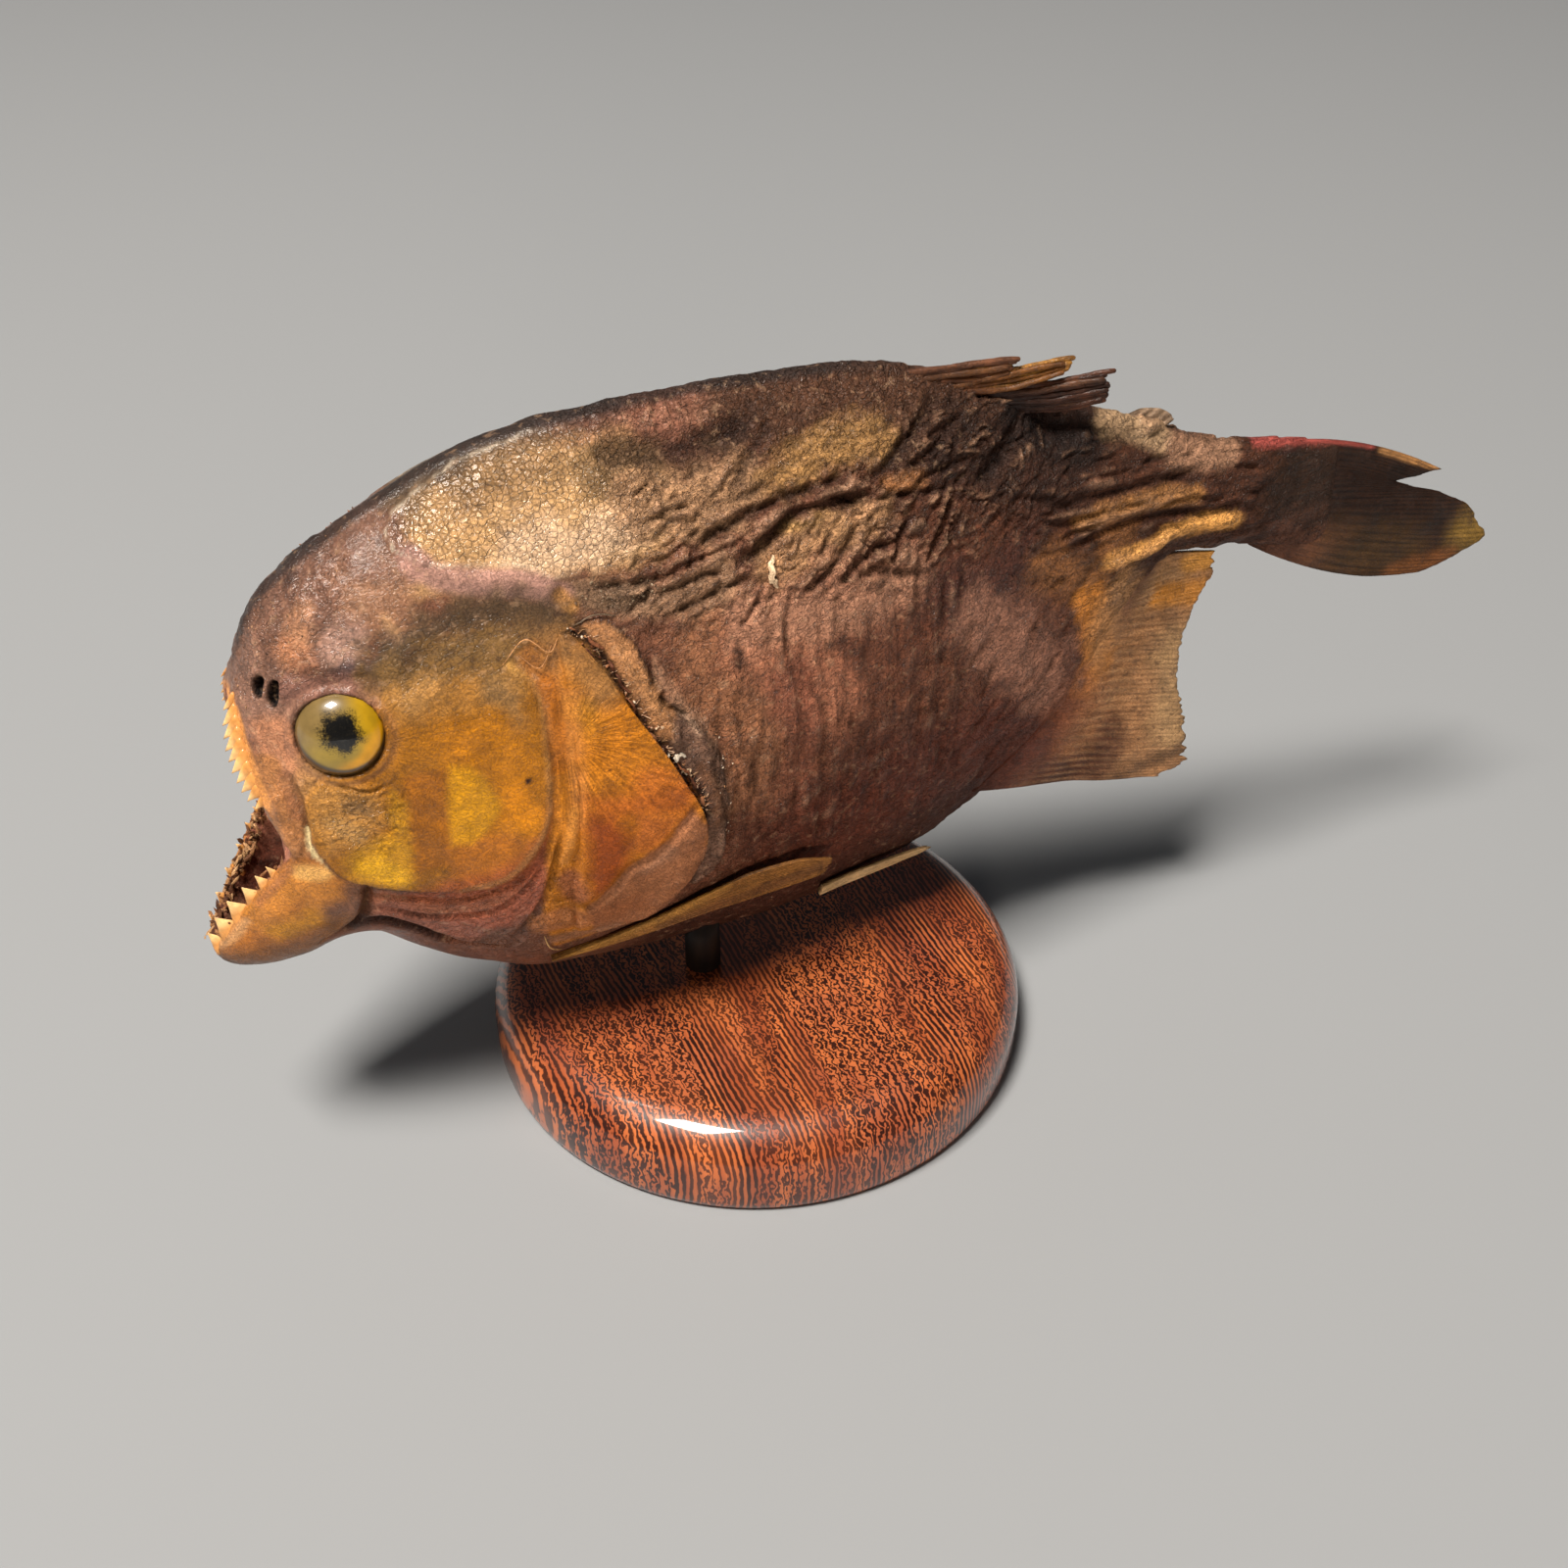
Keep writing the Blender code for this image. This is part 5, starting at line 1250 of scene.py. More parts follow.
@dataclass
class Finish:
    """A material under construction, with the short cuts that all finishes share."""

    name: str
    roughness: float = 0.5
    specular: float = 0.35
    coat: float = 0
    coat_roughness: float = 0.2

    def start(self) -> None:
        """Make the material with its plain settings."""
        self.material = bpy.data.materials.new(self.name)
        self.material.use_nodes = True
        self.tree = self.material.node_tree
        self.shader = self.tree.nodes["Principled BSDF"]
        for key, value in (("Roughness", self.roughness), ("Specular IOR Level", self.specular),
                           ("Coat Weight", self.coat), ("Coat Roughness", self.coat_roughness)):
            self.shader.inputs[key].default_value = value
        self.place = add_node(self.tree, "ShaderNodeTexCoord").outputs["Object"]

    def noise(self, size: float, detail: float = 3, stretch: tuple[float, float, float] | None = None,
              slope: float = 0, where: Socket | None = None) -> Socket:
        """Add noise whose lumps have a real size.

        Args:
            size: width of the lumps in mm.
            detail: how many finer layers are added.
            stretch: how many times longer they are along each axis.
            slope: degrees by which the first axis climbs toward the fish's back.
            where: coordinates other than the object's own.

        Returns:
            The noise's value, mostly from 0.3 to 0.7.
        """
        where = where or self.place
        if stretch:
            turned = (0, -math.radians(slope), 0)
            where = add_node(self.tree, "ShaderNodeMapping",
                             {"vector_type": "TEXTURE", "Scale": stretch, "Rotation": turned},
                             {"Vector": where}).outputs["Vector"]
        return add_node(self.tree, "ShaderNodeTexNoise",
                        {"Scale": 1 / (size * MM), "Detail": detail, "Roughness": 0.55},
                        {"Vector": where}).outputs["Fac"]

    def band(self, value: Socket, low: float, high: float, start: float = 0,
             end: float = 1) -> Socket:
        """Stretch the part of a value between low and high onto start to end.

        Args:
            value: the socket that is read.
            low: the value that gives start.
            high: the value that gives end.
            start: the result at low.
            end: the result at high.

        Returns:
            The stretched value.
        """
        return add_node(self.tree, "ShaderNodeMapRange",
                        {"interpolation_type": "SMOOTHSTEP", 1: low, 2: high, 3: start, 4: end},
                        {0: value}).outputs[0]

    def calc(self, operation: str, first: Socket | float, second: Socket | float = 0) -> Socket:
        """Join two values by a math operation.

        Args:
            operation: the node's operation.
            first: a socket or a value.
            second: a socket or a value.

        Returns:
            The result.
        """
        settings: dict = {"operation": operation}
        links = {}
        for slot, value in enumerate((first, second)):
            (settings if isinstance(value, (int, float)) else links)[slot] = value
        return add_node(self.tree, "ShaderNodeMath", settings, links).outputs[0]

    def times(self, first: Socket | float, second: Socket | float) -> Socket:
        """Multiply two values."""
        return self.calc("MULTIPLY", first, second)

    def plus(self, first: Socket | float, second: Socket | float) -> Socket:
        """Add two values."""
        return self.calc("ADD", first, second)

    def minus(self, first: Socket | float, second: Socket | float) -> Socket:
        """Subtract the second value from the first."""
        return self.calc("SUBTRACT", first, second)

    def vector(self, operation: str, first: Socket, second: Socket | tuple[float, ...]) -> bpy.types.Node:
        """Join two vectors by a vector math operation and return the node.

        Args:
            operation: the node's operation.
            first: a socket or a value.
            second: a socket or a value.

        Returns:
            The node.
        """
        fixed = isinstance(second, tuple)
        settings = {"operation": operation, 1: second} if fixed else {"operation": operation}
        links = {0: first} if fixed else {0: first, 1: second}
        return add_node(self.tree, "ShaderNodeVectorMath", settings, links)

    def scaled(self, colour: Socket, factor: Socket) -> Socket:
        """Make a colour brighter or darker by a factor."""
        return add_node(self.tree, "ShaderNodeVectorMath", {"operation": "SCALE"},
                        {"Vector": colour, "Scale": factor}).outputs["Vector"]

    def blend(self, share: Socket, first: Socket | str,
              second: Socket | str, mode: str = "MIX") -> Socket:
        """Mix two colours, each a socket or a hex value.

        Args:
            share: how much of the second colour shows.
            first: a socket or a value.
            second: a socket or a value.
            mode: the way they mix.

        Returns:
            The mixed colour.
        """
        settings: dict = {"data_type": "RGBA", "blend_type": mode}
        links = {0: share}
        for slot, value in ((6, first), (7, second)):
            if isinstance(value, str):
                settings[slot] = (*linear(value), 1)
            else:
                links[slot] = value
        return add_node(self.tree, "ShaderNodeMix", settings, links).outputs[2]

    def bump(self, height: Socket, depth: float, under: Socket | None = None) -> Socket:
        """Add relief of a depth in mm over the relief under it and return the normal.

        Args:
            height: the relief's height, as a socket from 0 to 1.
            depth: its depth in mm.
            under: the normal under it.

        Returns:
            The normal.
        """
        links = {"Height": height, "Normal": under} if under else {"Height": height}
        settings = {"Distance": depth * MM, "Strength": 1}
        return add_node(self.tree, "ShaderNodeBump", settings, links).outputs["Normal"]

    def attribute(self, name: str, output: str = "Fac") -> Socket:
        """Read a vertex attribute."""
        return add_node(self.tree, "ShaderNodeAttribute", {"attribute_name": name}).outputs[output]

    def connect(self, **sockets: Socket) -> bpy.types.Material:
        """Plug sockets into the shader by their names and return the material.

        Args:
            sockets: what each named socket gets.

        Returns:
            The material.
        """
        for key, socket in sockets.items():
            self.tree.links.new(socket, self.shader.inputs[key.replace("_", " ")])
        return self.material


@dataclass
class VarnishedHide(Finish):
    """Dried fish skin over thin bone: pebbled, creased, blotched, and shiny where varnish lies thick."""

    name: str = "varnished dried fish hide"
    specular: float = 0.22
    coat_roughness: float = 0.13
    scale_width: float = 0.8
    grain_depth: float = 0.1
    streak_depth: float = 0.22
    pebble_depth: float = 0.24
    pleat_depth: float = 0.6
    crease_depth: float = 0.18
    hairline_depth: float = 0.06
    facet_tilt: float = 1.2
    dark_patch: str = "#3a261d"
    pale_patch: str = "#c29a78"

    def pleats(self) -> Socket:
        """Return the height of the long pleats, which run another way on the folds, the ribs and the tail.

        Returns:
            The height.
        """
        total = None
        for name, value, weight in (("folds", self.noise(1, 5, (4.5, 3, 1), 26), 1),
                                    ("ribs", self.noise(0.7, 5, (1, 3, 7)), 0.8),
                                    ("drawn", self.noise(0.7, 5, (9, 3, 1)), 0.9)):
            layer = self.times(self.times(self.minus(value, 0.5), weight), self.attribute(name))
            total = self.plus(layer, total) if total else layer
        return total

    def net(self, width: float, *lumps: float | tuple[float, float, float]) -> Socket:
        """Return 0 along the thin lines where noise crosses its middle, and 1 between them."""
        return self.band(self.calc("ABSOLUTE", self.minus(self.noise(*lumps), 0.5)), 0, width)

    def scales(self) -> tuple[Socket, Socket]:
        """Return the distance to each scale's edge, and a height that tilts every scale its own way.

        Returns:
            The distance and the height.
        """
        size = {"Scale": 1 / (self.scale_width * MM)}
        cells = add_node(self.tree, "ShaderNodeTexVoronoi", {"feature": "DISTANCE_TO_EDGE", **size},
                         {"Vector": self.place}).outputs["Distance"]
        centre = add_node(self.tree, "ShaderNodeTexVoronoi", size, {"Vector": self.place}).outputs
        offset = self.vector("SUBTRACT", self.place, centre["Position"]).outputs["Vector"]
        tilt = self.vector("SUBTRACT", centre["Color"], (0.5, 0.5, 0.5)).outputs["Vector"]
        return cells, self.vector("DOT_PRODUCT", offset, tilt).outputs["Value"]

    def build(self) -> bpy.types.Material:
        """Build the material.

        Returns:
            The material.
        """
        self.start()
        pleats = self.pleats()
        grain, blotch, patch = self.noise(0.3, 5), self.noise(2.6, 5), self.noise(1.1, 6)
        creased, lined = self.net(0.07, 1, 3, (1.5, 1, 0.9), 20), self.net(0.06, 0.5, 4, (1.3, 1, 1), -30)
        combed = self.noise(1 / MM, 3, where=self.attribute("fan", "Vector"))
        cells, tilted = self.scales()
        wrinkled, streaked, pebble, gloss = (self.attribute(name)
                                             for name in ("wrinkled", "streaked", "pebble", "gloss"))
        facets = self.plus(self.band(cells, 0, 0.16, 0, 0.5), self.times(tilted, self.facet_tilt / MM))
        # Blotch and grain are the hide's own tone; the hairline, pleat and fine-crease factors darken their
        # valleys and lighten the pleat tops: painted shade and highlight that follow the relief.
        shade = self.times(self.band(blotch, 0.3, 0.7, 0.8, 1.16), self.band(grain, 0.3, 0.7, 0.9, 1.1))
        shade = self.times(shade, self.band(lined, 0, 1, 0.86, 1.02))
        for value, low, high, start, end, where in (
                (pleats, -0.2, 0.2, 0.7, 1.3, None), (cells, 0, 0.12, 0.8, 1.03, pebble),
                (creased, 0, 1, 0.72, 1.05, wrinkled), (combed, 0.38, 0.62, 0.72, 1.18, streaked)):
            factor = self.band(value, low, high, start, end)
            if where is not None:
                factor = self.plus(self.times(self.minus(factor, 1), where), 1)
            shade = self.times(shade, factor)
        paint = self.scaled(self.attribute("paint", "Color"), shade)
        hide = self.minus(1, self.times(self.attribute("amber"), 0.6))
        paint = self.blend(self.times(self.band(patch, 0.55, 0.68, 0, 0.45), hide), paint, self.dark_patch)
        pale = self.times(self.band(patch, 0.44, 0.3, 0, 0.24), self.attribute("pale"))
        paint = self.blend(pale, paint, self.pale_patch)
        relief = self.bump(grain, self.grain_depth, self.bump(pleats, self.pleat_depth))
        relief = self.bump(self.times(creased, wrinkled), self.crease_depth, relief)
        relief = self.bump(self.times(combed, streaked), self.streak_depth, relief)
        varnish = self.bump(self.times(facets, pebble), self.pebble_depth, relief)
        rough = self.minus(self.band(blotch, 0.3, 0.7, 0.5, 0.66), self.times(gloss, 0.2))
        return self.connect(Base_Color=paint, Roughness=rough, Coat_Weight=gloss, Coat_Normal=varnish,
                            Normal=self.bump(lined, self.hairline_depth, varnish))


@dataclass
class DriedFin(VarnishedHide):
    """Dried fin: horny rays and brittle skin between them, streaked along the rays."""

    name: str = "varnished dried fin"
    coat_roughness: float = 0.3
    pleat_depth: float = 0.3


@dataclass
class Ivory(Finish):
    """Old tooth: cream enamel that goes amber toward the gum."""

    name: str = "aged tooth enamel"
    coat: float = 0.3
    coat_roughness: float = 0.15

    def build(self) -> bpy.types.Material:
        """Build the material.

        Returns:
            The material.
        """
        self.start()
        stain = self.noise(0.9, 3)
        colour = self.scaled(self.attribute("paint", "Color"), self.band(stain, 0.3, 0.7, 0.75, 1.1))
        return self.connect(Base_Color=colour, Roughness=self.band(stain, 0.3, 0.7, 0.3, 0.5))


@dataclass
class GlassEyeFinish(Finish):
    """Glass eye: clear coat over a painted iris with a soft-edged black pupil."""

    name: str = "painted glass eye"
    roughness: float = 0.3
    coat: float = 1
    coat_roughness: float = 0.03

    def build(self) -> bpy.types.Material:
        """Build the material.

        Returns:
            The material.
        """
        self.start()
        ring = self.attribute("ring")
        hair, cloudy = self.noise(0.22, 5), self.noise(1.4, 3)
        edge = self.plus(ring, self.band(hair, 0.2, 0.8, -0.5, 0.5))
        edge = self.plus(edge, self.band(cloudy, 0.2, 0.8, -0.5, 0.5))
        iris = self.scaled(self.attribute("paint", "Color"), self.band(cloudy, 0.3, 0.7, 0.9, 1.1))
        shaded = self.blend(self.band(ring, 4.5, 5.1), iris, "#3c2a10")
        pupil = self.blend(self.band(hair, 0.5, 0.75, 0, 0.3), "#090807", "#3a3426")
        return self.connect(Base_Color=self.blend(self.band(edge, 2.9, 1.6), shaded, pupil))


@dataclass
class FiguredWood(Finish):
    """Turned hardwood with fine dark lines across it, partly wavy, red-brown under glossy varnish."""

    name: str = "varnished figured hardwood"
    roughness: float = 0.4
    coat: float = 0.85
    coat_roughness: float = 0.06
    line_step: float = 0.82
    line_colour: str = "#290e07"

    def swing(self, amount: float | Socket, *lumps: float | tuple[float, float, float]) -> Socket:
        """Return noise that swings evenly about 0."""
        return self.times(self.minus(self.noise(*lumps), 0.5), amount)

    def build(self) -> bpy.types.Material:
        """Build the material.

        Returns:
            The material.
        """
        self.start()
        axes = add_node(self.tree, "ShaderNodeSeparateXYZ", None, {0: self.place}).outputs
        across = self.plus(self.times(axes[0], 1 / MM), self.times(axes[1], 0.08 / MM))
        maze = self.band(self.noise(4.5, 3, (1, 2.6, 5)), 0.4, 0.54)
        sway = self.swing(self.band(maze, 0, 1, 0.5, 2.8), 0.95, 2, (1, 1.1, 2))
        across = self.plus(self.plus(across, self.swing(3, 22, 2, (1, 1.5, 4))), sway)
        wave = self.calc("SINE", self.times(across, 2 * math.pi / self.line_step))
        dark = self.band(self.plus(wave, self.swing(3.4, 0.6, 3, (1, 4.5, 8))), -0.62, 0.34)
        ground = self.blend(self.band(self.noise(4, 3, (1, 5, 8)), 0.35, 0.65), "#8e4424", "#b86434")
        stained = self.blend(self.band(self.noise(12, 2), 0.4, 0.7, 0, 0.5), ground, "#8c4630")
        strength = self.band(self.noise(7, 2, (1, 4, 6)), 0.35, 0.65, 0.84, 1)
        lined = self.blend(self.times(dark, strength), stained, self.line_colour)
        streak = self.band(self.noise(1.5, 4, (1, 16, 16)), 0.58, 0.72, 1, 0.7)
        return self.connect(Base_Color=self.scaled(lined, streak), Normal=self.bump(dark, -0.01))


@dataclass
class DarkWood(Finish):
    """Ebonised peg, nearly black with a dull sheen."""

    name: str = "ebonised peg"
    roughness: float = 0.6
    coat: float = 0.1

    def build(self) -> bpy.types.Material:
        """Build the material.

        Returns:
            The material.
        """
        self.start()
        streaks = self.noise(1.6, 3, (1, 1, 6))
        return self.connect(Base_Color=self.blend(self.band(streaks, 0.35, 0.7), "#0a0706", "#181009"))


@dataclass
class Studio:
    """Pale floor, soft lights and the camera."""

    position: tuple[float, float, float] = (-0.06851, -0.18822, 0.19871)
    forward: tuple[float, float, float] = (0.2842, 0.735, -0.6157)
    field_of_view: float = 45
    floor_colour: str = "#8b8d8f"
    world_strength: float = 0.065
    lamps: tuple[tuple, ...] = (("key_lamp", 69, 66, 1.5, 0.42, 48, "#fff8ef", True),
                                ("front_fill", 3, 18, 1.5, 0.2, 13, "#fff6ea", False),
                                ("back_fill", 45, 190, 1.5, 1, 0.9, "#f4f6ff", False))

    def floor(self) -> None:
        """Lay the floor."""
        bm = bmesh.new()
        bmesh.ops.create_grid(bm, x_segments=1, y_segments=1, size=4)
        floor = to_mesh("studio_floor", bm)
        finish = Finish("matt pale floor", 0.9, 0.1)
        finish.start()
        finish.shader.inputs["Base Color"].default_value = (*linear(self.floor_colour), 1)
        floor.data.materials.append(finish.material)

    def lamp(self, name: str, height: float, turn: float, distance: float, size: float, power: float,
             colour: str, glints: bool) -> None:
        """Hang a square lamp that faces the fish.

        Args:
            name: the lamp's name.
            height: its elevation in degrees.
            turn: degrees from the fish's left side toward its head.
            distance: how far it hangs, in metres.
            size: its breadth in metres.
            power: its power in watts.
            colour: its hex colour.
            glints: whether it shows in glossy surfaces.
        """
        lamp = bpy.data.lights.new(name, "AREA")
        lamp.size, lamp.energy, lamp.color = size, power, linear(colour)
        item = bpy.data.objects.new(name, lamp)
        item.visible_glossy = glints
        high, turned = math.radians(height), math.radians(turn)
        level = math.cos(high)
        way = Vector((-level * math.sin(turned), -level * math.cos(turned), math.sin(high)))
        item.location = Vector((0, 0, 0.04)) + way * distance
        item.rotation_euler = (-way).to_track_quat("-Z", "Y").to_euler()
        bpy.context.scene.collection.objects.link(item)

    def build(self) -> None:
        """Set up the floor, the lamps, the dim room light and the camera."""
        self.floor()
        for lamp in self.lamps:
            self.lamp(*lamp)
        world = bpy.data.worlds.new("studio_world")
        world.use_nodes = True
        world.node_tree.nodes["Background"].inputs["Color"].default_value = (*linear("#dfe4ea"), 1)
        world.node_tree.nodes["Background"].inputs["Strength"].default_value = self.world_strength
        scene = bpy.context.scene
        scene.world = world
        scene.view_settings.view_transform = "Standard"
        data = bpy.data.cameras.new("camera")
        data.sensor_fit = "HORIZONTAL"
        data.angle = math.radians(self.field_of_view)
        data.clip_start = 0.01
        item = bpy.data.objects.new("camera", data)
        item.location = self.position
        item.rotation_euler = Vector(self.forward).to_track_quat("-Z", "Y").to_euler()
        scene.collection.objects.link(item)
        scene.camera = item


@dataclass
class Workshop:
    """The finishes, the skin's true surface, and the last step that turns a mesh into a piece of the fish."""

    finishes: dict[str, bpy.types.Material] = field(default_factory=dict)
    surface: BVHTree | None = None

    def finish(self, kind: type[Finish]) -> bpy.types.Material:
        """Return the material of a kind, built once.

        Args:
            kind: the finish's class.

        Returns:
            The material.
        """
        if kind.__name__ not in self.finishes:
            self.finishes[kind.__name__] = kind().build()
        return self.finishes[kind.__name__]

    def touch(self, x: float, z: float, side: float) -> tuple[Vector, Vector] | None:
        """Return the skin's point and normal at a place in side view, or None beside the fish."""
        hit = self.surface.ray_cast(Vector((x, side * 40, z)), Vector((0, -side, 0)))
        return None if hit[0] is None or hit[0].y * side < 0 else (hit[0], hit[1])

    def piece(self, item: bpy.types.Object, kind: type[Finish], slot: str, *nodes: str,
              leaning: bool = True) -> bpy.types.Object:
        """Finish a piece that is drawn in mm.

        Args:
            item: the object with its mesh in mm.
            kind: the finish it gets.
            slot: the record's material slot, which is not used.
            nodes: the solids it stands for.
            leaning: whether it is drawn in the fish's frame or upright from the floor.

        Returns:
            The same object, in metres in the row frame.
        """
        points = read_points(item.data)
        write_points(item.data, to_row(points) if leaning else points * MM)
        item.data.materials.clear()
        item.data.materials.append(self.finish(kind))
        item.data.shade_smooth()
        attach(item, "root")
        if nodes:
            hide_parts(*nodes)
        item.data.calc_loop_triangles()
        LOG.info("%s: %d triangles", item.name, len(item.data.loop_triangles))
        return item


@dataclass
class TurnedStand:
    """Turned disc with a rounded shoulder, and the short dark peg."""

    radius: float = 38
    height: float = DISC_HEIGHT
    shoulder: float = 7
    foot_inset: float = 0.8
    steps: int = 160
    arc_steps: int = 14
    peg_radius: float = 2.5
    peg_x: float = -8.1
    peg_rise: float = 12
    peg_sunk: float = 6

    def disc(self, shop: Workshop) -> None:
        """Turn the disc.

        Args:
            shop: the workshop that takes the piece.
        """
        bm = bmesh.new()
        inner = self.radius - self.shoulder
        profile = [(0, self.height + 0.02), (inner * 0.5, self.height + 0.02), (inner, self.height)]
        for i in range(1, self.arc_steps + 1):
            turn = 0.5 * math.pi * i / self.arc_steps
            profile.append((inner + self.shoulder * math.sin(turn),
                            self.height - self.shoulder * (1 - math.cos(turn))))
        profile += [(self.radius, 3), (self.radius - 0.1, 1.4), (self.radius - 0.3, 0.6),
                    (self.radius - self.foot_inset, 0), (0, 0)]
        verts = [bm.verts.new((r, 0, z)) for r, z in profile]
        edges = [bm.edges.new(pair) for pair in zip(verts, verts[1:])]
        bmesh.ops.spin(bm, geom=verts + edges, cent=(0, 0, 0), axis=(0, 0, 1), angle=2 * math.pi,
                       steps=self.steps, use_merge=True, use_duplicate=False)
        bmesh.ops.remove_doubles(bm, verts=bm.verts, dist=1e-3)
        bmesh.ops.recalc_face_normals(bm, faces=bm.faces)
        shop.piece(to_mesh("turned_disc", bm), FiguredWood, "varnished_wood", "base_disc", leaning=False)

    def peg(self, shop: Workshop) -> None:
        """Turn the peg.

        Args:
            shop: the workshop that takes the piece.
        """
        bm = bmesh.new()
        bmesh.ops.create_cone(bm, cap_ends=True, segments=48, radius1=self.peg_radius,
                              radius2=self.peg_radius, depth=self.peg_rise + self.peg_sunk)
        middle = Vector((self.peg_x, 0, self.height + 0.5 * (self.peg_rise - self.peg_sunk)))
        bmesh.ops.translate(bm, vec=middle, verts=bm.verts)
        shop.piece(to_mesh("dark_peg", bm), DarkWood, "dark_peg", "base_peg", leaning=False)

    def build(self, shop: Workshop) -> None:
        """Make both pieces."""
        self.disc(shop)
        self.peg(shop)


@dataclass
class Skin:
    """The whole fish's flesh in one skin, with the open mouth cut into it."""

    around: int = 150
    step: float = 0.8
    voxel: float = 0.82
    mouth: tuple[tuple[float, ...], ...] = (
        (-76, 57, 27.5, 2.4), (-71.2, 57, 26.6, 2.8), (-70, 56.5, 25, 3.4), (-68, 56, 23.8, 4.4),
        (-65.5, 55.5, 23.6, 5.6), (-62, 53.5, 24.4, 7.2), (-58, 49.5, 26.6, 6.6), (-54, 44.5, 29.4, 5),
        (-50, 39.5, 32.6, 2.4))
    mouth_around: int = 40
    mouth_square: float = 0.75
    finger: tuple[tuple[float, float, float], ...] = (
        (-61, 47.4, 0.7), (-60.9, 45.2, 0.9), (-60.7, 43, 0.95), (-60.5, 41.2, 0.85), (-60.5, 39.9, 0.6))
    strands: tuple[tuple[float, float], ...] = ((5.9, -60.9), (5, -60))
    strand_radii: tuple[float, ...] = (0.8, 0.75, 0.7, 0.75, 0.65, 0.6, 0.5)

    def body(self) -> bpy.types.Object:
        """Make the plain body form.

        Returns:
            The form.
        """
        first, last = BODY.stations[0][0], BODY.stations[-1][0]
        places = np.unique(np.concatenate((np.arange(first, last, self.step), [-72.2, -71.9, -71.4, last])))
        top, low, half, widest = BODY.station(places)
        back, keel = BODY.roundness(places)
        turn = 2 * math.pi * np.arange(self.around) / self.around
        sine, cosine = np.sin(turn)[None, :], np.cos(turn)[None, :]
        above = cosine >= 0
        power = np.where(above, back[:, None], keel[:, None])
        height = np.where(above, (top - widest)[:, None], (widest - low)[:, None])
        across = half[:, None] * np.sign(sine) * np.abs(sine) ** (2 / power)
        along = np.repeat(places[:, None], self.around, axis=1)
        return to_mesh("skin", closed_loft(np.dstack((along, across, widest[:, None] + height * cosine))))

    def hollow(self) -> bpy.types.Object:
        """Make the form of the space in the mouth.

        Returns:
            The form.
        """
        turn = 2 * math.pi * np.arange(self.mouth_around) / self.mouth_around
        sine, cosine = np.sin(turn), np.cos(turn)
        wide = np.sign(sine) * np.abs(sine) ** self.mouth_square
        tall = np.sign(cosine) * np.abs(cosine) ** self.mouth_square
        rings = [np.column_stack((np.full(len(turn), x), half * wide,
                                  0.5 * (roof + floor) + 0.5 * (roof - floor) * tall))
                 for x, roof, floor, half in self.mouth]
        return to_mesh("mouth_hollow", closed_loft(np.array(rings)))

    def gape(self) -> bpy.types.Object:
        """Make the wedge between the jaws.

        Returns:
            The form.
        """
        bm = bmesh.new()
        outline = [(-80, 60), *LIP[:-1], (-60.6, 39.3), *reversed(JAW_RIM[:-1]), (-80, 22.9)]
        face = bm.faces.new([bm.verts.new((x, -30, z)) for x, z in outline])
        pulled = bmesh.ops.extrude_face_region(bm, geom=[face])
        moved = [item for item in pulled["geom"] if isinstance(item, bmesh.types.BMVert)]
        bmesh.ops.translate(bm, vec=(0, 60, 0), verts=moved)
        bmesh.ops.triangulate(bm, faces=bm.faces)
        bmesh.ops.recalc_face_normals(bm, faces=bm.faces)
        return to_mesh("gape", bm)

    def lobes(self) -> list[BMesh]:
        """Make the finger-like ends of the upper jaw, and the strands of flesh in the mouth's corners.

        Returns:
            The closed forms.
        """
        made = []
        for side in Side:
            for x, z, radius in self.finger:
                ball = bmesh.new()
                bmesh.ops.create_uvsphere(ball, u_segments=20, v_segments=14, radius=radius)
                bmesh.ops.scale(ball, vec=(1, 0.85, 1.5), verts=ball.verts)
                bmesh.ops.translate(ball, vec=BODY.one_point((x, z), side.value, 0.15), verts=ball.verts)
                made.append(ball)
            for inward, x in self.strands:
                low = Vector((x, side.value * inward, 38))
                high = Vector((x - 1.2, side.value * inward * 1.1, 45))
                steps = len(self.strand_radii)
                path = [low.lerp(high, n / (steps - 1)) for n in range(steps)]
                made.append(tube(path, list(self.strand_radii)))
        return made

    def refine(self, item: bpy.types.Object) -> None:
        """Split the faces where the detail is finest: head and back, then nostrils and cheek skin.

        Args:
            item: the skin.
        """
        for wanted in (self.detailed, self.finest):
            bm = bmesh.new()
            bm.from_mesh(item.data)
            x, y, z = np.array([face.calc_center_median()[:] for face in bm.faces]).T
            inner = (x < -48) & (BODY.half_width(x, z) - np.abs(y) > 1.2)
            fine = wanted(x, y, z) & ~inner
            edges = {edge for face, split in zip(bm.faces, fine) if split for edge in face.edges}
            bmesh.ops.subdivide_edges(bm, edges=list(edges), cuts=1, use_grid_fill=True)
            bmesh.ops.triangulate(bm, faces=[face for face in bm.faces if len(face.verts) > 4])
            bm.to_mesh(item.data)
            bm.free()
        relax = item.modifiers.new("Relax", "SMOOTH")
        relax.factor, relax.iterations = 0.5, 4
        apply_modifiers(item)

    def detailed(self, x: Field, y: Field, z: Field) -> Field:
        """Return the places on the head and the folded back that are split once.

        Args:
            x: places along the fish.
            y: how far they stand to the side.
            z: their heights.

        Returns:
            True for each place that is split.
        """
        covered = (x > -27) & (x < -14) & (z > 22) & (z < 56) & (x - 0.5 * z > -47)
        head = (x < -23) & (y < 2) | (x < -54) | (x < -5) & (y < 0)
        return (head | (x < 74) & (y < 0.5) & (z > 56)) & ~covered

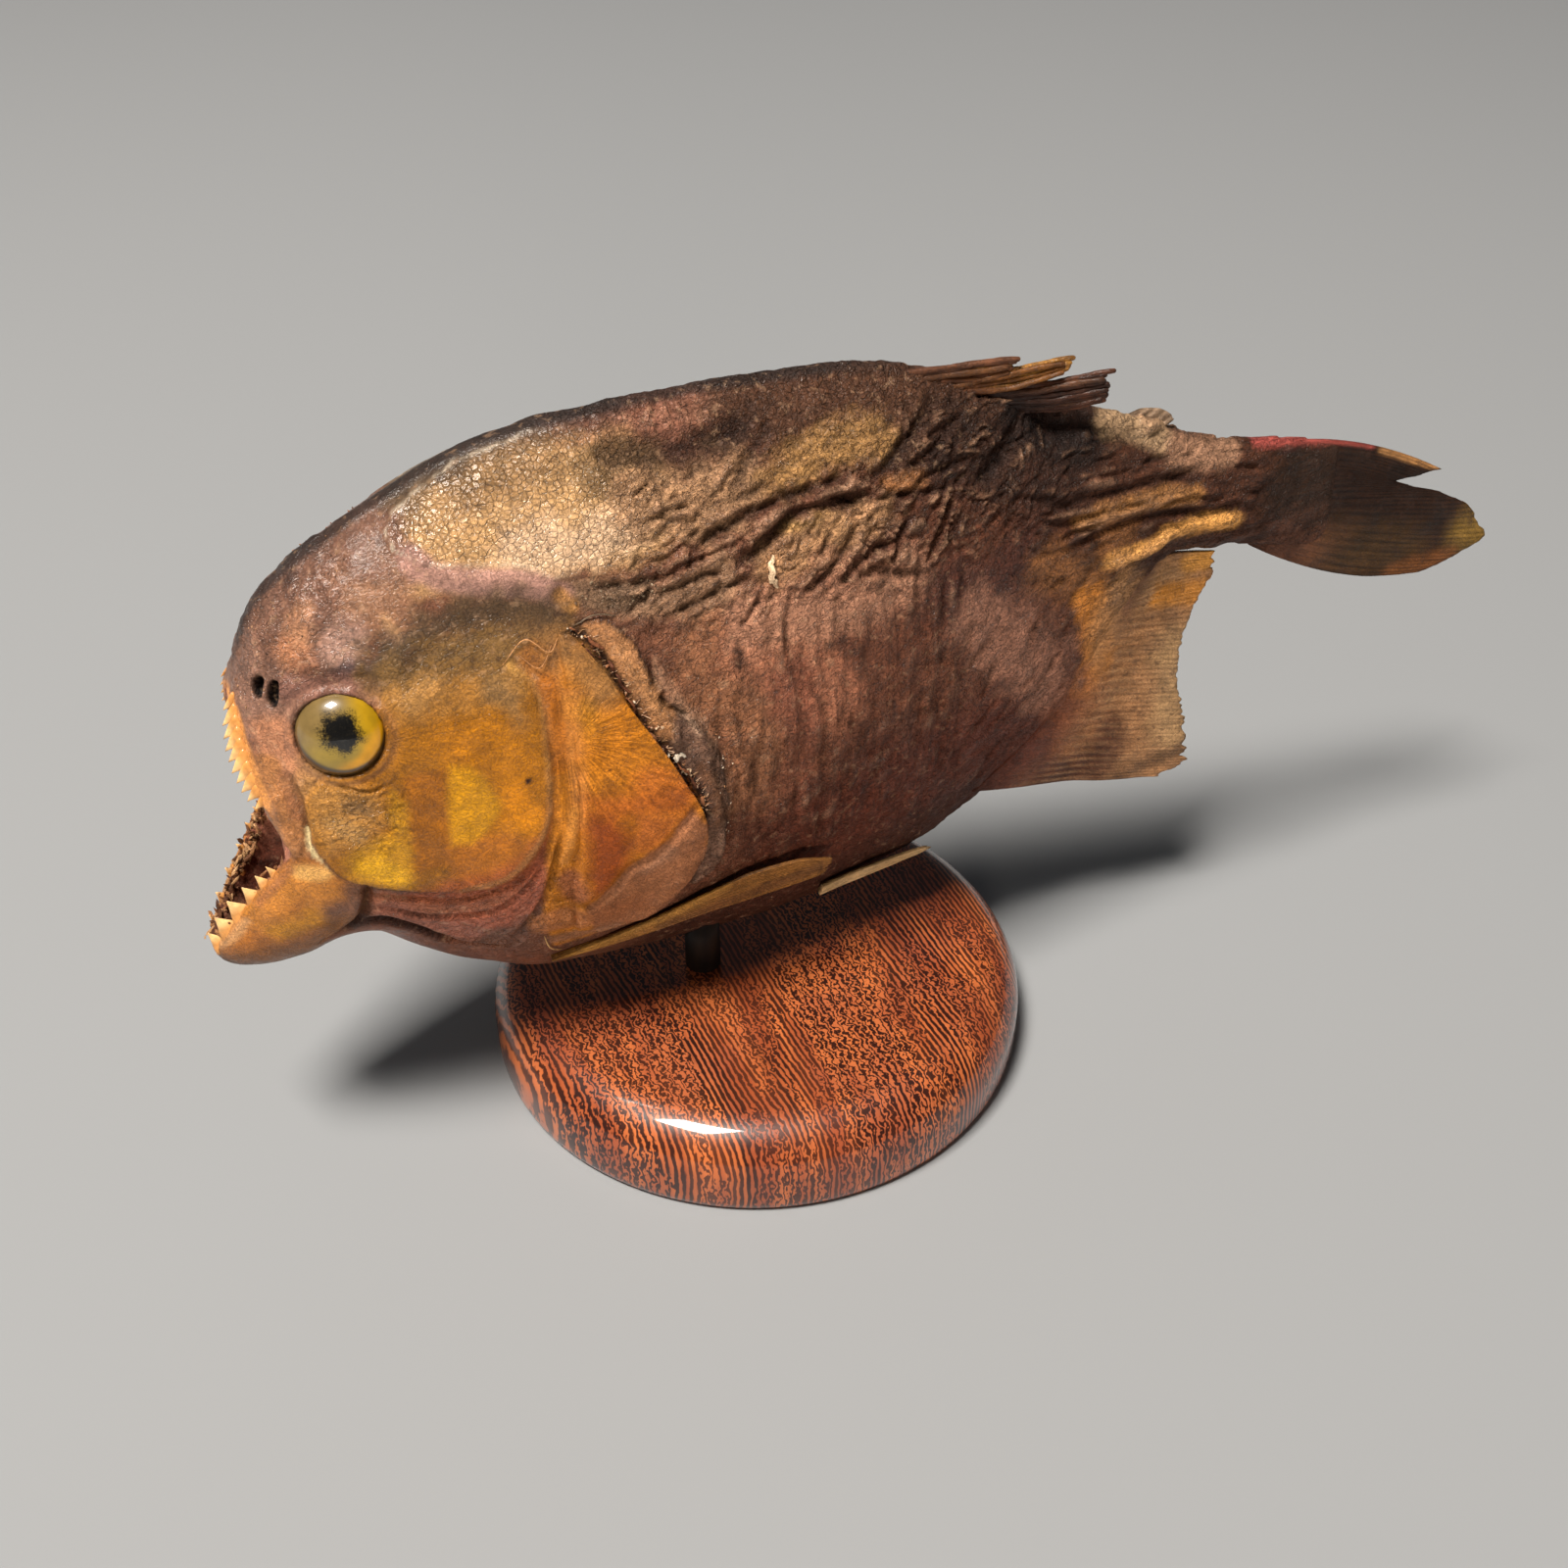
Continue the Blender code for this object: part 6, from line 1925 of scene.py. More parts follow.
    def finest(self, x: Field, y: Field, z: Field) -> Field:
        """Return the places round the nostrils and under the left eye that are split twice."""
        nostrils = (x > -62.2) & (x < -57.6) & (z > 58.6) & (z < 63.4)
        return nostrils | (y < 0) & (x > -58.6) & (x < -47) & (z > 40) & (z < 50.5)

    def build(self, shop: Workshop) -> None:
        """Make, shape and paint the skin.

        Args:
            shop: the workshop that takes the piece.
        """
        skin = self.body()
        cut(skin, self.gape())
        cut(skin, self.hollow())
        bm = bmesh.new()
        bm.from_mesh(skin.data)
        for lobe in self.lobes():
            join_bm(bm, lobe)
        bm.to_mesh(skin.data)
        bm.free()
        remesh = skin.modifiers.new("Remesh", "REMESH")
        remesh.mode = "VOXEL"
        remesh.voxel_size = self.voxel
        apply_modifiers(skin)
        self.refine(skin)
        mesh = skin.data
        points = read_points(mesh)
        facing = np.empty(len(mesh.vertices) * 3, np.float32)
        mesh.vertex_normals.foreach_get("vector", facing)
        flesh = Flesh(points)
        write_points(mesh, points + facing.reshape(-1, 3) * flesh.lift()[:, None])
        flesh.mark(mesh)
        polygons = [tuple(face.vertices) for face in mesh.polygons]
        shop.surface = BVHTree.FromPolygons(read_points(mesh).tolist(), polygons)
        shop.piece(skin, VarnishedHide, "body_skin", "head", "lower_jaw", "torso", "tail_stalk")


@dataclass
class GlassEye:
    """Flattened glass ball set in the socket."""

    side: Side
    segments: int = 128
    rings: int = 96
    pupil: tuple[float, float] = (-0.2, 1.55)

    def build(self, shop: Workshop) -> None:
        """Make the eye.

        Args:
            shop: the workshop that takes the piece.
        """
        bm = bmesh.new()
        bmesh.ops.create_uvsphere(bm, u_segments=self.segments, v_segments=self.rings, radius=1)
        bmesh.ops.scale(bm, vec=(EYE_RADIUS, EYE_RADIUS, EYE_DEPTH), verts=bm.verts)
        turn = BODY.one_normal(EYE, self.side.value).to_track_quat("Z", "Y").to_matrix()
        bmesh.ops.rotate(bm, cent=(0, 0, 0), matrix=turn, verts=bm.verts)
        centre = BODY.one_point(EYE, self.side.value, -EYE_SINK)
        bmesh.ops.translate(bm, vec=centre, verts=bm.verts)
        placed = read_points(bm)
        word = self.side.name.lower()
        item = to_mesh(f"glass_eye_{word}", bm)
        back, up = placed[:, 0] - centre.x, placed[:, 2] - centre.z
        away = np.hypot(back, up)
        iris = coat("#8c7428", len(placed))
        lay(iris, "#6e5a34", ease(0.5, 4, -0.6 * back + 0.8 * up))
        lay(iris, "#a07c10", ease(0.4, 3, back))
        # Bright yellow crescent low toward the back: painted light, as the glass dome focuses the lamp onto
        # the iris.
        lay(iris, "#d89800", ease(0.7, 2.7, 0.66 * back - 0.75 * up) * ease(1.3, 2.4, away))
        paint_points(item.data, "paint", iris)
        mark_points(item.data, ring=np.hypot(back - self.pupil[0], up - self.pupil[1]))
        shop.piece(item, GlassEyeFinish, "glass_eye", f"eye_{word}")


@dataclass
class GillCover:
    """The gill cover: a thin plate, free at its rear edge and tucked under the cheek's ridge at its front."""

    rows: tuple[tuple[float, float, float], ...] = (
        (17.2, -27, -24.6), (18.2, -28.4, -21.2), (19.8, -28.8, -18.2), (23, -29, -15), (26.5, -29.2, -12.6),
        (30, -29, -11.1), (33.4, -28.8, -10.9), (37, -28.4, -11.6), (41, -28, -13.3), (46, -27.4, -15.6),
        (53, -27.2, -19.4), (59, -27, -22.4), (62.4, -26.8, -24.6), (63.4, -26.4, -25.4))
    hub: tuple[float, float] = (-27.6, 50.4)
    rear_rise: float = 1.35
    thin: float = 0.35
    fine: float = 0.3
    flap_fold: Line = ((-12.4, 37.4), (-14.6, 34.6), (-18, 30.8), (-21.2, 29.9), (-24, 26.2), (-26.5, 24.6))

    def places(self, u: Field, v: Field) -> tuple[Field, Field]:
        """Return x and z at shares up the plate and back along it.

        Args:
            u: shares up the plate.
            v: shares back along it.

        Returns:
            x and z, one of each for each place.
        """
        heights, front, rear = zip(*self.rows)
        z = heights[0] + (heights[-1] - heights[0]) * u
        start, end = EvenCurve(heights, front)(z), EvenCurve(heights, rear)(z)
        return start + (end - start) * v, z

    def build(self, shop: Workshop, side: Side) -> None:
        """Make one gill cover.

        Args:
            shop: the workshop that takes the piece.
            side: the side of the fish.
        """

        def middle(u: Field, v: Field) -> Field:
            """Return the plate's middle surface.

            Args:
                u: shares up the plate.
                v: shares back along it.

            Returns:
                One point in each row.
            """
            x, z = self.places(u, v)
            angle = np.arctan2(z - self.hub[1], x - self.hub[0])
            away = np.hypot(x - self.hub[0], z - self.hub[1])
            streaks = cloud(flat(angle * 26, away * 0.1), 1, 2, 11)
            bulge = 0.3 + (self.rear_rise - 0.3) * ease(0.3, 1, v)
            bulge = bulge + 0.45 * ease(0, 0.3, v) * ease(0.75, 0.3, v)
            bulge = bulge - 1.3 * ease(0.12, 0, v) - 1.2 * ease(0.07, 0, u)
            waves, ripples = cloud(flat(x, z), 6, 3, 12), cloud(flat(x, z), 1.6, 3, 15)
            radial = 0.09 * streaks * ease(30, 38, z) * ease(1, 3, away)
            away, _, beside = line_reach(x, z, self.flap_fold)
            fold = -0.4 * bell(away, 0.5) + 0.25 * ease(0.2, 1.2, beside)
            lift = bulge + 0.18 * waves + radial + fold + 0.12 * ripples * ease(0.5, 1, v)
            return BODY.point(x, z, side.value, lift)

        def facing(u: Field, v: Field) -> Field:
            """Return the way the plate faces."""
            return BODY.normal(*self.places(u, v), side.value)

        def half(u: Field, v: Field) -> Field:
            """Return half the plate's thickness, thin at its free edge."""
            return self.thin * (1 - 0.6 * ease(0.9, 1, v)) * (1 - 0.5 * ease(0.08, 0, u))

        tall, wide = self.rows[-1][0] - self.rows[0][0], max(rear - front for _, front, rear in self.rows)
        bm = slab(int(tall / self.fine), int(wide / self.fine), middle, facing, half)
        flesh = Flesh(read_points(bm))
        flesh.lift()
        word = side.name.lower()
        item = to_mesh(f"gill_plate_{word}", bm)
        flesh.mark(item.data, True)
        shop.piece(item, VarnishedHide, "golden_plate", f"gill_cover_{word}")


@dataclass
class Jaw:
    """A row of triangular teeth along a jaw's edge."""

    name: str
    edge: Line
    teeth: tuple[tuple[float, float, float], ...]
    inset: float
    lean: tuple[float, float, float]
    along: tuple[float, float, float]
    rake: float
    swell: float
    root: float = 1
    far_share: float = 1

    def rim(self, z: float, side: Side) -> Vector:
        """Return the point of the jaw's edge at a height.

        Args:
            z: the height.
            side: the side of the fish.

        Returns:
            The point.
        """
        points = sorted(self.edge, key=lambda point: point[1])
        x = float(EvenCurve([p[1] for p in points], [p[0] for p in points])(np.array([z]))[0])
        return Vector((x, side.value * max(BODY.one_width(x + 0.8, z) - self.inset, 0), z))

    def tooth(self, foot: Vector, tip: Vector, breadth: float, wide: Vector) -> BMesh:
        """Make one blade-like tooth.

        Args:
            foot: middle of its root.
            tip: its point.
            breadth: half its breadth at the gum.
            wide: the way its blade runs, and the way its tip is raked.

        Returns:
            The tooth in mm.
        """
        bm = bmesh.new()
        bmesh.ops.create_cone(bm, cap_ends=True, segments=14, radius1=1, radius2=0.03, depth=1)
        bmesh.ops.translate(bm, vec=(0, 0, 0.5), verts=bm.verts)
        rings = [edge for edge in bm.edges if abs(edge.verts[0].co.z - edge.verts[1].co.z) > 0.5]
        bmesh.ops.subdivide_edges(bm, edges=rings, cuts=6)
        axis = tip - foot
        length = axis.length
        axis.normalize()
        wide = (wide - axis * wide.dot(axis)).normalized()
        thick = axis.cross(wide)
        points = read_points(bm)
        share = points[:, 2]
        swell = 1 + self.swell * np.sin(np.pi * np.clip(share * 1.1, 0, 1))
        across = (points[:, 0] * swell + self.rake * share ** 1.6) * breadth
        deep = points[:, 1] * breadth * 0.36 * swell
        write_points(bm, np.array(foot)[None] + np.outer(share * length, np.array(axis))
                     + np.outer(across, np.array(wide)) + np.outer(deep, np.array(thick)))
        return bm

    def build(self, shop: Workshop) -> None:
        """Make all the teeth of one jaw as one piece.

        Args:
            shop: the workshop that takes the piece.
        """
        bm = bmesh.new()
        shades = []
        for side in Side:
            mirror = Vector((1, side.value, 1))
            lean, run = (Vector(way) * mirror for way in (self.lean, self.along))
            lean.normalize()
            share = self.far_share if side is Side.RIGHT else 1
            for z, length, breadth in self.teeth:
                rim = self.rim(z, side)
                foot, tip = rim - lean * self.root, rim + lean * length * share
                tooth = self.tooth(foot, tip, breadth * share ** 0.7, run)
                shades.append((read_points(tooth) - np.array(rim)) @ np.array(lean) / length)
                join_bm(bm, tooth)
        item = to_mesh(self.name, bm)
        reach = np.concatenate(shades)
        paint = coat("#c68848", len(reach))
        lay(paint, "#e6b97c", ease(-0.1, 0.55, reach))
        lay(paint, "#8a5a34", 0.5 * ease(0.86, 1, reach))
        paint_points(item.data, "paint", paint)
        shop.piece(item, Ivory, "jaw_skin")


@dataclass
class Crumbs:
    """Dried crumbs, fibres and stray hairs that stick to the skin."""

    shop: Workshop
    seed: int = 3
    pale: tuple[str, ...] = ("#caa283", "#e3cdb2", "#a8784f")
    brown: tuple[str, ...] = ("#7a4a30", "#5a3422", "#946040", "#3c2015")
    hair: tuple[str, ...] = ("#c9a283", "#a87c58", "#b08860", "#8a5c40")
    crust: tuple[str, ...] = ("#4a2c1c", "#6a4228", "#805434", "#9a6c46", "#5a3822", "#b48a60")
    nape_dust: tuple[str, ...] = ("#6a5240", "#7e6a54", "#94806a", "#54402f")
    brow_dust: tuple[str, ...] = ("#8a6048", "#5a4236", "#a88060")
    nape_edge: Line = ((-22.4, 67.8), (-20, 66.9), (-17, 66.4), (-13, 66.6))
    brow: Line = ((-62, 60), (-59, 66), (-54, 71), (-46, 76))
    flank_edge: Line = ((-8.6, 46), (-7.4, 38), (-7.2, 30))
    lumps: tuple[tuple, ...] = ((-14, 44.9, 0.65, "#e0d0ba", 12), (-16.1, 49.5, 0.3, "#c8a888", 6),
                                (-19.1, 56, 0.26, "#c09a78", 5), (-22.1, 60.3, 0.26, "#b8926c", 5),
                                (-13, 42.6, 0.4, "#cfae8c", 6))
    strays: tuple[tuple, ...] = (
        (((0.9, 67.4), (0.2, 66), (0.4, 64.6), (1, 63.4)), 0.42, "#dcbc98", 0.5),
        (((-32.2, 19.1), (-31.4, 16.6), (-29.6, 14.3)), 0.1, "#c9a06a", 0.5),
        (((-33.6, 61), (-30.6, 63.6), (-28, 61.6), (-26.6, 63)), 0.07, "#c08a5a", 0.4),
        (((-31.6, 62), (-29.4, 60), (-27.4, 62.4)), 0.06, "#b07c50", 0.4),
        (((-24.6, 64), (-22, 64.8), (-19.4, 64.2)), 0.1, "#6a5a48", 0.3))

    def __post_init__(self) -> None:
        """Start an empty heap."""
        self.bm = bmesh.new()
        self.colours: list[Field] = []
        maker = random.Random(self.seed)
        self.draw, self.gauss = maker.uniform, maker.gauss
        self.choice, self.index = maker.choice, maker.randrange

    def add(self, form: BMesh, code: str) -> None:
        """Add one closed form with its colour."""
        self.colours.append(coat(code, len(form.verts)))
        join_bm(self.bm, form)

    def chip(self, place: Vector, radius: float, code: str, stretch: float = 1) -> None:
        """Add one angular chip, turned at random.

        Args:
            place: its middle.
            radius: its radius.
            code: its colour.
            stretch: its length against its radius.
        """
        form = bmesh.new()
        bmesh.ops.create_icosphere(form, subdivisions=1, radius=radius)
        for vert in form.verts:
            vert.co *= self.draw(0.65, 1.25)
        bmesh.ops.scale(form, vec=(self.draw(0.5, 1), self.draw(0.4, 0.8), stretch), verts=form.verts)
        turn = Euler([self.draw(-0.9, 0.9) for _ in range(3)]).to_matrix()
        bmesh.ops.rotate(form, cent=(0, 0, 0), matrix=turn, verts=form.verts)
        bmesh.ops.translate(form, vec=place, verts=form.verts)
        self.add(form, code)

    def crumb(self, x: float, z: float, radius: float, code: str, side: float = -1, pieces: int = 1) -> None:
        """Stick a crumb on the skin, broken into pieces.

        Args:
            x: its place along the fish.
            z: its height.
            radius: its radius.
            code: its colour.
            side: the side of the fish, as the sign of y.
            pieces: how many pieces it is in.
        """
        for _ in range(pieces):
            spread = 0.7 * radius if pieces > 1 else 0
            hit = self.shop.touch(x + self.gauss(0, spread), z + self.gauss(0, spread), side)
            size = radius * (self.draw(0.3, 0.7) if pieces > 1 else 1)
            if hit:
                self.chip(hit[0] + hit[1] * size * 0.3, size, code, self.draw(0.7, 1.7))

    def fibre(self, line: Line, radius: float, code: str, rise: float, side: float = -1) -> None:
        """Lay a thread over the skin along a line, lifted off it in its middle by rise.

        Args:
            line: its run, in side view.
            radius: its radius.
            code: its colour.
            rise: how far its middle stands off.
            side: the side of the fish, as the sign of y.
        """
        hits = [self.shop.touch(x, z, side) for x, z in smooth_line(line, 6)]
        if None in hits:
            return
        path = [place + facing * (0.4 * radius + rise * math.sin(math.pi * n / (len(hits) - 1)))
                for n, (place, facing) in enumerate(hits)]
        radii = [radius * math.sin(math.pi * (n + 0.6) / (len(path) + 0.2)) ** 0.5 for n in range(len(path))]
        self.add(tube(path, radii, 6), code)

    def scatter(self, line: Line, reach: float, count: int, radii: tuple[float, float],
                codes: tuple[str, ...], side: float) -> None:
        """Scatter crumbs along a line.

        Args:
            line: where they lie, in side view.
            reach: how far they stray from it.
            count: how many there are.
            radii: the smallest and the largest radius.
            codes: the colours to pick from.
            side: the side of the fish, as the sign of y.
        """
        places = smooth_line(line)
        for _ in range(count):
            x, z = self.choice(places.tolist())
            x, z = x + self.gauss(0, reach), z + self.gauss(0, reach)
            self.crumb(x, z, self.draw(*radii), self.choice(codes), side)

    def threads(self, line: Line, reach: float, count: int, length: float, side: float) -> None:
        """Scatter brown fibres that run roughly along a line.

        Args:
            line: what they follow, in side view.
            reach: how far they stray from it.
            count: how many there are.
            length: their usual length.
            side: the side of the fish, as the sign of y.
        """
        places = smooth_line(line)
        for _ in range(count):
            n = self.index(len(places) - 1)
            (x, z), (run, rise) = places[n], places[n + 1] - places[n]
            scale = length * self.draw(0.5, 1.2) / math.hypot(run, rise) / 3
            x, z = x + self.gauss(0, reach), z + self.gauss(0, reach)
            path = []
            for _ in range(4):
                path.append((x, z))
                x += run * scale + self.gauss(0, 0.25)
                z += rise * scale + self.gauss(0, 0.25)
            radius, code = self.draw(0.12, 0.26), self.choice(self.brown)
            self.fibre(tuple(path), radius, code, self.draw(0, 0.4), side)

    def bristles(self, line: Line, count: int, side: float) -> None:
        """Stand short pale hairs across a line, as torn skin leaves them.

        Args:
            line: what they cross, in side view.
            count: how many there are.
            side: the side of the fish, as the sign of y.
        """
        places = smooth_line(line)
        for _ in range(count):
            n = self.index(len(places) - 1)
            (x, z), (run, rise) = places[n], places[n + 1] - places[n]
            long = self.draw(0.3, 0.9) / math.hypot(run, rise)
            tilt = self.gauss(0, 0.5)
            x, z = x + self.gauss(0.3, 0.3), z + self.gauss(0.2, 0.3)
            end = (x - long * (rise - tilt * run), z + long * (run + tilt * rise))
            self.fibre(((x, z), end), self.draw(0.035, 0.07), self.choice(self.hair), 0.2, side)

    def mouth_crust(self) -> None:
        """Line the lower jaw's inner edges and the mouth's corners with dried flesh."""
        rim = smooth_line(JAW_RIM)
        for side, count in ((1, 420), (-1, 150)):
            for _ in range(count):
                x, z = rim[int(self.draw(0.12, 1) * (len(rim) - 1))]
                inward = max(BODY.one_width(x + 0.8, z) - 1.5 - abs(self.gauss(0, 0.8)), 0.2)
                place = Vector((x + self.gauss(0.5, 0.4), side * inward, z - 0.5 + self.gauss(0, 0.5)))
                self.chip(place, self.draw(0.15, 0.42), self.choice(self.crust), self.draw(1, 3))

    def build(self) -> None:
        """Make the whole heap as one piece."""
        for way in (side.value for side in Side):
            self.scatter(GILL_CRACK, 0.3, 90, (0.08, 0.24), self.pale + self.brown, way)
            self.threads(GILL_CRACK, 0.4, 14, 3, way)
            self.bristles(GILL_CRACK, 64, way)
            self.scatter(self.flank_edge, 0.4, 26, (0.06, 0.15), self.pale, way)
            self.scatter(self.nape_edge, 0.8, 64, (0.08, 0.26), self.nape_dust, way)
            self.scatter(self.brow, 1.4, 90, (0.06, 0.18), self.brow_dust, way)
        for *lump, pieces in self.lumps:
            self.crumb(*lump, pieces=pieces)
        for stray in self.strays:
            self.fibre(*stray)
        self.mouth_crust()
        item = to_mesh("dried_crumbs", self.bm)
        paint_points(item.data, "paint", np.concatenate(self.colours))
        self.shop.piece(item, VarnishedHide, "body_skin")
        item.data.shade_flat()


@dataclass
class Fin:
    """A median fin: rays as ridges in its own surface, with a ragged free edge."""

    name: str
    nodes: tuple[str, ...]
    roots: Line
    tips: Line
    rays: int
    per_ray: int = 6
    stations: int = 60
    ray_thick: tuple[float, float] = (1.3, 0.6)
    membrane: tuple[float, float] = (0.7, 0.25)
    root_thick: float = 0
    ray_start: float = 0
    ragged: float = 0.06
    branch: float = 0.45
    bow: float = 0
    lean: float = 0
    sink: float = 1.2
    seed: int = 0
    root_colour: str = "#5e3d2c"
    washes: tuple[Wash, ...] = ()
    ray_light: str = "#a97c55"
    ray_share: float = 0.35
    shine: float = 0.15
    body_share: tuple[float, float] = (0, 0)
    groove: float = 0.45
    streaks: float = 0.6
    streaks_per_ray: float = 2.4

    def line(self, points: Line) -> tuple[EvenCurve, EvenCurve]:
        """Return a line's x and z as curves over its share."""
        numbers = [n / (len(points) - 1) for n in range(len(points))]
        return EvenCurve(numbers, [p[0] for p in points]), EvenCurve(numbers, [p[1] for p in points])

    def ray_phase(self, u: Field, v: Field) -> Field:
        """Return 1 on a ray and 0 midway between two, with each ray split in two past its fork.

        Args:
            u: shares across the rays.
            v: shares from the root to the edge.

        Returns:
            One share for each place.
        """
        turn = u * self.rays
        single = 0.5 + 0.5 * np.cos(2 * np.pi * (turn - 0.5))
        double = 0.5 + 0.5 * np.cos(4 * np.pi * (turn - 0.5) + np.pi)
        fork = ease(self.branch, self.branch + 0.25, v)
        return single * (1 - fork) + double * fork

    def edge(self, u: Field) -> Field:
        """Return how far the fin reaches, ragged as a dried fin breaks.

        Args:
            u: shares across the rays.

        Returns:
            The share of the full reach for each place.
        """
        places = flat(u * self.rays, 0 * u)
        torn = 0.7 * cloud(places, 4, 2, 50 + self.seed) + 0.6 * cloud(places, 1.1, 3, 60 + self.seed)
        return 1 - self.ragged * np.clip(0.5 + torn, 0, 1.6)

    def middle(self, u: Field, v: Field) -> Field:
        """Return the fin's middle surface.

        Args:
            u: shares across the rays.
            v: shares from the root to the edge.

        Returns:
            One point in each row.
        """
        root_x, root_z = (curve(u) for curve in self.line(self.roots))
        tip_x, tip_z = (curve(u) for curve in self.line(self.tips))
        start = -self.sink / np.hypot(tip_x - root_x, tip_z - root_z)
        reach = start + (self.edge(u) - start) * v
        swell = self.bow * (2 * u - 1) * 4 * v * (1 - v)
        x = root_x + (tip_x - root_x) * reach
        z = root_z + (tip_z - root_z) * reach + swell
        wave = 0.35 * cloud(flat(x, z), 9, 2, 20 + self.seed) * ease(0, 0.5, v)
        return np.column_stack((x, self.lean * v * v + wave, z))

    def facing(self, u: Field, v: Field) -> Field:
        """Return the way the fin faces."""
        return np.tile((0, 1, 0), (len(u), 1))

    def half(self, u: Field, v: Field) -> Field:
        """Return half the fin's thickness.

        Args:
            u: shares across the rays.
            v: shares from the root to the edge.

        Returns:
            One half thickness for each place.
        """
        ray = self.ray_thick[0] + (self.ray_thick[1] - self.ray_thick[0]) * v
        skin = self.membrane[0] + (self.membrane[1] - self.membrane[0]) * v
        raised = (ray - skin) * self.ray_phase(u, v) ** 1.5
        if self.ray_start:
            raised = raised * ease(0.4 * self.ray_start, 1.4 * self.ray_start, v)
        thick = skin + raised + self.root_thick * ease(0.55, 0, v)
        return 0.5 * thick * (1 - 0.5 * ease(0.97, 1, v))

    def build(self, shop: Workshop) -> None:
        """Make and paint the fin.

        Args:
            shop: the workshop that takes the piece.
        """
        rows = self.rays * self.per_ray
        bm = slab(rows, self.stations, self.middle, self.facing, self.half)
        placed = read_points(bm)
        mesh = to_mesh(self.name, bm)
        _, u, v = grid(rows, self.stations)
        u, v = np.concatenate((u, u)), np.concatenate((v, v))
        blotches = 0.6 * cloud(placed, 2, 3, 31) + 0.5 * cloud(placed, 8, 2, 32)
        paint = coat(self.root_colour, len(u))
        for wash in self.washes:
            lay(paint, wash.colour, wash.cover(placed[:, 0], placed[:, 2], blotches))
        if self.body_share[1]:
            flesh = Flesh(placed)
            flesh.lift()
            paint += (flesh.colour() - paint) * ease(self.body_share[1], self.body_share[0], v)[:, None]
        phase = self.ray_phase(u, v)
        shown = ease(0.5 * self.ray_start, 1.5 * self.ray_start, v) if self.ray_start else 1
        # Paler along the raised rays: partly their own colour, partly painted highlight on the ridges.
        light = np.clip(phase ** 2 * self.ray_share * (0.8 + 0.6 * blotches), 0, 1) * shown
        lay(paint, self.ray_light, light)
        # Darker in the grooves between the rays: painted shade.
        paint *= (1 - self.groove * (1 - phase) ** 3 * shown)[:, None]
        paint_points(mesh.data, "paint", paint)
        mark_points(mesh.data, gloss=np.clip(self.shine + 0.25 * blotches, 0, 1),
                    streaked=np.full(len(u), self.streaks))
        mark_fan(mesh.data, flat(u * self.rays * self.streaks_per_ray, v * 5))
        shop.piece(mesh, DriedFin, "dried_fin", *self.nodes)


@dataclass
class FlankFin(Fin):
    """A paired fin that lies back along the flank."""

    side: Side = Side.LEFT
    lift_root: float = 0.6
    lift_tip: float = 2.6

    def middle(self, u: Field, v: Field) -> Field:
        """Return the fin's middle surface over the flank.

        Args:
            u: shares across the rays.
            v: shares from the root to the edge.

        Returns:
            One point in each row.
        """
        upper_x, upper_z = (curve(v) for curve in self.line(self.tips))
        lower_x, lower_z = (curve(v) for curve in self.line(self.roots))
        reach = self.edge(u)
        x = lower_x + (upper_x - lower_x) * u
        z = lower_z + (upper_z - lower_z) * u
        x = x - (1 - reach) * 14 * ease(0.55, 1, v)
        lift = self.lift_root + (self.lift_tip - self.lift_root) * v * v
        return BODY.point(x, z, self.side.value, lift)

    def facing(self, u: Field, v: Field) -> Field:
        """Return the way the fin faces, the flank's own."""
        place = self.middle(u, v)
        return BODY.normal(place[:, 0], place[:, 2], self.side.value)


@dataclass
class RayBundle:
    """Rays that dried side by side into a flat strip, as what is left of the dorsal fin."""

    name: str
    nodes: tuple[str, ...]
    top: Line
    low: Line
    lean: tuple[float, float]
    codes: tuple[str, ...]
    rays: int
    radius: float
    seed: int

    def build(self, shop: Workshop) -> None:
        """Make the strip; its rays run from their roots in the back to tips that broke off unevenly.

        Args:
            shop: the workshop that takes the piece.
        """
        bm = bmesh.new()
        paint = []
        maker = random.Random(self.seed)
        upper, lower = smooth_line(self.top, 8), smooth_line(self.low, 8)
        share = np.linspace(0, 1, len(upper))
        for number in range(self.rays):
            part = number / max(self.rays - 1, 1)
            reach = maker.uniform(0.9, 1) if number else 1
            line = upper + (lower - upper) * part
            line = line[0] + (line - line[0]) * reach
            across = self.lean[0] + self.lean[1] * share ** 1.4 + maker.uniform(-0.3, 0.3) - 0.25 * part
            path = [Vector((x, y, z + 0.08 * math.sin(9 * s + number)))
                    for (x, z), y, s in zip(line, across, share)]
            knobs = 1 + 0.1 * np.sin(share * 23 + 2 * number) + 0.05 * np.sin(share * 61)
            radii = self.radius * maker.uniform(0.85, 1.15) * knobs * (1.2 - 0.3 * share)
            ray = tube(path, radii.tolist(), 12)
            along = ease(line[0, 0], line[-1, 0], read_points(ray)[:, 0])
            shade = coat(self.codes[0], len(along))
            tip_code = self.codes[1 + number % (len(self.codes) - 1)]
            lay(shade, tip_code, along * (1 - 0.5 * ease(0.9, 1, along)))
            paint.append(shade)
            join_bm(bm, ray)
        item = to_mesh(self.name, bm)
        points = read_points(item.data)
        blotches = 1 + 0.4 * cloud(points, 1.5, 3, 71)
        paint_points(item.data, "paint", np.concatenate(paint) * blotches[:, None])
        mark_points(item.data, gloss=np.full(len(points), 0.35), drawn=np.ones(len(points)))
        shop.piece(item, DriedFin, "dried_fin", *self.nodes)


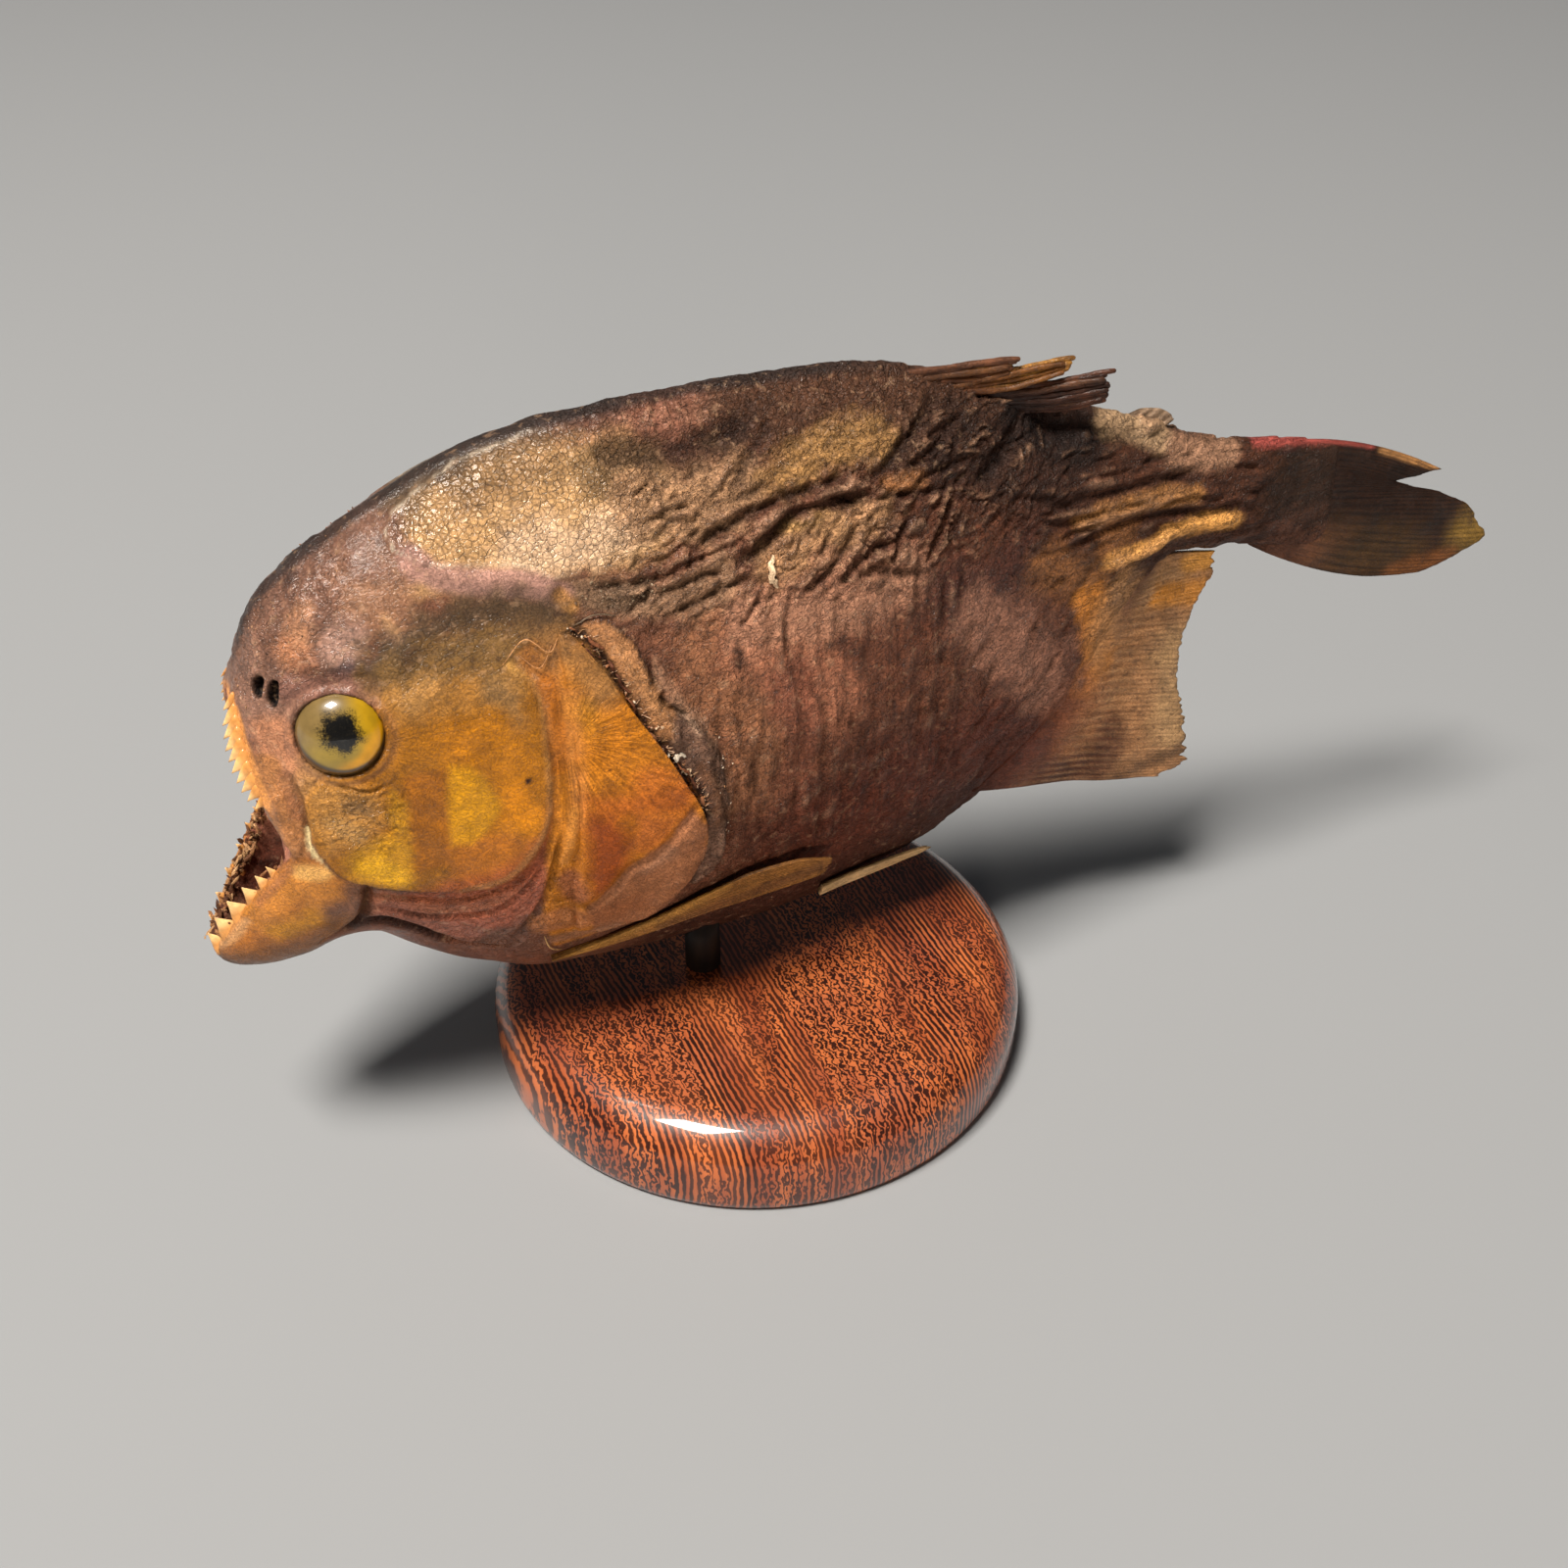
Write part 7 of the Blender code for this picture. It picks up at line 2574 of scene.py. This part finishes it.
TAIL_TIPS: Line = ((107.4, 37.3), (113.5, 38.7), (118.3, 41.3), (115.2, 46), (109.6, 49.8), (103.9, 51.9),
                   (100.8, 53.3), (104.9, 53.4), (108.3, 53.8))
TAIL_PAINT = (
    Wash("#20110a", ((90, 54), (104, 48)), 6, 6, 0.9, 0.3),
    Wash("#45301a", ((84, 46.6), (104, 41.6)), 2.6, 4, 0.9, 0.4),
    Wash("#8a6a30", ((114.5, 43), (117.6, 42)), 2, 4, 0.95, 0.3),
    Wash("#7a4a26", ((102, 38.6), (112, 39.4)), 0.9, 1.6, 0.8, 0.4),
    Wash("#a04a42", ((80, 63.8), (88, 62.2), (95, 60.2)), 0.5, 0.7, 0.95, 0.3),
    Wash("#b98450", ((97, 59), (103, 56.4), (107, 54.6)), 0.5, 0.6, 0.85, 0.4),
)
ANAL_ROOTS = (35, 40, 45, 49, 52, 54.5, 57, 60.5)
ANAL_TIPS: Line = ((66, 12), (70.2, 15), (69.2, 21.5), (67.2, 28), (66.9, 34.5), (69, 41), (71.2, 45.6),
                   (71.2, 48.4))
ANAL_PAINT = (
    Wash("#4c2a1f", ((40, 20), (52, 20)), 5, 5, 0.9, 0.5),
    Wash("#d8893a", ((50, 45), (51.6, 34)), 2.2, 2, 0.9, 0.5),
    Wash("#9a6844", ((52, 30), (50, 24)), 2.4, 3, 0.8, 0.6),
    Wash("#a57a50", ((58, 46), (64, 45)), 2, 3, 0.8, 0.4),
    Wash("#d8943c", ((67, 47.6), (71, 47.6)), 1.2, 1.2, 0.95, 0.4),
    Wash("#cc8430", ((62, 43.4), (69, 43)), 1.2, 1.6, 0.9, 0.5),
    Wash("#ae8a60", ((66, 34), (67, 20)), 2.6, 4, 0.85, 0.5),
    Wash("#3c2318", ((58, 14), (64, 15.6), (70, 16.4)), 0.8, 1.4, 0.7, 0.5),
)
PECTORAL_LOW: Line = ((-31, 13), (-24, 13.4), (-18, 14.4), (-12, 15.8), (-6, 16.8), (0, 17.8), (6.8, 18.8))
PECTORAL_TOP: Line = ((-31, 13.2), (-24, 15.2), (-18, 17.4), (-10.6, 20.5), (-4, 22.6), (2, 23), (7.6, 21.6))
PECTORAL_PAINT = (
    # Paler along the upper edge: partly its own ochre, partly painted highlight where the fin is lit from
    # above.
    Wash("#b5803c", ((-28, 13.6), (-18, 16.8), (-8, 20.6)), 0.8, 1, 0.8, 0.4),
    Wash("#5d3826", ((-16, 15), (-4, 17.8), (6, 19.6)), 0.7, 1, 0.7, 0.4),
)
PELVIC_LOW: Line = ((8.6, 9.4), (14, 10), (20, 10.9), (26, 11.9))
PELVIC_TOP: Line = ((8.6, 11.8), (14, 12.6), (20, 13.2), (26, 13.6))
DORSAL_STRIPS = (
    RayBundle("dorsal_rays_upper", ("dorsal_fin",), ((19, 83.2), (25, 83), (32, 83), (37.6, 82.8)),
              ((21, 81.6), (27, 80.6), (33, 80.5), (37.8, 81.3)), (-0.6, -1.4),
              ("#4a2c1c", "#6e4630", "#5a3622", "#8a6030", "#6a4426"), 8, 0.36, 1),
    RayBundle("dorsal_rays_middle", (), ((27, 81.6), (34, 81), (40, 81.5), (45, 82)),
              ((29, 79.6), (35, 79.2), (40, 79.6), (44.6, 80.8)), (-1, -2.2),
              ("#4a2a18", "#94662a", "#74481c", "#a8762e"), 8, 0.35, 2),
    RayBundle("dorsal_rays_lower", (), ((33, 79.4), (40, 79), (45, 79.5), (49.8, 80.2)),
              ((38, 75.6), (42, 75.2), (46, 75.6), (48.8, 76.4)), (-1.2, -3.6),
              ("#20100a", "#54301e", "#3a2014", "#64402a", "#442618"), 13, 0.36, 3),
)


@dataclass
class Fins:
    """All the fins."""

    shop: Workshop

    def back(self, x: float, sink: float = 0) -> tuple[float, float]:
        """Return a point on the back line."""
        return x, float(BODY.station(np.array([x], float))[0][0]) - sink

    def keel(self, x: float, sink: float = 0) -> tuple[float, float]:
        """Return a point on the belly line."""
        return x, float(BODY.station(np.array([x], float))[1][0]) + sink

    def tail(self) -> None:
        """Make the tail fin."""
        top, low = self.back(78)[1], self.keel(78)[1]
        roots = tuple((76, low + 0.6 + (top - low - 1.2) * n / 8) for n in range(9))
        Fin("tail_fin", ("caudal_fin",), roots, TAIL_TIPS, rays=19, stations=80, ray_thick=(1, 0.42),
            membrane=(0.85, 0.32), ragged=0.03, bow=2.2, sink=0, seed=4, ray_start=0.35,
            root_colour="#3a2214", ray_light="#5c3c22", ray_share=0.15, shine=0.08, body_share=(0.15, 0.5),
            washes=TAIL_PAINT).build(self.shop)

    def anal(self) -> None:
        """Make the anal fin."""
        roots = tuple(self.keel(x, 1.5) for x in ANAL_ROOTS)
        Fin("anal_fin_dry", ("anal_fin",), roots, ANAL_TIPS, rays=28, ray_thick=(1.1, 0.6),
            membrane=(0.94, 0.5), root_thick=2.8, ray_start=0.3, ragged=0.07, sink=2, seed=9,
            root_colour="#9a6c46", ray_light="#c09468", ray_share=0.4, body_share=(0.1, 0.4), groove=0.2,
            washes=ANAL_PAINT).build(self.shop)

    def dorsal(self) -> None:
        """Make the folded, broken dorsal fin and the stump of the adipose fin."""
        for strip in DORSAL_STRIPS:
            strip.build(self.shop)
        Fin("adipose_remnant", ("adipose_fin",), tuple(self.back(x, 0.4) for x in (54.6, 57, 58.6, 60.2)),
            ((57.4, 72), (59.6, 71.8), (61.6, 70.9), (62.3, 69.8)), rays=4, stations=24, ray_thick=(1.1, 0.6),
            membrane=(0.9, 0.5), root_thick=1.6, ragged=0.1, seed=6, branch=2, root_colour="#8a7058",
            ray_light="#b09680", ray_share=0.5).build(self.shop)

    def paired(self, side: Side) -> None:
        """Make one side's pectoral and pelvic fins.

        Args:
            side: the side of the fish.
        """
        word = side.name.lower()
        FlankFin(f"pectoral_{word}", (f"pectoral_fin_{word}",), PECTORAL_LOW, PECTORAL_TOP, rays=8,
                 stations=90, ray_thick=(0.9, 0.5), membrane=(0.55, 0.25), seed=12, side=side,
                 root_colour="#8a5a2a", ray_light="#b98444", ray_share=0.4, lift_root=0.5,
                 washes=PECTORAL_PAINT).build(self.shop)
        FlankFin(f"pelvic_{word}", (f"pelvic_fin_{word}",), PELVIC_LOW, PELVIC_TOP, rays=7, stations=50,
                 ray_thick=(0.8, 0.5), membrane=(0.45, 0.25), ragged=0.08, seed=13, side=side,
                 root_colour="#b08a5c", ray_light="#e0c496", ray_share=0.6, lift_root=0.8,
                 lift_tip=2).build(self.shop)

    def build(self) -> None:
        """Make every fin."""
        self.tail()
        self.anal()
        self.dorsal()
        for side in Side:
            self.paired(side)


def main() -> None:
    """Build every sub-assembly in order."""
    logging.basicConfig(level=logging.INFO, format="%(name)s %(message)s")
    shop = Workshop()
    Studio().build()
    TurnedStand().build(shop)
    Skin().build(shop)
    for side in Side:
        GlassEye(side).build(shop)
        GillCover().build(shop, side)
    Jaw("upper_teeth", LIP, UPPER_TEETH, 0.7, (-1, -0.1, -0.5), (0.1, 0.15, -1), 0.45, 0.15,
        far_share=0.35).build(shop)
    Jaw("lower_teeth", JAW_RIM, LOWER_TEETH, 1.8, (-0.5, -0.1, 1), (-0.75, -0.15, -0.75), 0.3, 0.12, root=1.6,
        far_share=0.45).build(shop)
    Crumbs(shop).build()
    Fins(shop).build()


if __name__ == "__main__":
    main()
